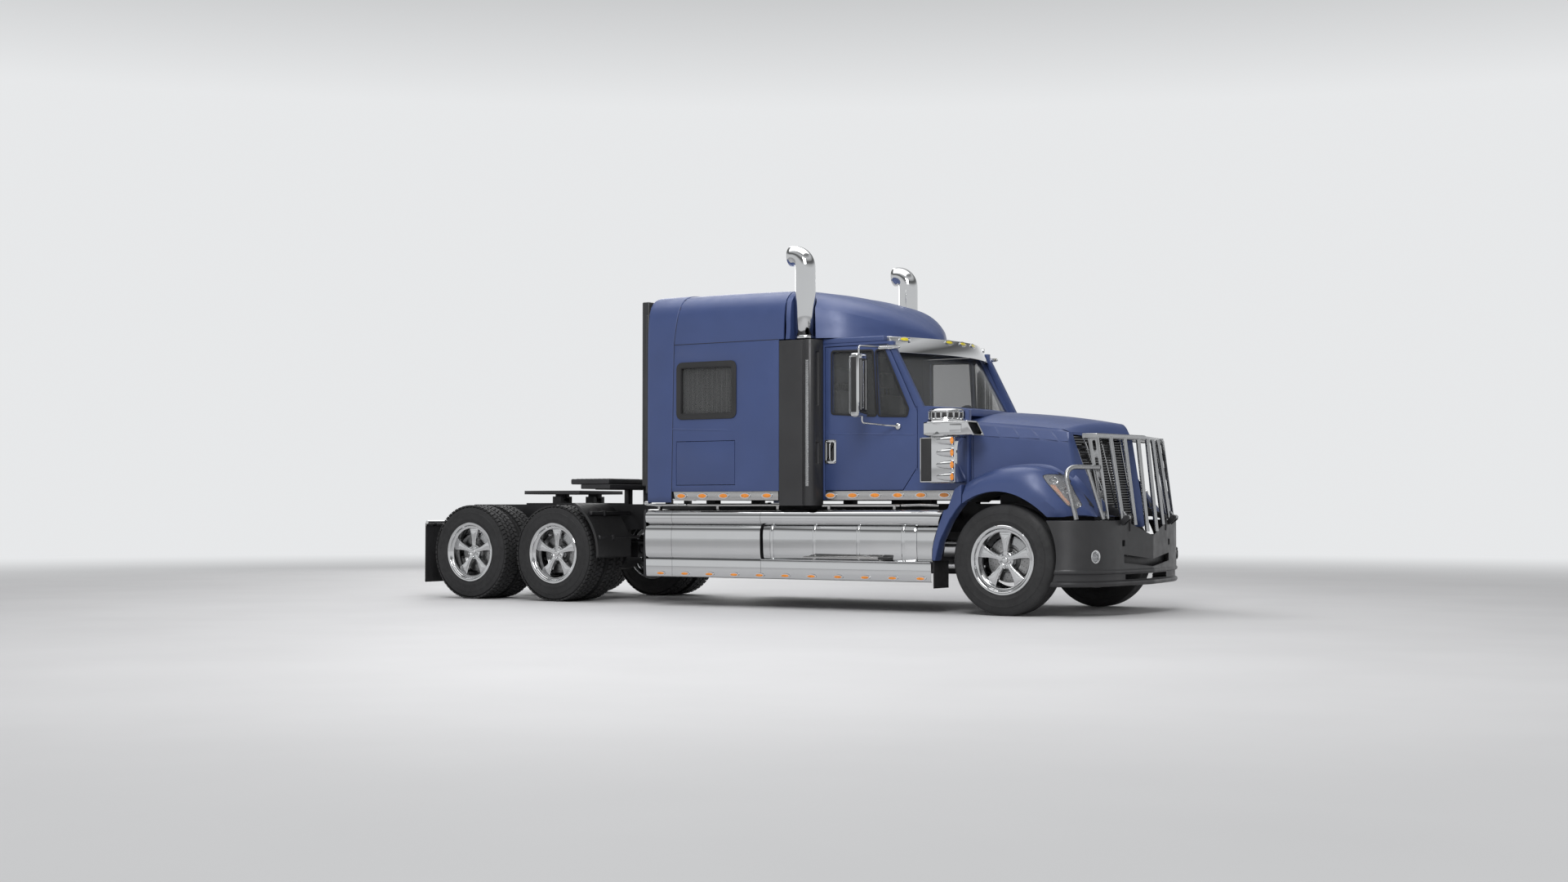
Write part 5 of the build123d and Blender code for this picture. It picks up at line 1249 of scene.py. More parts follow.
def hood_and_fenders():
    """Crown, flanks, nose frame, ridge, fenders and louvres as the tilting hood."""
    fender = sheet_of("fender", fender_rows(), -0.005, 38)
    skin = copied(fender, "lamp_skin", Matrix.Identity(4))
    cut_by(fender, [lamp_prism(0.0)])
    side = flank()
    reach = ARCH_R + 0.014
    cut_by(side, [drum("arch", reach, -0.50, -1.30, (a(ARCH_CENTRE[0]), 0, ARCH_CENTRE[1]), 96)])
    right = [side, fender, louvres()]
    half = joined("hood_half", right + [ridge(), brow_piece()])
    outline = [(0.672, 1.075), (0.712, 1.060), (0.976, 0.952), (0.990, 0.930), (0.970, 0.910), (0.690, 0.960)]
    arm = side_plate("hood_arm", eased([(a(x), z) for x, z in outline], 0.012, 3), -0.404, -0.020, 0.003)
    whole = both_sides(half, "hood_sides")
    whole = joined("hood_shell", [whole, crown()])
    dressed(whole, PAINT, "hood", body="hood")
    twinned("hood_arms", [arm], BLACK, body="hood")
    rows = []
    for turn in spread(radians(125), radians(37), 19):
        x, z = ARCH_CENTRE[0] + (ARCH_R + 0.012) * cos(turn), ARCH_CENTRE[1] + (ARCH_R + 0.012) * sin(turn)
        rows.append([(a(x), -out, z) for out in (0.64, 0.87, 1.10)])
    twinned("arch_liners", [sheet_of("arch_liner", rows, -0.004, 50)], PLASTIC, body="hood")
    lens = kept_within(skin, lamp_prism(-0.004))
    lens.name = "lamp_lens"
    twinned("lamp_lenses", [lens], LENS, "headlamps", body="hood")
    back = sheet_of("lamp_bucket", fender_rows(0.050), -0.004, 40)
    back = kept_within(back, lamp_prism(0.02))
    walls = side_plate("lamp_wall", eased(grown([(a(x), z) for x, z in LAMP_OUTLINE], 0.004), 0.02, 3), -1.30, 0.62, 0)
    cut_by(walls, [lamp_prism(-0.001)])
    thick = sheet_of("thick", fender_rows(0.004), -0.048, 40)
    walls = kept_within(walls, thick)
    twinned("lamp_buckets", [back, walls], PLASTIC, body="hood")
    amber = sheet_of("lamp_amber", fender_rows(0.022), -0.010, 40)
    strip = [(0.440, 1.235), (0.470, 1.240), (0.560, 1.118), (0.632, 1.040), (0.600, 1.046), (0.505, 1.160)]
    amber = kept_within(amber, side_plate("strip", eased([(a(x), z) for x, z in strip], 0.008, 3), -1.30, 0.62, 0))
    twinned("lamp_ambers", [amber], AMBER, body="hood")
    bowls = []
    for x, out, z, radius in ((0.462, 1.045, 1.272, 0.036), (0.540, 0.995, 1.165, 0.036), (0.655, 0.925, 1.040, 0.022)):
        section = [
            (AXIS_R, 0.030), (radius * 0.45, 0.026), (radius * 0.8, 0.012), (radius, -0.006), (radius + 0.004, -0.008),
            (radius + 0.004, 0.004), (radius * 0.85, 0.022), (radius * 0.4, 0.036), (AXIS_R, 0.040),
        ]
        bowl = turned("bowl", section, (0, 0, 0), 28)
        bulb = turned(
            "bulb", [(AXIS_R, -0.004), (0.006, -0.001), (0.009, 0.008), (0.007, 0.030), (AXIS_R, 0.030)], (0, 0, 0), 14,
        )
        turn = moved(a(x), -out, z) @ Matrix.Rotation(radians(48), 4, "Z") @ Matrix.Rotation(radians(-12), 4, "X")
        pair = joined("bowl", [bowl, bulb])
        pair.data.transform(turn)
        bowls.append(pair)
    twinned("lamp_bowls", bowls, CHROME, body="hood")


BLADE_PITCH = 0.0245


def grille():
    """Chrome blades over a dark screen, with the bars between their fields."""
    blades, screens, bars = [], [], []
    z = 0.958
    while z < 1.700:
        outer = between(GRILLE_EDGE, z, 1) - 0.006
        inner = between(GRILLE_EDGE, z, 2) + 0.004
        rows = []
        for out in (outer, inner):
            front = nose_at(out, z, 0.014)
            ring = [
                front, front + Vector((-0.002, 0, 0.0045)), front + Vector((-0.020, 0, 0.0075)),
                front + Vector((-0.020, 0, 0.0035)),
            ]
            rows.append([tuple(place) for place in ring + ring[:1]])
        blades.append(outward(sheet_of("blade", rows, 0, 30)))
        z += BLADE_PITCH
    rows = []
    for height in spread(0.94, 1.712, 10):
        outer = between(GRILLE_EDGE, height, 1)
        inner = between(GRILLE_EDGE, height, 2) - 0.002
        rows.append([tuple(nose_at(outer + (inner - outer) * step / 3, height, 0.040)) for step in range(4)])
    screens.append(sheet_of("screen", rows, 0.003, 30))
    ties = (
        # out and height at the top and at the foot, half width, set back
        (0.560, 1.700, 0.400, 1.050, 0.0035, 0.006),
        (0.352, 1.690, 0.285, 0.955, 0.0035, 0.006),
        (0.120, 1.672, 0.098, 0.950, 0.0030, 0.008),
    )
    for top_out, top_z, low_out, low_z, half, back in ties:
        rows = []
        for t in spread(0.0, 1.0, 7):
            out, height = top_out + (low_out - top_out) * t, top_z + (low_z - top_z) * t
            front = nose_at(out, height, back)
            ring = [
                front + Vector((0, -half, 0)), front + Vector((0.003, 0, 0)), front + Vector((0, half, 0)),
                front + Vector((-0.012, half, 0)), front + Vector((-0.012, -half, 0)),
            ]
            rows.append([tuple(place) for place in ring + ring[:1]])
        bars.append(outward(sheet_of("tie", rows, 0, 30)))
    rim = []
    for edge in (1, 2):
        path = [
            tuple(nose_at(between(GRILLE_EDGE, height, edge) + (-0.003 if edge == 1 else 0.002), height, 0.004))
            for height in spread(0.945, 1.662, 12)
        ]
        rim.append(rod("rim", path, 0.0032, 0, 10))
    twinned("grille_blades", blades + bars + rim, CHROME, "grille", body="hood")
    twinned("grille_screens", screens, PLASTIC, body="hood")


# ---------------------------------------------------------------- bumper and guard

BUMPER_PLAN = [
    # x from the axle, out
    (1.022, 0.0), (0.990, 0.275), (0.957, 0.55), (0.929, 0.76), (0.872, 0.965), (0.770, 1.118), (0.625, 1.198),
    (0.43, 1.213),
]
BUMPER_PROFILE = [
    # inward, z down the face, round the lip and under the foot
    (0.010, 0.900), (0.002, 0.897), (0.000, 0.889), (0.000, 0.446), (-0.004, 0.436), (-0.010, 0.428), (-0.011, 0.416),
    (-0.004, 0.404), (0.010, 0.398), (0.013, 0.390), (0.013, 0.340), (0.004, 0.333), (-0.008, 0.326), (-0.011, 0.312),
    (-0.006, 0.296), (0.006, 0.286), (0.024, 0.283),
]


FOG_SIZE = (0.082, 0.112)


def ring_rows(plan, profile, count):
    """Rows along a plan curve of (x, out) for each (inward, z) of a profile, on the right."""
    curve = flowing([(x, out, 0) for x, out in plan], count)
    rows = []
    for inward, z in profile:
        row = []
        for index, place in enumerate(curve):
            way = curve[min(index + 1, count - 1)] - curve[max(index - 1, 0)]
            outward = Vector((way.y, -way.x, 0)).normalized()
            spot = place - outward * inward
            if index == 0:
                spot = Vector((place.x - inward, 0, 0))
            row.append((a(spot.x), -spot.y, z))
        rows.append(row)
    return rows


def through_front(outline, low=0.80, high=1.20):
    """Cutter from a closed (y, z) outline running fore and aft through the bumper."""
    return plate("cutter", [(a(low), y, z) for y, z in outline], (high - low, 0, 0), 0)


def fog_place(side):
    """Place and heading of the fog lamp on a side."""
    return moved(a(0.858), side * 0.99, 0.5635) @ Matrix.Rotation(side * radians(38), 4, "Z")


def front_bumper():
    """Steel shell with its lips, air slots, tow openings and fog lamp holes."""
    shell = both_sides(sheet_of("shell", ring_rows(BUMPER_PLAN, BUMPER_PROFILE, 64), 0.0, 30), "front_bumper")
    cleaned(shell, 0.0001)
    changed(shell, "SOLIDIFY", thickness=0.009, offset=-1.0)
    cutters = [
        through_front([(-0.55, 1.0), (-0.55, 0.905), (0.0, 0.751), (0.55, 0.905), (0.55, 1.0)]),
        through_front(eased(
            [(-0.552, 0.579), (0.0, 0.528), (0.552, 0.579), (0.552, 0.500), (0.0, 0.457), (-0.552, 0.500)], 0.008, 3,
        )),
        through_front(eased([(-0.506, 0.392), (0.506, 0.392), (0.506, 0.342), (-0.506, 0.342)], 0.006, 3)),
    ]
    for side in (-1, 1):
        y = side * 0.557
        cutters.append(through_front(eased(
            [(y - 0.028, 0.655), (y + 0.028, 0.655), (y + 0.028, 0.715), (y - 0.028, 0.715)], 0.010, 3,
        )))
        hole = plate("hole", [(0.12, y, z) for y, z in oval(*FOG_SIZE, 28)], (-0.24, 0, 0), 0)
        hole.data.transform(fog_place(side))
        cutters.append(hole)
        cutters.append(drum("arch", ARCH_R + 0.009, 0.30, -0.30, (a(ARCH_CENTRE[0]), side * 1.2, ARCH_CENTRE[1]), 96))
    cut_by(shell, cutters)
    smoothed(shell, 28)
    dressed(shell, DARK_STEEL, "bumper")
    fogs, lenses = [], []
    for side in (-1, 1):
        turn = fog_place(side) @ Matrix.Rotation(radians(90), 4, "Z")
        rings = []
        for grow, y in (
            (0.000, 0.000), (0.006, -0.006), (0.006, -0.010), (-0.004, -0.011), (-0.010, -0.004), (-0.012, 0.032),
        ):
            outline = grown(oval(*FOG_SIZE, 32), grow)
            rings.append([(x, y, z) for x, z in outline + outline[:1]])
        bezel = sheet_of("bezel", rings, 0, 50)
        bezel.data.transform(turn)
        fogs.append(bezel)
        bowl = []
        for share, y in ((1.0, 0.022), (0.9, 0.040), (0.6, 0.056), (0.2, 0.062), (0.02, 0.063)):
            outline = [(x * share, z * share) for x, z in grown(oval(*FOG_SIZE, 32), -0.012)]
            bowl.append([(x, y, z) for x, z in outline + outline[:1]])
        dish = sheet_of("dish", bowl, 0, 60)
        dish.data.transform(turn)
        fogs.append(dish)
        lens = side_plate("fog_lens", grown(oval(*FOG_SIZE, 32), -0.0115), 0.006, 0.006, 0.002)
        lens.data.transform(turn)
        lenses.append(lens)
    dressed(joined("fog_lamps", fogs), CHROME)
    dressed(joined("fog_lenses", lenses), LENS)
    inside = []
    for side in (-1, 1):
        inside.append(block("bumper_arm", (a(0.45), side * 0.432, 0.56), (a(0.945), side * 0.452, 0.76), 0.004))
        outline = [(a(0.944), 0.780), (a(0.978), 0.800), (a(0.984), 0.948), (a(0.948), 0.948)]
        inside.append(side_plate("hood_lug", outline, side * 0.442 - 0.008, 0.016, 0.003))
        inside.append(drum("hood_pin", 0.012, -0.03, 0.03, (a(0.97), side * 0.428, 0.93), 20))
        for ear_y in (side * 0.58 - 0.031, side * 0.58 + 0.031):
            ear = [
                (a(0.950), 0.880), (a(0.962), 0.850), (a(1.030), 0.905), (a(1.034), 0.935), (a(1.018), 0.950),
                (a(0.998), 0.948), (a(0.950), 0.905),
            ]
            inside.append(side_plate("guard_ear", eased(ear, 0.008, 3), ear_y - 0.006, 0.012, 0.002))
        inside.append(drum("guard_pin", 0.010, -0.04, 0.04, (a(1.016), side * 0.58, 0.93), 20))
    beam = [
        (a(0.90), -0.60, 0.45), (a(0.945), 0.0, 0.45), (a(0.90), 0.60, 0.45), (a(0.86), 0.60, 0.45),
        (a(0.90), 0.0, 0.45), (a(0.86), -0.60, 0.45),
    ]
    inside.append(plate("bumper_beam", beam, (0, 0, 0.16), 0.006))
    dressed(joined("bumper_frame", inside), BLACK)


def guard_plate(y):
    """Side plate of the guard with its oblong slots."""
    outline = [(a(0.700), 1.700), (a(0.812), 1.700), (a(0.918), 0.906), (a(0.846), 0.906)]
    piece = side_plate("guard_plate", eased(outline, 0.02, 4), y - 0.006, 0.012, 0)
    cutters = []
    for share, length in ((0.12, 0.10), (0.34, 0.13), (0.58, 0.13), (0.82, 0.13)):
        x = a(0.756 + (0.882 - 0.756) * share)
        z = 1.700 + (0.906 - 1.700) * share
        slot = eased([(-0.017, length / 2), (0.017, length / 2), (0.017, -length / 2), (-0.017, -length / 2)], 0.017, 5)
        cutter = side_plate("slot", slot, y - 0.03, 0.06, 0)
        cutter.data.transform(moved(x=x, z=z) @ Matrix.Rotation(radians(-8.5), 4, "Y"))
        cutters.append(cutter)
    cut_by(piece, cutters)
    return softened(piece, 0.002, 2)


def front_guard():
    """Brushed guard: top bar, six uprights, slotted side plates and the hoops over the lamps."""
    pieces = []
    half = [(a(0.952), 0.0), (a(0.806), -0.812), (a(0.690), -0.826)]
    plan = [(x, y) for x, y in half] + [(x, -y) for x, y in reversed(half[1:])]
    back = [(a(0.650), 0.812), (a(0.768), 0.795), (a(0.905), 0.0), (a(0.768), -0.795), (a(0.650), -0.812)]
    pieces.append(plate("guard_top", [(x, y, 1.672) for x, y in plan + back], (0, 0, 0.046), 0.010, 3))
    for out in (-0.580, -0.345, -0.112, 0.112, 0.345, 0.580):
        along = abs(out)
        foot = min(0.900, 0.751 + (0.900 - 0.751) * along / 0.55) + 0.010
        ends = [(a(1.023) - 0.118 * along, out, foot), (a(0.937) - 0.175 * along, out, 1.690)]
        pieces.append(rod("upright", ends, 0.022, 0, 28))
    for side in (-1, 1):
        pieces.append(guard_plate(side * 0.80))
        hoop = [(a(0.722), side * 1.105, 0.907), (a(0.592), side * 1.090, 1.400), (a(0.820), side * 0.805, 1.398)]
        pieces.append(rod("hoop", hoop, 0.023, 0.16, 28))
        pieces.append(rod("brace", [(a(0.735), side * 0.885, 1.398), (a(0.880), side * 0.850, 0.910)], 0.019, 0, 24))
        foot = [
            (a(0.942), 0.912), (a(1.000), 0.906), (a(1.034), 0.914), (a(1.036), 0.944), (a(1.000), 0.952),
            (a(0.975), 0.985), (a(0.942), 0.985),
        ]
        pieces.append(side_plate("guard_foot", eased(foot, 0.008, 3), side * 0.58 - 0.014, 0.028, 0.003))
    dressed(joined("front_guard", pieces), BRUSHED, "bull_bar", body="guard")


# ---------------------------------------------------------------- air cleaners

CLEANER_X = -0.635
CLEANER_OUT = 1.097


def upright(name, section, x, out, steps=48, smooth=35):
    """A closed (radius, z) section turned about an upright axis on the right."""
    piece = turned(name, [(radius, -z) for radius, z in section], (0, 0, 0), steps, smooth)
    piece.data.transform(moved(a(x), -out, 0) @ Matrix.Rotation(radians(-90), 4, "X"))
    return piece


def air_cleaners():
    """Chrome canisters with a dark band, four pointed ribs with lamps, a snout and a louvred lid."""
    shell = [
        (AXIS_R, 1.256), (0.172, 1.256), (0.184, 1.262), (0.188, 1.274), (0.188, 1.690), (0.180, 1.700),
        (AXIS_R, 1.700),
    ]
    body = upright("canister", shell, CLEANER_X, CLEANER_OUT, 56)
    casing = [
        (-0.832, 1.052), (-0.845, 1.150), (-0.845, 1.245), (-0.832, 1.280), (-0.800, 1.290), (-0.520, 1.290),
        (-0.462, 1.268), (-0.440, 1.215), (-0.440, 1.052),
    ]
    case = plate("casing", [(a(x), -out, 1.262) for x, out in casing], (0, 0, 0.430), 0.006, 3)
    collar = upright(
        "collar",
        [
            (AXIS_R, 1.698), (0.188, 1.698), (0.200, 1.706), (0.204, 1.716), (0.198, 1.730), (0.194, 1.800),
            (0.199, 1.812), (0.203, 1.824), (0.203, 1.842), (0.196, 1.850), (AXIS_R, 1.850),
        ],
        CLEANER_X, CLEANER_OUT, 56,
    )
    lid = upright(
        "lid",
        [
            (AXIS_R, 1.848), (0.186, 1.848), (0.190, 1.856), (0.186, 1.866), (0.176, 1.872), (0.172, 1.880),
            (0.172, 1.938), (0.178, 1.944), (0.180, 1.952), (0.170, 1.964), (0.140, 1.974), (0.08, 1.979),
            (AXIS_R, 1.980),
        ],
        CLEANER_X, CLEANER_OUT, 56,
    )
    ribs = []
    for index in range(18):
        turn = moved(a(CLEANER_X), -CLEANER_OUT, 0) @ Matrix.Rotation(index * pi / 9, 4, "Z")
        fin = block("fin", (0.168, -0.007, 1.874), (0.180, 0.007, 1.946), 0.003)
        fin.data.transform(turn)
        ribs.append(fin)
    horn = []
    for x, low, high, inner, outer in (
        (-0.800, 1.730, 1.820, 1.060, 1.200), (-0.815, 1.720, 1.835, 1.060, 1.240),
        (-0.790, 1.712, 1.842, 1.060, 1.278),
        (-0.740, 1.709, 1.845, 1.062, 1.292), (-0.500, 1.709, 1.845, 1.070, 1.296),
        (-0.340, 1.709, 1.845, 1.080, 1.292),
        (-0.326, 1.704, 1.850, 1.076, 1.297), (-0.316, 1.706, 1.848, 1.078, 1.295),
        (-0.320, 1.720, 1.834, 1.092, 1.281),
        (-0.44, 1.724, 1.830, 1.096, 1.277),
    ):
        lean = 0.075 * min(1.0, max(0.0, (x + 0.60) / 0.25))
        corners = [(inner, low), (outer, low), (outer, high), (inner, high)]
        ring = [(a(x) + lean * (0.5 - (z - 1.776) / 0.14), -out, z) for out, z in eased(corners, 0.016, 3)]
        horn.append(ring + ring[:1])
    snout = outward(sheet_of("snout", horn, 0, 40))
    panel = block("snout_side", (a(-0.50), -1.299, 1.735), (a(-0.375), -1.290, 1.820), 0.004)
    pieces = [body, case, collar, lid, snout, panel] + ribs
    tips, lamps = [], []
    for z in (1.313, 1.427, 1.543, 1.658):
        section = [
            (AXIS_R, -0.688), (0.007, -0.680), (0.022, -0.655), (0.034, -0.615), (0.043, -0.560), (0.047, -0.500),
            (0.046, -0.478), (0.042, -0.466), (AXIS_R, -0.466),
        ]
        cone = turned("scoop", [(radius, x) for radius, x in section], (0, 0, 0), 28)
        cone.data.transform(moved(a(0), -1.268, z) @ Matrix.Rotation(radians(-90), 4, "Z"))
        tips.append(cone)
        lens = side_plate("scoop_lens", oval(0.034, 0.070, 20), 0, -0.012, 0.004, 3)
        lens.data.transform(moved(a(-0.474), -1.300, z) @ Matrix.Rotation(radians(32), 4, "Z"))
        lamps.append(lens)
    chrome = joined("chrome_air_cleaners", pieces + tips)
    for point in chrome.data.vertices:
        point.co.y = min(point.co.y, -CAB_HALF - 0.0005)
    twinned("chrome_air_cleaners", [chrome], CHROME, "air_cleaners")
    twinned("scoop_lenses", lamps, AMBER)
    dark = [block("band", (a(-0.816), -1.2935, 1.272), (a(-0.700), -1.275, 1.684), 0.004)]
    # dark block in the snout's opening: painted shade inside the intake
    dark.append(block("mouth", (a(-0.46), -1.276, 1.728), (a(-0.40), -1.100, 1.826), 0.002))
    # dark blocks between the lid's fins: painted shade in the slots
    for index in range(18):
        turn = moved(a(CLEANER_X), -CLEANER_OUT, 0) @ Matrix.Rotation((index + 0.5) * pi / 9, 4, "Z")
        gap = block("lid_slot", (0.160, -0.020, 1.884), (0.1735, 0.020, 1.934), 0.003)
        gap.data.transform(turn)
        dark.append(gap)
    twinned("cleaner_darks", dark, PLASTIC)


# ---------------------------------------------------------------- visor and roofs


def visor_at(out, z):
    """Place on the visor's outer face."""
    share = (z - 2.552) / 0.164
    corner, centre, half = -1.250 - 0.095 * share, -1.000 - 0.056 * share, 0.985 - 0.005 * share
    belly = 0.010 * 4 * share * (1 - share)
    return Vector((a(centre - (centre - corner) * (out / half) ** 2 + belly), -out, z))


def sun_visor():
    """Chrome visor over the windshield with its five yellow lamps."""
    rows = []
    for z in (2.554, 2.558, 2.60, 2.64, 2.68, 2.708, 2.7155):
        row = [tuple(visor_at(out, z)) for out in spread(-0.982, 0.982, 49)]
        tail = [tuple(visor_at(0.982, z) + Vector((-back, -0.003, 0))) for back in (0.05, 0.11)]
        head = [tuple(visor_at(-0.982, z) + Vector((-back, 0.003, 0))) for back in (0.11, 0.05)]
        rows.append(head + row + tail)
    blade = sheet_of("visor", rows, 0.0, 40)
    cleaned(blade)
    changed(blade, "SOLIDIFY", thickness=0.005, offset=0.0)
    tabs = [block("visor_tab", (a(-1.086), -0.04, 2.672), (a(-1.052), 0.04, 2.704), 0.003)]
    for side in (-1, 1):
        tabs.append(block(
            "visor_tab", (a(-1.256), side * 0.8 - 0.012, 2.668), (a(-1.20), side * 0.8 + 0.012, 2.706), 0.003,
        ))
    dressed(joined("visor", [blade] + tabs), CHROME, "sun_visor")
    lenses, rims = [], []
    lens, ring = oval_lamp("lamp", 0.105, 0.034, 0.012)
    for out in (-0.84, -0.26, 0.0, 0.26, 0.84):
        spot = visor_at(out, 2.690) + Vector((0.003, 0, 0))
        facing = radians(90) + atan2(-2 * 0.29 * out, 0.97)
        place = Matrix.Translation(spot) @ Matrix.Rotation(facing, 4, "Z") @ Matrix.Rotation(radians(-20), 4, "X")
        lenses.append(copied(lens, "lens", place))
        rims.append(copied(ring, "rim", place))
    for pattern in (lens, ring):
        bpy.data.objects.remove(pattern)
    dressed(joined("visor_lenses", lenses), YELLOW)
    dressed(joined("visor_bezels", rims), CHROME)


ROOF_SECTION = [
    (1.220, 2.723), (1.219, 2.80), (1.214, 2.90), (1.205, 3.00), (1.192, 3.07), (1.165, 3.135), (1.120, 3.190),
    (1.060, 3.225), (0.980, 3.245), (0.85, 3.256), (0.60, 3.264), (0.30, 3.267), (0.0, 3.268),
]
FAIRING_STATIONS = [
    # station, then (out, z) from the lower edge over the three creases to the middle
    (-2.427, [(1.190, 2.725), (1.180, 2.930), (1.160, 3.115), (1.050, 3.212), (0.700, 3.247), (0.0, 3.255)]),
    (-2.150, [(1.130, 2.725), (1.095, 2.880), (1.055, 3.042), (0.900, 3.160), (0.580, 3.202), (0.0, 3.214)]),
    (-1.900, [(1.025, 2.725), (0.985, 2.855), (0.945, 2.990), (0.750, 3.105), (0.480, 3.140), (0.0, 3.152)]),
    (-1.700, [(0.845, 2.725), (0.805, 2.830), (0.760, 2.935), (0.580, 3.040), (0.360, 3.068), (0.0, 3.080)]),
    (-1.540, [(0.625, 2.725), (0.590, 2.800), (0.550, 2.878), (0.410, 2.955), (0.250, 2.983), (0.0, 2.993)]),
    (-1.420, [(0.395, 2.725), (0.370, 2.775), (0.345, 2.828), (0.260, 2.880), (0.160, 2.900), (0.0, 2.908)]),
    (-1.330, [(0.200, 2.725), (0.185, 2.755), (0.170, 2.783), (0.130, 2.810), (0.080, 2.820), (0.0, 2.825)]),
    (-1.283, [(0.080, 2.725), (0.074, 2.732), (0.066, 2.740), (0.050, 2.748), (0.030, 2.754), (0.0, 2.757)]),
]


def sleeper_roof():
    """Rounded raised roof of the sleeper."""
    half = flowing([(0, out, z) for out, z in ROOF_SECTION], 28)
    rows = []
    for x, droop, inset in (
        (-4.132, 0.0, 0.010), (-4.139, 0.0, 0.004), (-4.139, 0.0, 0.0), (-3.7, 0.0, 0.0), (-3.2, 0.002, 0.0),
        (-2.8, 0.008, 0.0), (-2.433, 0.016, 0.0),
    ):
        right = []
        for place in half:
            share = max(0.0, (place.z - 2.723) / 0.545)
            right.append((a(x), -(place.y - inset), place.z - droop * share - inset * share))
        rows.append(right + [(x1, -y1, z1) for x1, y1, z1 in reversed(right[:-1])])
    dressed(sheet_of("sleeper_roof_panel", rows, -0.018, 32), PAINT, "sleeper_roof")


# half-round notches of the fairing round the stacks
NOTCH_R = 0.114
NOTCH_OUT = 1.062


def roof_fairing():
    """Fairing falling from the raised roof to the windshield, with three creases a side."""
    lines = []
    for column in range(6):
        lines.append(flowing([(x, points[column][0], points[column][1]) for x, points in FAIRING_STATIONS], 44))
    rows = []
    for index in range(44):
        section = [line[index] for line in lines]
        fine = []
        for start, end, bulge in zip(section, section[1:], (-0.10, 0.06, 0.22, 0.14, 0.05)):
            way = end - start
            for t in (0, 0.25, 0.5, 0.75):
                fine.append(start.lerp(end, t) + Vector((0, way.z, -way.y)) * bulge * t * (1 - t) * 1.4)
        fine.append(section[-1])
        bottom = (a(section[0].x), 0.0, section[0].z)
        rows.append([bottom] + [(a(place.x), -place.y, place.z) for place in fine])
    rows.insert(0, [(a(-2.427), 0.0, 2.9)] * len(rows[0]))
    rows.append([(a(-1.279), 0.0, 2.73)] * len(rows[0]))
    whole = both_sides(sheet_of("fairing", rows, 0.0, 30), "fairing_panel")
    cleaned(whole, 0.0002)
    cutters = []
    for side in (-1, 1):
        outline = [
            (a(STACK_X) + NOTCH_R * cos(turn), side * (NOTCH_OUT - NOTCH_R * sin(turn)))
            for turn in spread(0.0, pi, 25)
        ]
        outline += [(a(-2.384), side * 1.30), (a(-1.95), side * 1.30)]
        cutters.append(plate("notch", [(x, y, 2.60) for x, y in outline], (0, 0, 1.0), 0))
    cut_by(whole, cutters)
    smoothed(whole, 13)
    dressed(whole, PAINT, "roof_fairing")


# ---------------------------------------------------------------- cowl


def cowl_skin():
    """Blue skin from the back of the hood to the windshield and the cab's sides, with its lip under the hood."""
    pairs = []
    for share in spread(0.0, 1.0, 15):
        out = 0.935 * share
        top = (-0.4225, out, crown_height(HOOD_TAIL, out))
        pairs.append((top, (-0.770 - 0.228 * share ** 2, 0.993 * share, 2.018)))
    for z, back_z in (
        (1.830, 1.930), (1.800, 1.900), (1.765, 1.860), (1.730, 1.80), (1.62, 1.66), (1.45, 1.46), (1.28, 1.28),
        (1.12, 1.12),
    ):
        pairs.append(((-0.4225, side_of_hood(HOOD_TAIL, z), z), (-0.580, 1.0455, back_z)))
    rows = []
    for share in (-0.03, 0.0, 0.04, 0.15, 0.3, 0.45, 0.6, 0.75, 0.9, 1.0):
        row = []
        for (x1, out1, z1), (x2, out2, z2) in pairs:
            if share < 0:
                row.append((a(-0.392), -(out1 - 0.010 * min(1.0, out1 / 0.9)), z1 - 0.010))
                continue
            dip = 0.012 * sin(pi * share)
            row.append((
                a(x1 + (x2 - x1) * share), -(out1 + (out2 - out1) * share), z1 + (z2 - z1) * share - dip * (1 - out1),
            ))
        rows.append(row)
        if share == 0.0:
            rows.insert(1, [(x + 0.001, y * 0.99 if abs(y) > 0.9 else y, z - 0.010) for x, y, z in row])
    twinned("cowl_skin", [sheet_of("cowl_skin", rows, -0.003, 30)], PAINT)


# ---------------------------------------------------------------- sleeper sides

FAR_Y = -BODY_HALF
CORNER_SEAM = [(1.10, -3.830), (2.723, -3.800), (3.00, -3.765), (3.20, -3.735), (3.268, -3.715)]
SLEEPER_FRAME = [(-3.742, 1.958), (-3.742, 2.512), (-3.028, 2.512), (-3.028, 1.958)]
SEAM_R = 0.0028


def side_profile(count):
    """(out, z) places from the sleeper's foot up its side and over the roof to the middle."""
    wall = [(BODY_HALF, 1.075 + (2.70 - 1.075) * step / 24) for step in range(25)]
    roof = flowing([(0, out, z) for out, z in ROOF_SECTION], count)
    return wall + [(place.y, place.z) for place in roof]


def seam_x(z):
    """X from the axle of the corner panel's seam at height z."""
    return between(CORNER_SEAM, z, 1)


def seam(places, body="chassis"):
    """Dark joint line along the places on the right, mirrored."""
    return twinned("panel_seam", [rod("seam", places, SEAM_R, 0, 8)], SEAL, body=body)


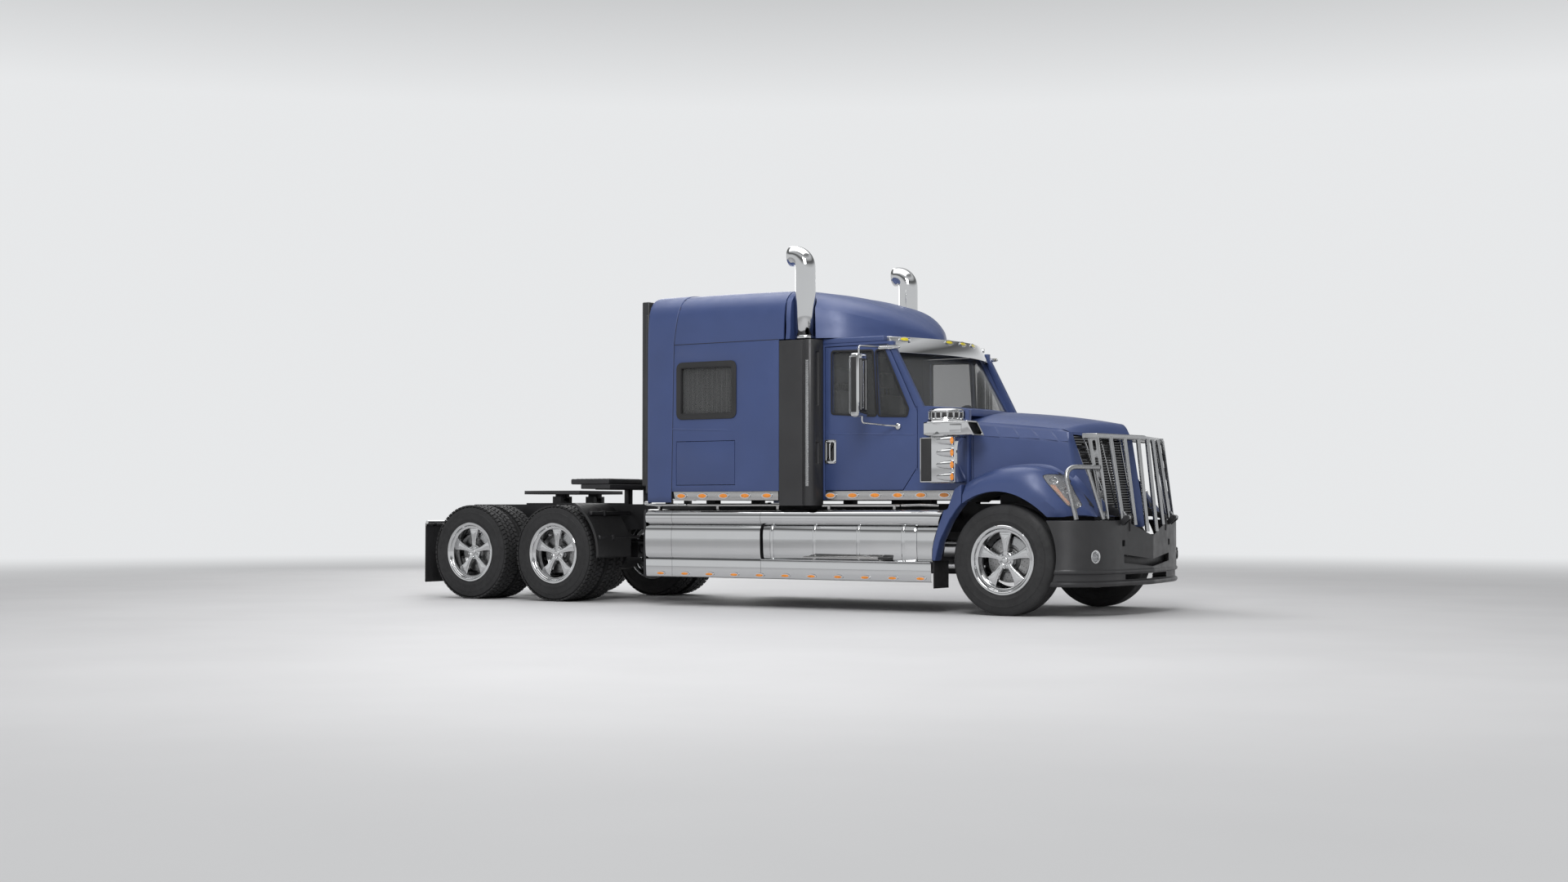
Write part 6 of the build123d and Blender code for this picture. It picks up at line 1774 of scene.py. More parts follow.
def sleeper_corners():
    """Proud corner panels at the back, the seams and the pressed ridge of the sleeper's sides."""
    profile = side_profile(30)
    rows = []
    for share, proud in (
        (0.0, -0.012), (0.012, -0.003), (0.04, 0.0025), (0.10, 0.004), (0.5, 0.004), (0.97, 0.004), (1.0, 0.0),
    ):
        row = []
        for out, z in profile:
            x = -4.1405 + (seam_x(z) + 4.1405) * share
            up = max(0.0, (z - 2.9) / 0.368)
            row.append((a(x), -(out + proud * (1 - up)), z + proud * up))
        rows.append(row)
    panel = changed(sheet_of("corner", rows, 0.0, 40), "SOLIDIFY", thickness=0.006, offset=0.0)
    twinned("sleeper_corner_panels", [panel], PAINT)
    up_seam = [(a(seam_x(z)) + 0.002, -out - 0.0005, z + (0.0005 if z > 2.9 else 0)) for out, z in profile[::2]]
    seam(up_seam)
    seam([(a(seam_x(2.723)), -BODY_HALF - 0.0005, 2.7235), (a(-2.49), -BODY_HALF - 0.0005, 2.7235)])
    ridge_line = flowing([(-3.994, 1.877, 0), (-3.805, 1.844, 0), (-3.224, 1.822, 0), (-2.884, 1.802, 0)], 24)
    rows = []
    for across, proud in ((-0.020, -0.001), (-0.006, 0.0035), (0.0, 0.005), (0.004, 0.003), (0.007, -0.001)):
        row = []
        for index, place in enumerate(ridge_line):
            fade = min(1.0, index / 4, (23 - index) / 8)
            row.append((a(place.x), -BODY_HALF - (proud + 0.001) * fade + 0.001, place.y + across))
        rows.append(row)
    twinned("sleeper_ridges", [sheet_of("swage", rows, 0, 60)], PAINT)
    feet = block("foot", (a(-4.175), -1.205, 1.040), (a(-3.66), -1.12, 1.062), 0.010, 3)
    toe = block("toe", (a(-4.215), -1.195, 1.044), (a(-4.15), -1.12, 1.088), 0.018, 3)
    twinned("corner_feet", [feet, toe], CHROME)


def sleeper_windows():
    """Rounded dark frames round the sleeper windows."""
    outline = eased([(a(x), z) for x, z in SLEEPER_FRAME], 0.055, 6)
    outer = border("window_frame", grown(outline, 0.022), 0.058, FAR_Y - 0.010, 0.012, 0.004)
    bead = border("window_bead", grown(outline, -0.030), 0.012, FAR_Y - 0.004, 0.030, 0.003)
    twinned("window_frames", [outer, bead], PLASTIC)


CURTAIN_X = (-3.775, -2.995)
CURTAIN_Z = (1.938, 2.530)
CURTAIN_OUT = 1.158
PLEATS = 13


def curtains():
    """Pleated curtains hung on a rod behind the sleeper windows."""
    rods = []
    for side in (-1, 1):
        ends = [(a(CURTAIN_X[0]), side * CURTAIN_OUT, 2.537), (a(CURTAIN_X[1]), side * CURTAIN_OUT, 2.537)]
        rods.append(rod("curtain_rod", ends, 0.006, 0, 12))
    dressed(joined("curtain_rods", rods), CHROME)
    for hand, side in SIDES:
        rows = []
        columns = PLEATS * 14
        for up in range(13):
            share = up / 12
            z = CURTAIN_Z[0] + (CURTAIN_Z[1] - CURTAIN_Z[0]) * share
            row = []
            for index in range(columns + 1):
                t = index / columns
                swing = sin(2 * pi * PLEATS * t + 0.5 * sin(5 * t) + 0.35 * (1 - share) * sin(9 * t))
                depth = 0.0092 * (0.72 + 0.28 * sin(11 * t + 2 * (1 - share)))
                drift = 0.004 * (1 - share) * sin(2 * pi * PLEATS * t * 0.5)
                x = CURTAIN_X[0] + (CURTAIN_X[1] - CURTAIN_X[0]) * t + drift
                row.append((a(x), side * (CURTAIN_OUT + depth * swing), z))
            rows.append(row)
        cloth = sheet_of(f"window_curtain_{hand}", rows, 0.0, 60)
        changed(cloth, "SOLIDIFY", thickness=0.0012, offset=0.0)
        dressed(cloth, CURTAIN_CLOTH, "curtains")


# ---------------------------------------------------------------- doors and mirrors

DOOR_WINDOWS = (
    [(-1.965, 1.960), (-1.965, 2.590), (-1.486, 2.580), (-1.446, 1.925)],
    [(-1.425, 1.925), (-1.455, 2.580), (-1.355, 2.580), (-1.085, 1.990), (-1.100, 1.915)],
)
HANDLE = (-2.045, -1.909, 1.462, 1.702)
HANDLE_X = -1.978
MIRROR_X = -1.472


def door_trim():
    """Window seals, pressed ridge and pull handle of each door."""
    for hand, side in SIDES:
        body = body_carrying(f"door_{hand}")
        face = side * CAB_HALF
        seals = []
        for window in DOOR_WINDOWS:
            outline = eased([(a(x), z) for x, z in window], 0.030, 4)
            seals.append(border("seal", grown(outline, 0.010), 0.020, face + side * 0.001, side * 0.005, 0.002))
        dressed(joined(f"door_seals_{hand}", seals), SEAL, body=body)
        rows = []
        line = flowing([(-1.985, 1.762, 0), (-1.60, 1.752, 0), (-1.20, 1.741, 0), (-1.02, 1.735, 0)], 20)
        for across, proud in ((-0.016, -0.001), (-0.005, 0.003), (0.0, 0.0042), (0.004, 0.0025), (0.007, -0.001)):
            rows.append([(a(place.x), face + side * proud, place.y + across) for place in line])
        dressed(sheet_of(f"door_ridge_{hand}", rows[::-side], 0, 60), PAINT, body=body)
        rear, front, low, high = HANDLE
        outline = eased([(a(rear), low), (a(rear), high), (a(front), high), (a(front), low)], 0.022, 4)
        surround = border("surround", outline, 0.026, face, side * 0.012, 0.004)
        bar = rod(
            "bar",
            [
                (a(HANDLE_X), face + side * 0.004, low + 0.03), (a(HANDLE_X), face + side * 0.018, low + 0.05),
                (a(HANDLE_X), face + side * 0.018, high - 0.05), (a(HANDLE_X), face + side * 0.004, high - 0.03),
            ],
            0.009, 0.014, 12,
        )
        knobs = []
        for x in (rear + 0.022, front - 0.022):
            for z in (low + 0.022, high - 0.022):
                knobs.append(turned(
                    "knob", [(AXIS_R, -0.006), (0.010, -0.006), (0.011, 0.0), (0.008, 0.005), (AXIS_R, 0.006)],
                    (a(x), face + side * 0.012, z), 16,
                ))
        dressed(joined(f"door_handle_{hand}", [surround, bar] + knobs), CHROME, body=body)
        well = side_plate(f"handle_well_{hand}", grown(outline, -0.024), face - side * 0.002, side * 0.0045, 0.001)
        dressed(well, PLASTIC, body=body)


def mirrors():
    """Upright mirror heads with a ribbed dark face, their arms, bracket and foot pad."""
    for hand, side in SIDES:
        body = body_carrying(f"mirror_{hand}")
        centre_y = side * (BODY_HALF + 0.130)
        section = eased([(-0.049, -0.099), (-0.049, 0.099), (0.049, 0.099), (0.049, -0.099)], 0.036, 6)
        shell = []
        for z, inset in (
            (1.906, 0.030), (1.907, 0.014), (1.914, 0.004), (1.928, 0.0), (2.505, 0.0), (2.519, 0.004), (2.526, 0.014),
            (2.527, 0.030),
        ):
            outline = grown(section, -inset)
            shell.append([(a(MIRROR_X) + x, centre_y + y, z) for x, y in outline + outline[:1]])
        head = outward(sheet_of("head", shell, 0, 40))
        caps = []
        for z in (1.9055, 2.5275):
            outline = grown(section, -0.028)
            caps.append(plate(
                "cap", [(a(MIRROR_X) + x, centre_y + y, z - 0.002) for x, y in outline], (0, 0, 0.004), 0.001,
            ))
        arms = [
            rod(
                "top_arm",
                [
                    (a(MIRROR_X), centre_y, 2.51), (a(MIRROR_X), centre_y, 2.603), (a(-1.41), side * 1.12, 2.607),
                    (a(-1.40), side * (CAB_HALF + 0.012), 2.607),
                ],
                0.009, 0.035, 12,
            ),
            rod(
                "low_arm",
                [
                    (a(-1.434), centre_y, 1.92), (a(-1.434), centre_y, 1.848), (a(-1.30), side * 1.13, 1.828),
                    (a(-1.20), side * (CAB_HALF + 0.012), 1.820),
                ],
                0.009, 0.035, 12,
            ),
        ]
        pad = turned(
            "pad", [(AXIS_R, 0.0), (0.030, 0.0), (0.032, 0.004), (0.030, 0.016), (0.018, 0.026), (AXIS_R, 0.028)],
            (0, 0, 0), 28,
        )
        pad.data.transform(moved(a(-1.198), face_of(side), 1.818) @ Matrix.Diagonal((1, side, 1, 1)))
        outward(pad)
        bracket = side_plate(
            "bracket",
            eased(
                [
                    (a(-1.423), 2.592), (a(-1.400), 2.626), (a(-1.190), 2.620), (a(-1.166), 2.596), (a(-1.20), 2.584),
                    (a(-1.39), 2.582),
                ],
                0.012, 3,
            ),
            face_of(side), side * 0.022, 0.005,
        )
        ribs = []
        for x in spread(-1.385, -1.205, 10):
            ribs.append(block(
                "rib", (a(x) - 0.005, face_of(side) + side * 0.018, 2.592),
                (a(x) + 0.005, face_of(side) + side * 0.028, 2.614), 0.002,
            ))
        chrome = joined(f"mirror_frame_{hand}", [head, pad, bracket] + caps + arms + ribs)
        dressed(chrome, CHROME, f"mirror_{hand}", body=body, slot="mirror_chrome")
        dark = []
        front = a(MIRROR_X) + 0.0485
        dark.append(block(
            "face", (front - 0.004, centre_y - 0.072, 1.960), (front + 0.003, centre_y + 0.072, 2.478), 0.003,
        ))
        outside = centre_y + side * 0.0985
        dark.append(block(
            "flank", (a(MIRROR_X) - 0.030, min(outside - 0.003, outside + 0.003), 1.950),
            (a(MIRROR_X) + 0.030, max(outside - 0.003, outside + 0.003), 2.488), 0.003,
        ))
        dressed(joined(f"mirror_darks_{hand}", dark), PLASTIC, body=body)
        strip = [block(
            "spine", (front + 0.002, centre_y - 0.012, 1.985), (front + 0.005, centre_y + 0.012, 2.453), 0.001,
        )]
        for z in spread(1.990, 2.448, 36):
            strip.append(block(
                "tooth", (front + 0.004, centre_y - 0.010, z - 0.0035), (front + 0.0085, centre_y + 0.010, z + 0.0035),
                0.001, 1,
            ))
        for y in (-0.050, 0.046):
            strip.append(rod(
                "trim", [(front + 0.004, centre_y + y, 1.975), (front + 0.004, centre_y + y, 2.463)], 0.0045, 0, 10,
            ))
        dressed(joined(f"mirror_strip_{hand}", strip), CHROME, body=body)
        glass = side_plate(
            "glass", eased([(-0.088, 1.928), (-0.088, 2.505), (0.088, 2.505), (0.088, 1.928)], 0.03, 4), 0, 0.004,
            0.001,
        )
        glass.data.transform(moved(a(MIRROR_X) - 0.0515, centre_y, 0) @ Matrix.Rotation(radians(90), 4, "Z"))
        glass.name = f"mirror_glass_{hand}"
        dressed(glass, CHROME, body=body, slot="mirror_chrome")


def face_of(side):
    """Y of the cab's outer face on a side."""
    return side * (CAB_HALF + 0.0005)


# ---------------------------------------------------------------- exhaust towers and stacks

TOWER_PLAN = [
    (-2.486, -1.057), (-2.486, -1.221), (-2.207, -1.221), (-2.203, -1.206), (-2.094, -1.206), (-2.060, -1.078),
    (-2.062, -1.057),
]


def exhaust_towers():
    """Grey towers behind the doors, each with its pipe, toothed strip and slotted front panel."""
    tower = plate("tower", [(a(x), y, 1.041) for x, y in TOWER_PLAN], (0, 0, 1.668), 0)
    cutters = []
    for low, high in ((2.043, 2.589), (1.460, 1.678)):
        slot = block("slot", (-0.016, -0.026, low), (0.016, 0.026, high), 0.0155, 4)
        slot.data.transform(moved(a(-2.077), -1.142) @ Matrix.Rotation(radians(-14.9), 4, "Z"))
        cutters.append(slot)
    cut_by(tower, cutters)
    tower = softened(tower, 0.005, 2)
    pipe = upright(
        "pipe", [(AXIS_R, 1.041), (0.055, 1.041), (0.056, 1.044), (0.056, 2.706), (0.054, 2.709), (AXIS_R, 2.709)],
        -2.145, BODY_HALF - 0.045, 40,
    )
    twinned("tower_panels", [tower, pipe], DARK_STEEL, "exhaust_towers")
    teeth = [block("strip", (a(-2.163), FAR_Y - 0.0135, 1.235), (a(-2.127), FAR_Y - 0.006, 2.505), 0.002)]
    for z in spread(1.250, 2.490, 84):
        teeth.append(block(
            "tooth", (a(-2.161), FAR_Y - 0.0165, z - 0.0042), (a(-2.129), FAR_Y - 0.010, z + 0.0042), 0.0015, 1,
        ))
    twinned("tower_strips", teeth, BRUSHED)


STACK_X = -2.270
STACK_R = 0.1035


def exhaust_stacks():
    """Chrome stacks bent rearwards at the top, open at the mouth."""
    centre = BODY_HALF - 0.158
    path = [(STACK_X, 2.728), (STACK_X, 3.00), (STACK_X, 3.28), (STACK_X, 3.41)]
    for turn in range(1, 13):
        angle = radians(90 * turn / 12)
        path.append((STACK_X - 0.125 * (1 - cos(angle)), 3.45 + 0.125 * sin(angle)))
    path.append((-2.435, 3.575))
    rows = []
    steps = 48
    for index, (x, z) in enumerate(path):
        before, after = path[max(0, index - 1)], path[min(len(path) - 1, index + 1)]
        way = Vector((after[0] - before[0], 0, after[1] - before[1])).normalized()
        side_way = Vector((0, 1, 0))
        third = way.cross(side_way)
        ring = []
        for step in range(steps + 1):
            angle = 2 * pi * step / steps
            place = Vector((a(x), -centre, z)) + (side_way * cos(angle) + third * sin(angle)) * STACK_R
            ring.append(tuple(place))
        rows.append(ring)
    stack = sheet_of("stack", rows, 0.0, 40)
    changed(stack, "SOLIDIFY", thickness=0.004, offset=-1.0)
    collar = upright(
        "collar",
        [
            (0.101, 2.7275), (0.106, 2.728), (0.1075, 2.734), (0.1075, 2.748), (0.105, 2.754), (0.101, 2.754),
            (0.101, 2.7275),
        ],
        STACK_X, centre, 48,
    )
    twinned("chrome_stacks", [stack, collar], CHROME, "exhaust_stacks")
    # black disc in the throat: the stack's soot, and painted shade of the tube's depth
    soot_and_shade_disc = drum("soot_and_shade_disc", 0.0985, 0.0, 0.003, steps=40)
    soot_and_shade_disc.data.transform(moved(a(-2.33), -centre, 3.567) @ Matrix.Rotation(radians(90), 4, "Z"))
    twinned("stack_throats", [soot_and_shade_disc], BLACK)


# ---------------------------------------------------------------- fenders, flaps and deck at the back

FENDER_R = TYRE_R + 0.070


def quarter_fenders():
    """Speckled quarter fenders, rear flaps on chrome hangers, and their brackets."""
    middle = MIDDLE_AXLE_X
    hub = 0.525
    rows = []
    for out, drop in (
        (0.606, 0.004), (0.612, -0.004), (0.625, 0.0), (0.90, 0.0), (1.175, 0.0), (1.186, -0.004), (1.190, 0.006),
        (1.190, 0.020),
    ):
        row = []
        for turn in spread(-4, 62, 30):
            radius = FENDER_R + 0.020 - drop
            row.append((middle + radius * cos(radians(turn)), -out, hub + radius * sin(radians(turn))))
        rows.append(row)
    fender = sheet_of("fender", rows, 0.0, 40)
    changed(fender, "SOLIDIFY", thickness=0.006, offset=0.0)
    twinned("quarter_fenders", [fender], PLASTIC, "rear_guards")
    bar_x, bar_z = middle + 0.638 * cos(radians(43)), hub + 0.638 * sin(radians(43))
    bars = [
        rod("fender_bar", [(bar_x, -0.43, bar_z), (bar_x, -1.135, bar_z)], 0.021, 0, 24),
        rod("low_bar", [(middle + 0.582, -0.42, 0.70), (middle + 0.582, -1.135, 0.70)], 0.017, 0, 20),
    ]
    for x, z in ((bar_x, bar_z), (middle + 0.582, 0.70)):
        bars.append(turned(
            "bar_end", [(AXIS_R, -0.010), (0.020, -0.008), (0.027, 0.0), (0.024, 0.012), (AXIS_R, 0.016)],
            (x, -1.135, z), 24,
        ))
        bars.append(block("clamp", (x - 0.030, -0.92, z - 0.030), (x + 0.030, -0.88, z + 0.030), 0.010, 3))
    twinned("fender_bars", bars, BLACK)
    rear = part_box("rear_guards")[0][0]
    rows = []
    for z in spread(0.176, 0.846, 12):
        row = []
        for out in spread(0.604, 1.196, 16):
            wave = 0.0025 * sin((out - 0.6) * 9) * (0.85 - z)
            row.append((rear + 0.008 + wave, -out, z))
        rows.append(row)
    flap = sheet_of("flap", rows, 0.0, 40)
    changed(flap, "SOLIDIFY", thickness=0.009, offset=0.0)
    flap = softened(flap, 0.003, 2)
    weight = [block("hem", (rear + 0.001, -1.195, 0.192), (rear + 0.004, -0.605, 0.206), 0.001)]
    weight += [block("hem", (rear + 0.001, -1.195, 0.250), (rear + 0.004, -0.605, 0.256), 0.001)]
    twinned("rear_flaps", [flap] + weight, SEAL, slot="flap_rubber")
    hanger = [rod("hanger", [(rear + 0.030, -0.43, 0.856), (rear + 0.030, -1.195, 0.856)], 0.020, 0, 28)]
    hanger.append(block("channel", (rear + 0.002, -1.194, 0.812), (rear + 0.018, -0.606, 0.852), 0.005))
    for out in spread(0.68, 1.12, 5):
        hanger.append(turned(
            "bolt", [(AXIS_R, -0.004), (0.011, -0.004), (0.012, 0.0), (0.010, 0.004), (AXIS_R, 0.005)], (0, 0, 0), 12,
        ))
        hanger[-1].data.transform(moved(rear + 0.001, -out, 0.832) @ Matrix.Rotation(radians(90), 4, "Z"))
    twinned("flap_hangers", hanger, CHROME)
    mounts = [block("mount", (rear + 0.040, -0.444, 0.822), (rear + 0.108, -0.4305, 0.958), 0.005)]
    twinned("flap_mounts", mounts, BLACK)


def front_flares():
    """Blue extensions behind the front wheels with rubber flaps below."""
    outline = [(-0.425, 1.060), (-0.425, 1.243), (-0.500, 1.198)]
    outline += STRIP_EDGE[:-1]
    outline += [(-0.712, 0.505), (-0.660, 0.700), (-0.552, 0.905), (-0.480, 1.000)]
    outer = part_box("fender_extensions")[1][1]
    shape = [(a(x), z) for x, z in outline]
    flare = side_plate("flare", shape, -outer + 0.001, outer - CAB_HALF - 0.022, 0.012, 3)
    twinned("front_fender_extensions", [flare], PAINT, "fender_extensions")
    flap = block("flap", (a(-0.744), -outer + 0.031, 0.242), (a(-0.734), -0.882, 0.543), 0.003)
    twinned("front_flaps", [flap], SEAL, slot="flap_rubber")
    arm = [block("flap_arm", (a(-0.744), -outer + 0.112, 0.507), (a(-0.714), -0.432, 0.543), 0.005)]
    arm.append(block("flap_hanger", (a(-0.744), -0.443, 0.507), (a(-0.714), -0.431, 0.898), 0.004))
    twinned("flap_arms", arm, BLACK)


def rear_deck():
    """Deck plates with raised tread bars, side boxes and posts behind the sleeper."""
    pieces = [
        block("deck", (a(-5.098), -1.148, 1.224), (a(-4.702), 1.148, 1.273), 0.008, 3),
        block("walk", (a(-5.478), -0.418, 1.2235), (a(-4.302), 0.418, 1.2485), 0.006),
    ]
    for side in (-1, 1):
        pieces.append(block(
            "deck_box", (a(-5.238), min(side * 0.482, side * 1.148), 1.274),
            (a(-4.717), max(side * 0.482, side * 1.148), 1.333), 0.014, 3,
        ))
        for x in (-5.06, -4.80):
            pieces.append(block(
                "post", (a(x), side * 0.385 - 0.040, 0.955), (a(x) + 0.060, side * 0.385 + 0.040, 1.222), 0.006,
            ))
            pieces.append(block(
                "post_foot", (a(x) - 0.012, side * 0.385 - 0.044, 0.951), (a(x) + 0.072, side * 0.385 + 0.044, 0.962),
                0.003,
            ))
        for x in spread(-5.19, -4.77, 8):
            low, high = sorted((side * 0.53, side * 1.10))
            pieces.append(block("tread", (a(x) - 0.006, low, 1.331), (a(x) + 0.006, high, 1.336), 0.002, 1))
    for x in spread(-5.44, -4.34, 20):
        pieces.append(block("tread", (a(x) - 0.006, -0.36, 1.2475), (a(x) + 0.006, 0.36, 1.2515), 0.002, 1))
    dressed(joined("deck_box", pieces), BLACK, "rear_deck")


# ---------------------------------------------------------------- inside the cab

SEAT_OUT = 0.48
DASH_LEAN = 8
WHEEL_AT = (-1.330, SEAT_OUT, 1.890)


def dashboard():
    """Padded dashboard with its hooded gauges, and the steering wheel."""
    front, half = (value - 0.001 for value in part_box("dashboard")[1][:2])
    section = [
        (front, 1.505), (front, 1.896), (a(-0.70), 1.897), (a(-0.90), 1.925), (a(-1.030), 1.948), (a(-1.085), 1.938),
        (a(-1.122), 1.905), (a(-1.126), 1.870), (a(-1.100), 1.700), (a(-0.962), 1.503),
    ]
    body = side_plate("dash", eased(section, 0.014, 3), -half, 2 * half, 0.010, 3)
    brow = sheet_of(
        "brow",
        [
            [(a(x), SEAT_OUT + out, z + 0.060 * max(0.0, 1 - (out / 0.27) ** 4)) for out in spread(-0.27, 0.27, 25)]
            for x, z in (
                (-0.93, 1.905), (-1.00, 1.918), (-1.09, 1.918), (-1.128, 1.902), (-1.128, 1.896), (-1.08, 1.880),
            )
        ],
        0.0, 50,
    )
    changed(brow, "SOLIDIFY", thickness=0.010, offset=0.0)
    dressed(joined("dashboard_panel", [body, brow]), TRIM, "dashboard")
    dials = []
    for out, radius in ((-0.16, 0.045), (-0.055, 0.058), (0.065, 0.058), (0.17, 0.045)):
        dial = turned(
            "dial",
            [
                (AXIS_R, -0.002), (radius - 0.006, -0.002), (radius - 0.004, -0.008), (radius, -0.008),
                (radius + 0.002, 0.004), (AXIS_R, 0.004),
            ],
            (0, 0, 0), 36,
        )
        place = moved(a(-1.118), SEAT_OUT + out, 1.815) @ Matrix.Rotation(radians(DASH_LEAN), 4, "Y")
        dial.data.transform(place @ Matrix.Rotation(radians(-90), 4, "Z"))
        dials.append(dial)
    for out in (-0.62, -0.42, -0.20, 0.02):
        vent = block("vent", (-0.006, -0.070, -0.030), (0.006, 0.070, 0.030), 0.004)
        vent.data.transform(moved(a(-1.112), out, 1.80) @ Matrix.Rotation(radians(DASH_LEAN), 4, "Y"))
        dials.append(vent)
    dressed(joined("dash_dials", dials), PLASTIC)
    rim = turned(
        "rim", [(0.215 + 0.0155 * cos(radians(t)), 0.0155 * sin(radians(t))) for t in range(0, 360, 24)], (0, 0, 0), 64,
    )
    parts = [rim]
    for angle in (90, 210, 330):
        way = Vector((cos(radians(angle)), 0, sin(radians(angle))))
        parts.append(rod("spoke", [tuple(way * 0.04 + Vector((0, 0.012, 0))), tuple(way * 0.21)], 0.012, 0, 12))
    parts.append(turned(
        "boss", [(AXIS_R, -0.022), (0.045, -0.020), (0.060, -0.008), (0.058, 0.018), (0.040, 0.028), (AXIS_R, 0.028)],
        (0, 0, 0), 36,
    ))
    wheel = joined("steering_wheel", parts)
    tilt = Vector((0, -1, 0)).rotation_difference(Vector((-sin(radians(62)), 0, cos(radians(62))))).to_matrix().to_4x4()
    wheel.data.transform(moved(a(WHEEL_AT[0]), *WHEEL_AT[1:]) @ tilt)
    column = rod("column", [(a(-1.300), SEAT_OUT, 1.874), (a(-1.10), SEAT_OUT, 1.768)], 0.034, 0, 24)
    dressed(joined("steering_wheel", [wheel, column]), PLASTIC)


SWELL_FRAMES = 20


def swollen(piece, cap):
    """Blow a closed cushion up as cloth, no point moving further than the cap."""
    changed(piece, "REMESH", mode="VOXEL", voxel_size=0.0085)
    start = [vertex.co.copy() for vertex in piece.data.vertices]
    cloth = piece.modifiers.new("cloth", "CLOTH")
    cloth.settings.use_pressure = True
    cloth.settings.uniform_pressure_force = 4.0
    cloth.settings.quality = 4
    cloth.settings.effector_weights.gravity = 0.0
    cloth.collision_settings.use_collision = False
    cloth.point_cache.frame_end = SWELL_FRAMES
    for frame_at in range(1, SWELL_FRAMES + 1):
        bpy.context.scene.frame_set(frame_at)
    only(piece)
    bpy.ops.object.modifier_apply(modifier="cloth")
    bpy.context.scene.frame_set(1)
    for vertex, place in zip(piece.data.vertices, start):
        way = vertex.co - place
        if way.length > cap:
            vertex.co = place + way * (cap / way.length)
    changed(piece, "SMOOTH", factor=0.5, iterations=3)
    return piece


def cushion(name, low, high, cap, channels=(), lean=0.0, about=(0, 0, 0)):
    """Crowned pad between two corners, drawn in between its corners, with sewn channels along X."""
    inset = cap * 0.7
    size = [h - l - 2 * inset for l, h in zip(low, high)]
    centre = [(l + h) / 2 for l, h in zip(low, high)]
    bpy.ops.object.select_all(action="DESELECT")
    bpy.ops.mesh.primitive_cube_add(size=1, location=centre, scale=size)
    piece = named(name)
    softened(piece, min(size) * 0.28, 4)
    swollen(piece, cap)
    top = max(vertex.co.z for vertex in piece.data.vertices)
    for vertex in piece.data.vertices:
        for row in channels:
            near = abs(vertex.co.y - row) / 0.016
            if near < 1 and vertex.co.z > centre[2]:
                vertex.co.z -= 0.010 * (1 - near) ** 2 * (vertex.co.z - centre[2]) / (top - centre[2])
        for axis in range(3):
            vertex.co[axis] = min(max(vertex.co[axis], low[axis] + 0.001), high[axis] - 0.001)
    if lean:
        piece.data.transform(
            Matrix.Translation(about) @ Matrix.Rotation(lean, 4, "Y") @ Matrix.Translation([-value for value in about])
        )
    only(piece)
    bpy.ops.object.shade_smooth()
    return piece


def seats():
    """Two sprung seats: pedestals, padded squabs, backs and headrests."""
    squab = cushion("squab", (a(-2.118), -0.248, 1.490), (a(-1.622), 0.248, 1.618), 0.022, (-0.125, 0.125))
    back = cushion("back", (a(-1.925) - 0.66, -0.238, 1.62), (a(-1.925), 0.238, 1.745), 0.022, (-0.12, 0.12))
    back.data.transform(
        moved(a(-2.118), 0, 1.60) @ Matrix.Rotation(radians(78.5), 4, "Y") @ moved(-a(-1.925), 0, -1.62)
    )
    head = cushion("head", (a(-2.279), -0.128, 2.292), (a(-2.165), 0.128, 2.478), 0.016)
    for pattern, fill in ((squab, 0.8), (back, 0.75), (head, 0.85)):
        for hand, side in SIDES:
            piece = copied(pattern, f"seat_{pattern.name}_{hand}", moved(y=side * SEAT_OUT))
            dressed(piece, SEAT_CLOTH, "seats")
        bpy.data.objects.remove(pattern)
    base = []
    for side in (-1, 1):
        y = side * SEAT_OUT
        base.append(block("pedestal", (a(-2.078), y - 0.168, 1.204), (a(-1.722), y + 0.168, 1.440), 0.02, 3))
        base.append(block("seat_pan", (a(-2.110), y - 0.235, 1.440), (a(-1.635), y + 0.235, 1.492), 0.014, 3))
        base.append(rod("stalk", [(a(-2.205), y - 0.04, 2.20), (a(-2.215), y - 0.04, 2.31)], 0.007, 0, 10))
        base.append(rod("stalk", [(a(-2.205), y + 0.04, 2.20), (a(-2.215), y + 0.04, 2.31)], 0.007, 0, 10))
    dressed(joined("seat_bases", base), PLASTIC)


def bunk():
    """Bunk box and its mattress across the back of the sleeper."""
    low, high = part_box("bunk")
    box = block(
        "bunk_box", (low[0] + 0.001, low[1] + 0.001, low[2] + 0.001), (high[0] - 0.001, high[1] - 0.001, 1.559), 0.012,
        3,
    )
    dressed(box, TRIM, "bunk")
    pad = cushion(
        "mattress", (low[0] + 0.012, low[1] + 0.012, 1.561), (high[0] - 0.022, high[1] - 0.012, high[2]), 0.022,
        (-0.55, 0.0, 0.55),
    )
    dressed(pad, MATTRESS_CLOTH, "bunk")


# ---------------------------------------------------------------- CAD nodes that stay

KEPT = {
    "frame_rails": BLACK, "crossmembers": BLACK, "front_axle": BLACK, "drive_axles": BLACK, "rear_suspension": BLACK,
    "powertrain": CAST, "cab_floor": BLACK, "cab_glass": GLASS, "fifth_wheel_base": BLACK,
    "knuckle_right": BLACK, "knuckle_left": BLACK, "door_glass_right": GLASS, "door_glass_left": GLASS,
}
# node, new piece, material, rounding
ROUNDED = (
    ("cab_sides", "cab_side_panels", PAINT, 0.006),
    ("cowl", "cowl_panel", PAINT, 0.006),
    ("cab_roof", "cab_roof_panel", PAINT, 0.010),
    ("sleeper_sides", "sleeper_side_panels", PAINT, 0.008),
    ("sleeper_back", "sleeper_back_panel", DARK_STEEL, 0.012),
    ("fifth_wheel", "coupling_plate", DARK_STEEL, 0.006),
    ("door_right", "door_panel_right", PAINT, 0.005),
    ("door_left", "door_panel_left", PAINT, 0.005),
    ("hatch_right", "hatch_panel_right", PAINT, 0.005),
    ("hatch_left", "hatch_panel_left", PAINT, 0.005),
)


def carried_over():
    """Finish for the CAD nodes that stay, and edges rounded on the others."""
    for node, finish_used in KEPT.items():
        painted(node, finish_used)
    for node, name, finish_used, width in ROUNDED:
        dressed(rounded_from(node, name, width), finish_used, node, body=body_carrying(node))


# ---------------------------------------------------------------- floor, light and camera

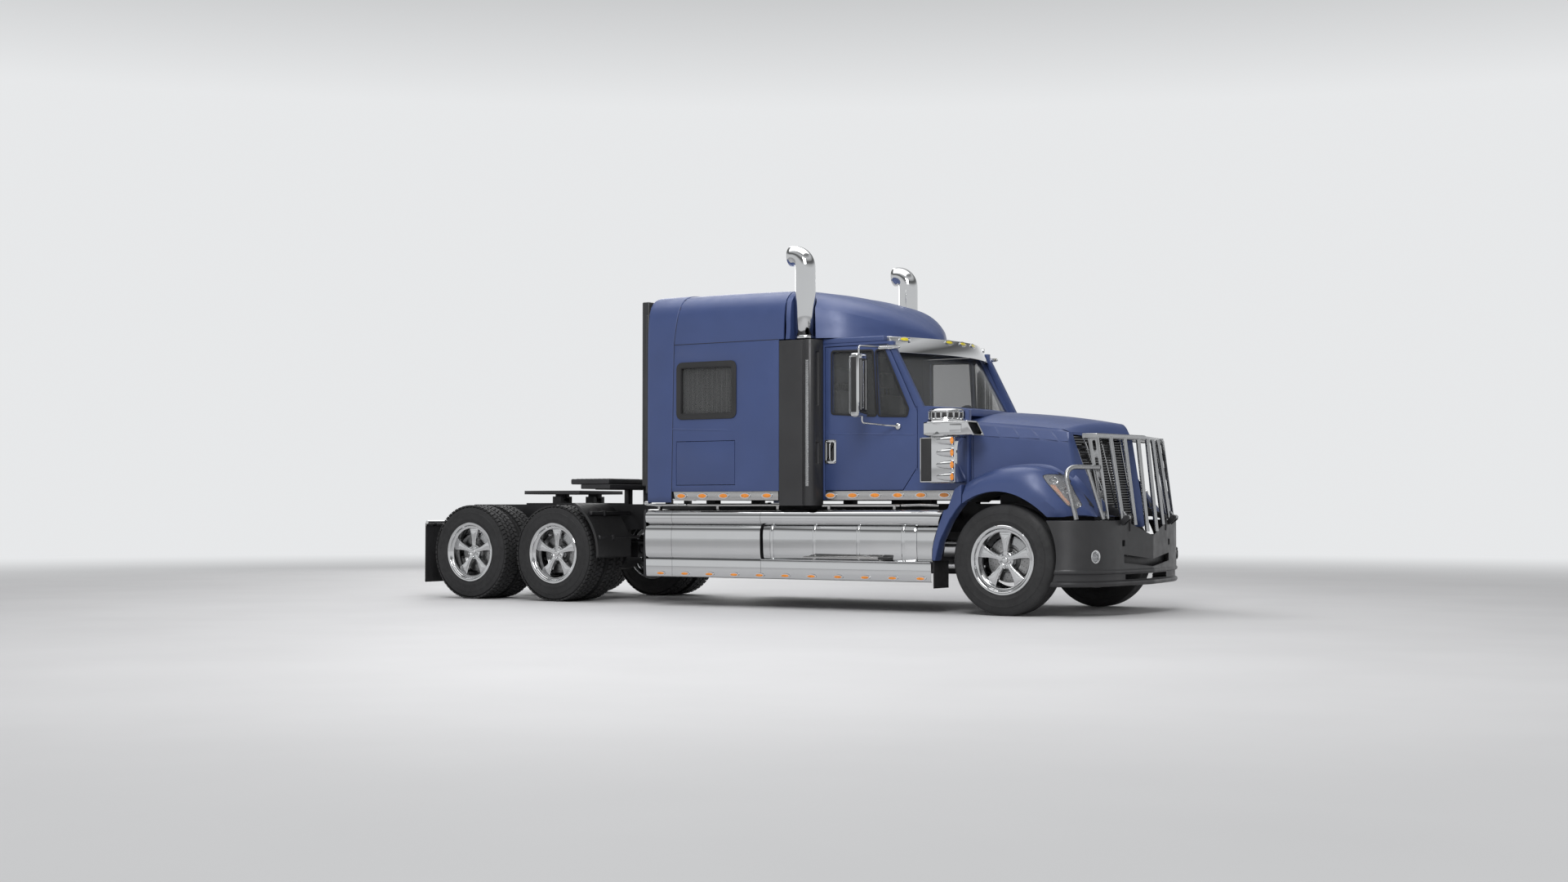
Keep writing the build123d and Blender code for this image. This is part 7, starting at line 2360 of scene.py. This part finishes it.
CAMERA_PLACE = (11.563, -17.973, 1.009)
CAMERA_TURN = (91.961, 0.0, 32.916)
CAMERA_LENS = 45.47
BACKDROP = (0.80, 0.81, 0.82, 1)
WORLD_LIGHT = 0.42
LAMPS = (
    # name, place, watts, size
    ("key_light", (6.0, -10.0, 9.0), 800, 5.0),
    ("top_light", (-1.0, 0.0, 9.5), 550, 9.0),
    ("fill_light", (-9.0, 8.0, 6.0), 400, 7.0),
)


def far_mask(tree, place, near, far):
    """Value from 0 near the middle of the floor to 1 far from it."""
    length = tree.nodes.new("ShaderNodeVectorMath")
    length.operation = "LENGTH"
    tree.links.new(place, length.inputs[0])
    spanned = tree.nodes.new("ShaderNodeMapRange")
    spanned.interpolation_type = "SMOOTHSTEP"
    spanned.inputs["From Min"].default_value = near
    spanned.inputs["From Max"].default_value = far
    tree.links.new(length.outputs["Value"], spanned.inputs["Value"])
    return spanned.outputs["Result"]


def backdrop_rays(tree):
    """1 for the rays that show the backdrop: camera, glossy and transmission."""
    path = tree.nodes.new("ShaderNodeLightPath")
    total = path.outputs["Is Camera Ray"]
    for ray in ("Is Glossy Ray", "Is Transmission Ray"):
        both = tree.nodes.new("ShaderNodeMath")
        both.operation = "MAXIMUM"
        tree.links.new(total, both.inputs[0])
        tree.links.new(path.outputs[ray], both.inputs[1])
        total = both.outputs["Value"]
    return total


def studio_floor():
    """Pale floor that fades into the backdrop's colour far from the truck."""
    bpy.ops.mesh.primitive_grid_add(x_subdivisions=8, y_subdivisions=8, size=400)
    floor = named("studio_floor")
    made, tree, shader, place = material("floor_paint", (0.62, 0.62, 0.63), 0.75)
    coloured(tree, noise(tree, place, 0.6), (0.60, 0.60, 0.61), (0.64, 0.64, 0.65), shader)
    glow = tree.nodes.new("ShaderNodeEmission")
    glow.inputs["Color"].default_value = BACKDROP
    glow.inputs["Strength"].default_value = 1.0
    share = tree.nodes.new("ShaderNodeMath")
    share.operation = "MULTIPLY"
    tree.links.new(far_mask(tree, place, 7.0, 26.0), share.inputs[0])
    tree.links.new(backdrop_rays(tree), share.inputs[1])
    mixed = tree.nodes.new("ShaderNodeMixShader")
    tree.links.new(share.outputs["Value"], mixed.inputs["Fac"])
    tree.links.new(shader.outputs["BSDF"], mixed.inputs[1])
    tree.links.new(glow.outputs["Emission"], mixed.inputs[2])
    tree.links.new(mixed.outputs["Shader"], tree.nodes["Material Output"].inputs["Surface"])
    floor.data.materials.append(made)


SKY_BANDS = [
    # height of the view direction, brightness
    (0.00, 1.0), (0.20, 1.0), (0.34, 0.30), (0.46, 0.16), (0.56, 0.55), (0.70, 0.95), (0.84, 0.35), (1.0, 0.8),
]


def studio():
    """Pale floor, plain world with a banded upper part, and soft lamps."""
    studio_floor()
    world = bpy.data.worlds.new("studio_world")
    world.use_nodes = True
    bpy.context.scene.world = world
    tree = world.node_tree
    light = tree.nodes["Background"]
    light.inputs["Color"].default_value = (1.0, 1.0, 1.0, 1)
    light.inputs["Strength"].default_value = WORLD_LIGHT
    coordinates = tree.nodes.new("ShaderNodeTexCoord")
    split = tree.nodes.new("ShaderNodeSeparateXYZ")
    tree.links.new(coordinates.outputs["Generated"], split.inputs[0])
    bands = tree.nodes.new("ShaderNodeValToRGB")
    ramp = bands.color_ramp
    for height, value in SKY_BANDS:
        edge = {SKY_BANDS[0][0]: 0, SKY_BANDS[-1][0]: -1}.get(height)
        element = ramp.elements.new(height) if edge is None else ramp.elements[edge]
        element.color = [channel * value for channel in BACKDROP[:3]] + [1]
    tree.links.new(split.outputs["Z"], bands.inputs["Fac"])
    seen = tree.nodes.new("ShaderNodeBackground")
    seen.inputs["Strength"].default_value = 1.0
    tree.links.new(bands.outputs["Color"], seen.inputs["Color"])
    mixed = tree.nodes.new("ShaderNodeMixShader")
    tree.links.new(backdrop_rays(tree), mixed.inputs["Fac"])
    tree.links.new(light.outputs["Background"], mixed.inputs[1])
    tree.links.new(seen.outputs["Background"], mixed.inputs[2])
    tree.links.new(mixed.outputs["Shader"], tree.nodes["World Output"].inputs["Surface"])
    for name, spot, watts, size in LAMPS:
        bpy.ops.object.light_add(type="AREA", location=spot)
        lamp = bpy.context.active_object
        lamp.name = name
        lamp.data.energy = watts
        lamp.data.size = size
        lamp.rotation_euler = (Vector((0, 0, 1.2)) - Vector(spot)).to_track_quat("-Z", "Y").to_euler()


def camera():
    """Camera at the given viewing angle."""
    bpy.ops.object.camera_add(location=CAMERA_PLACE, rotation=[radians(turn) for turn in CAMERA_TURN])
    eye = bpy.context.active_object
    eye.name = "camera"
    eye.data.lens = CAMERA_LENS
    eye.data.sensor_width = 36.0
    eye.data.clip_end = 500
    scene = bpy.context.scene
    scene.camera = eye
    scene.view_settings.view_transform = "Standard"


carried_over()
tyres()
wheels()
strips()
skirts()
tanks()
running_rails()
hood_and_fenders()
grille()
front_bumper()
front_guard()
air_cleaners()
sun_visor()
sleeper_roof()
roof_fairing()
cowl_skin()
sleeper_corners()
sleeper_windows()
curtains()
door_trim()
mirrors()
exhaust_towers()
exhaust_stacks()
quarter_fenders()
front_flares()
rear_deck()
dashboard()
seats()
bunk()
studio()
camera()
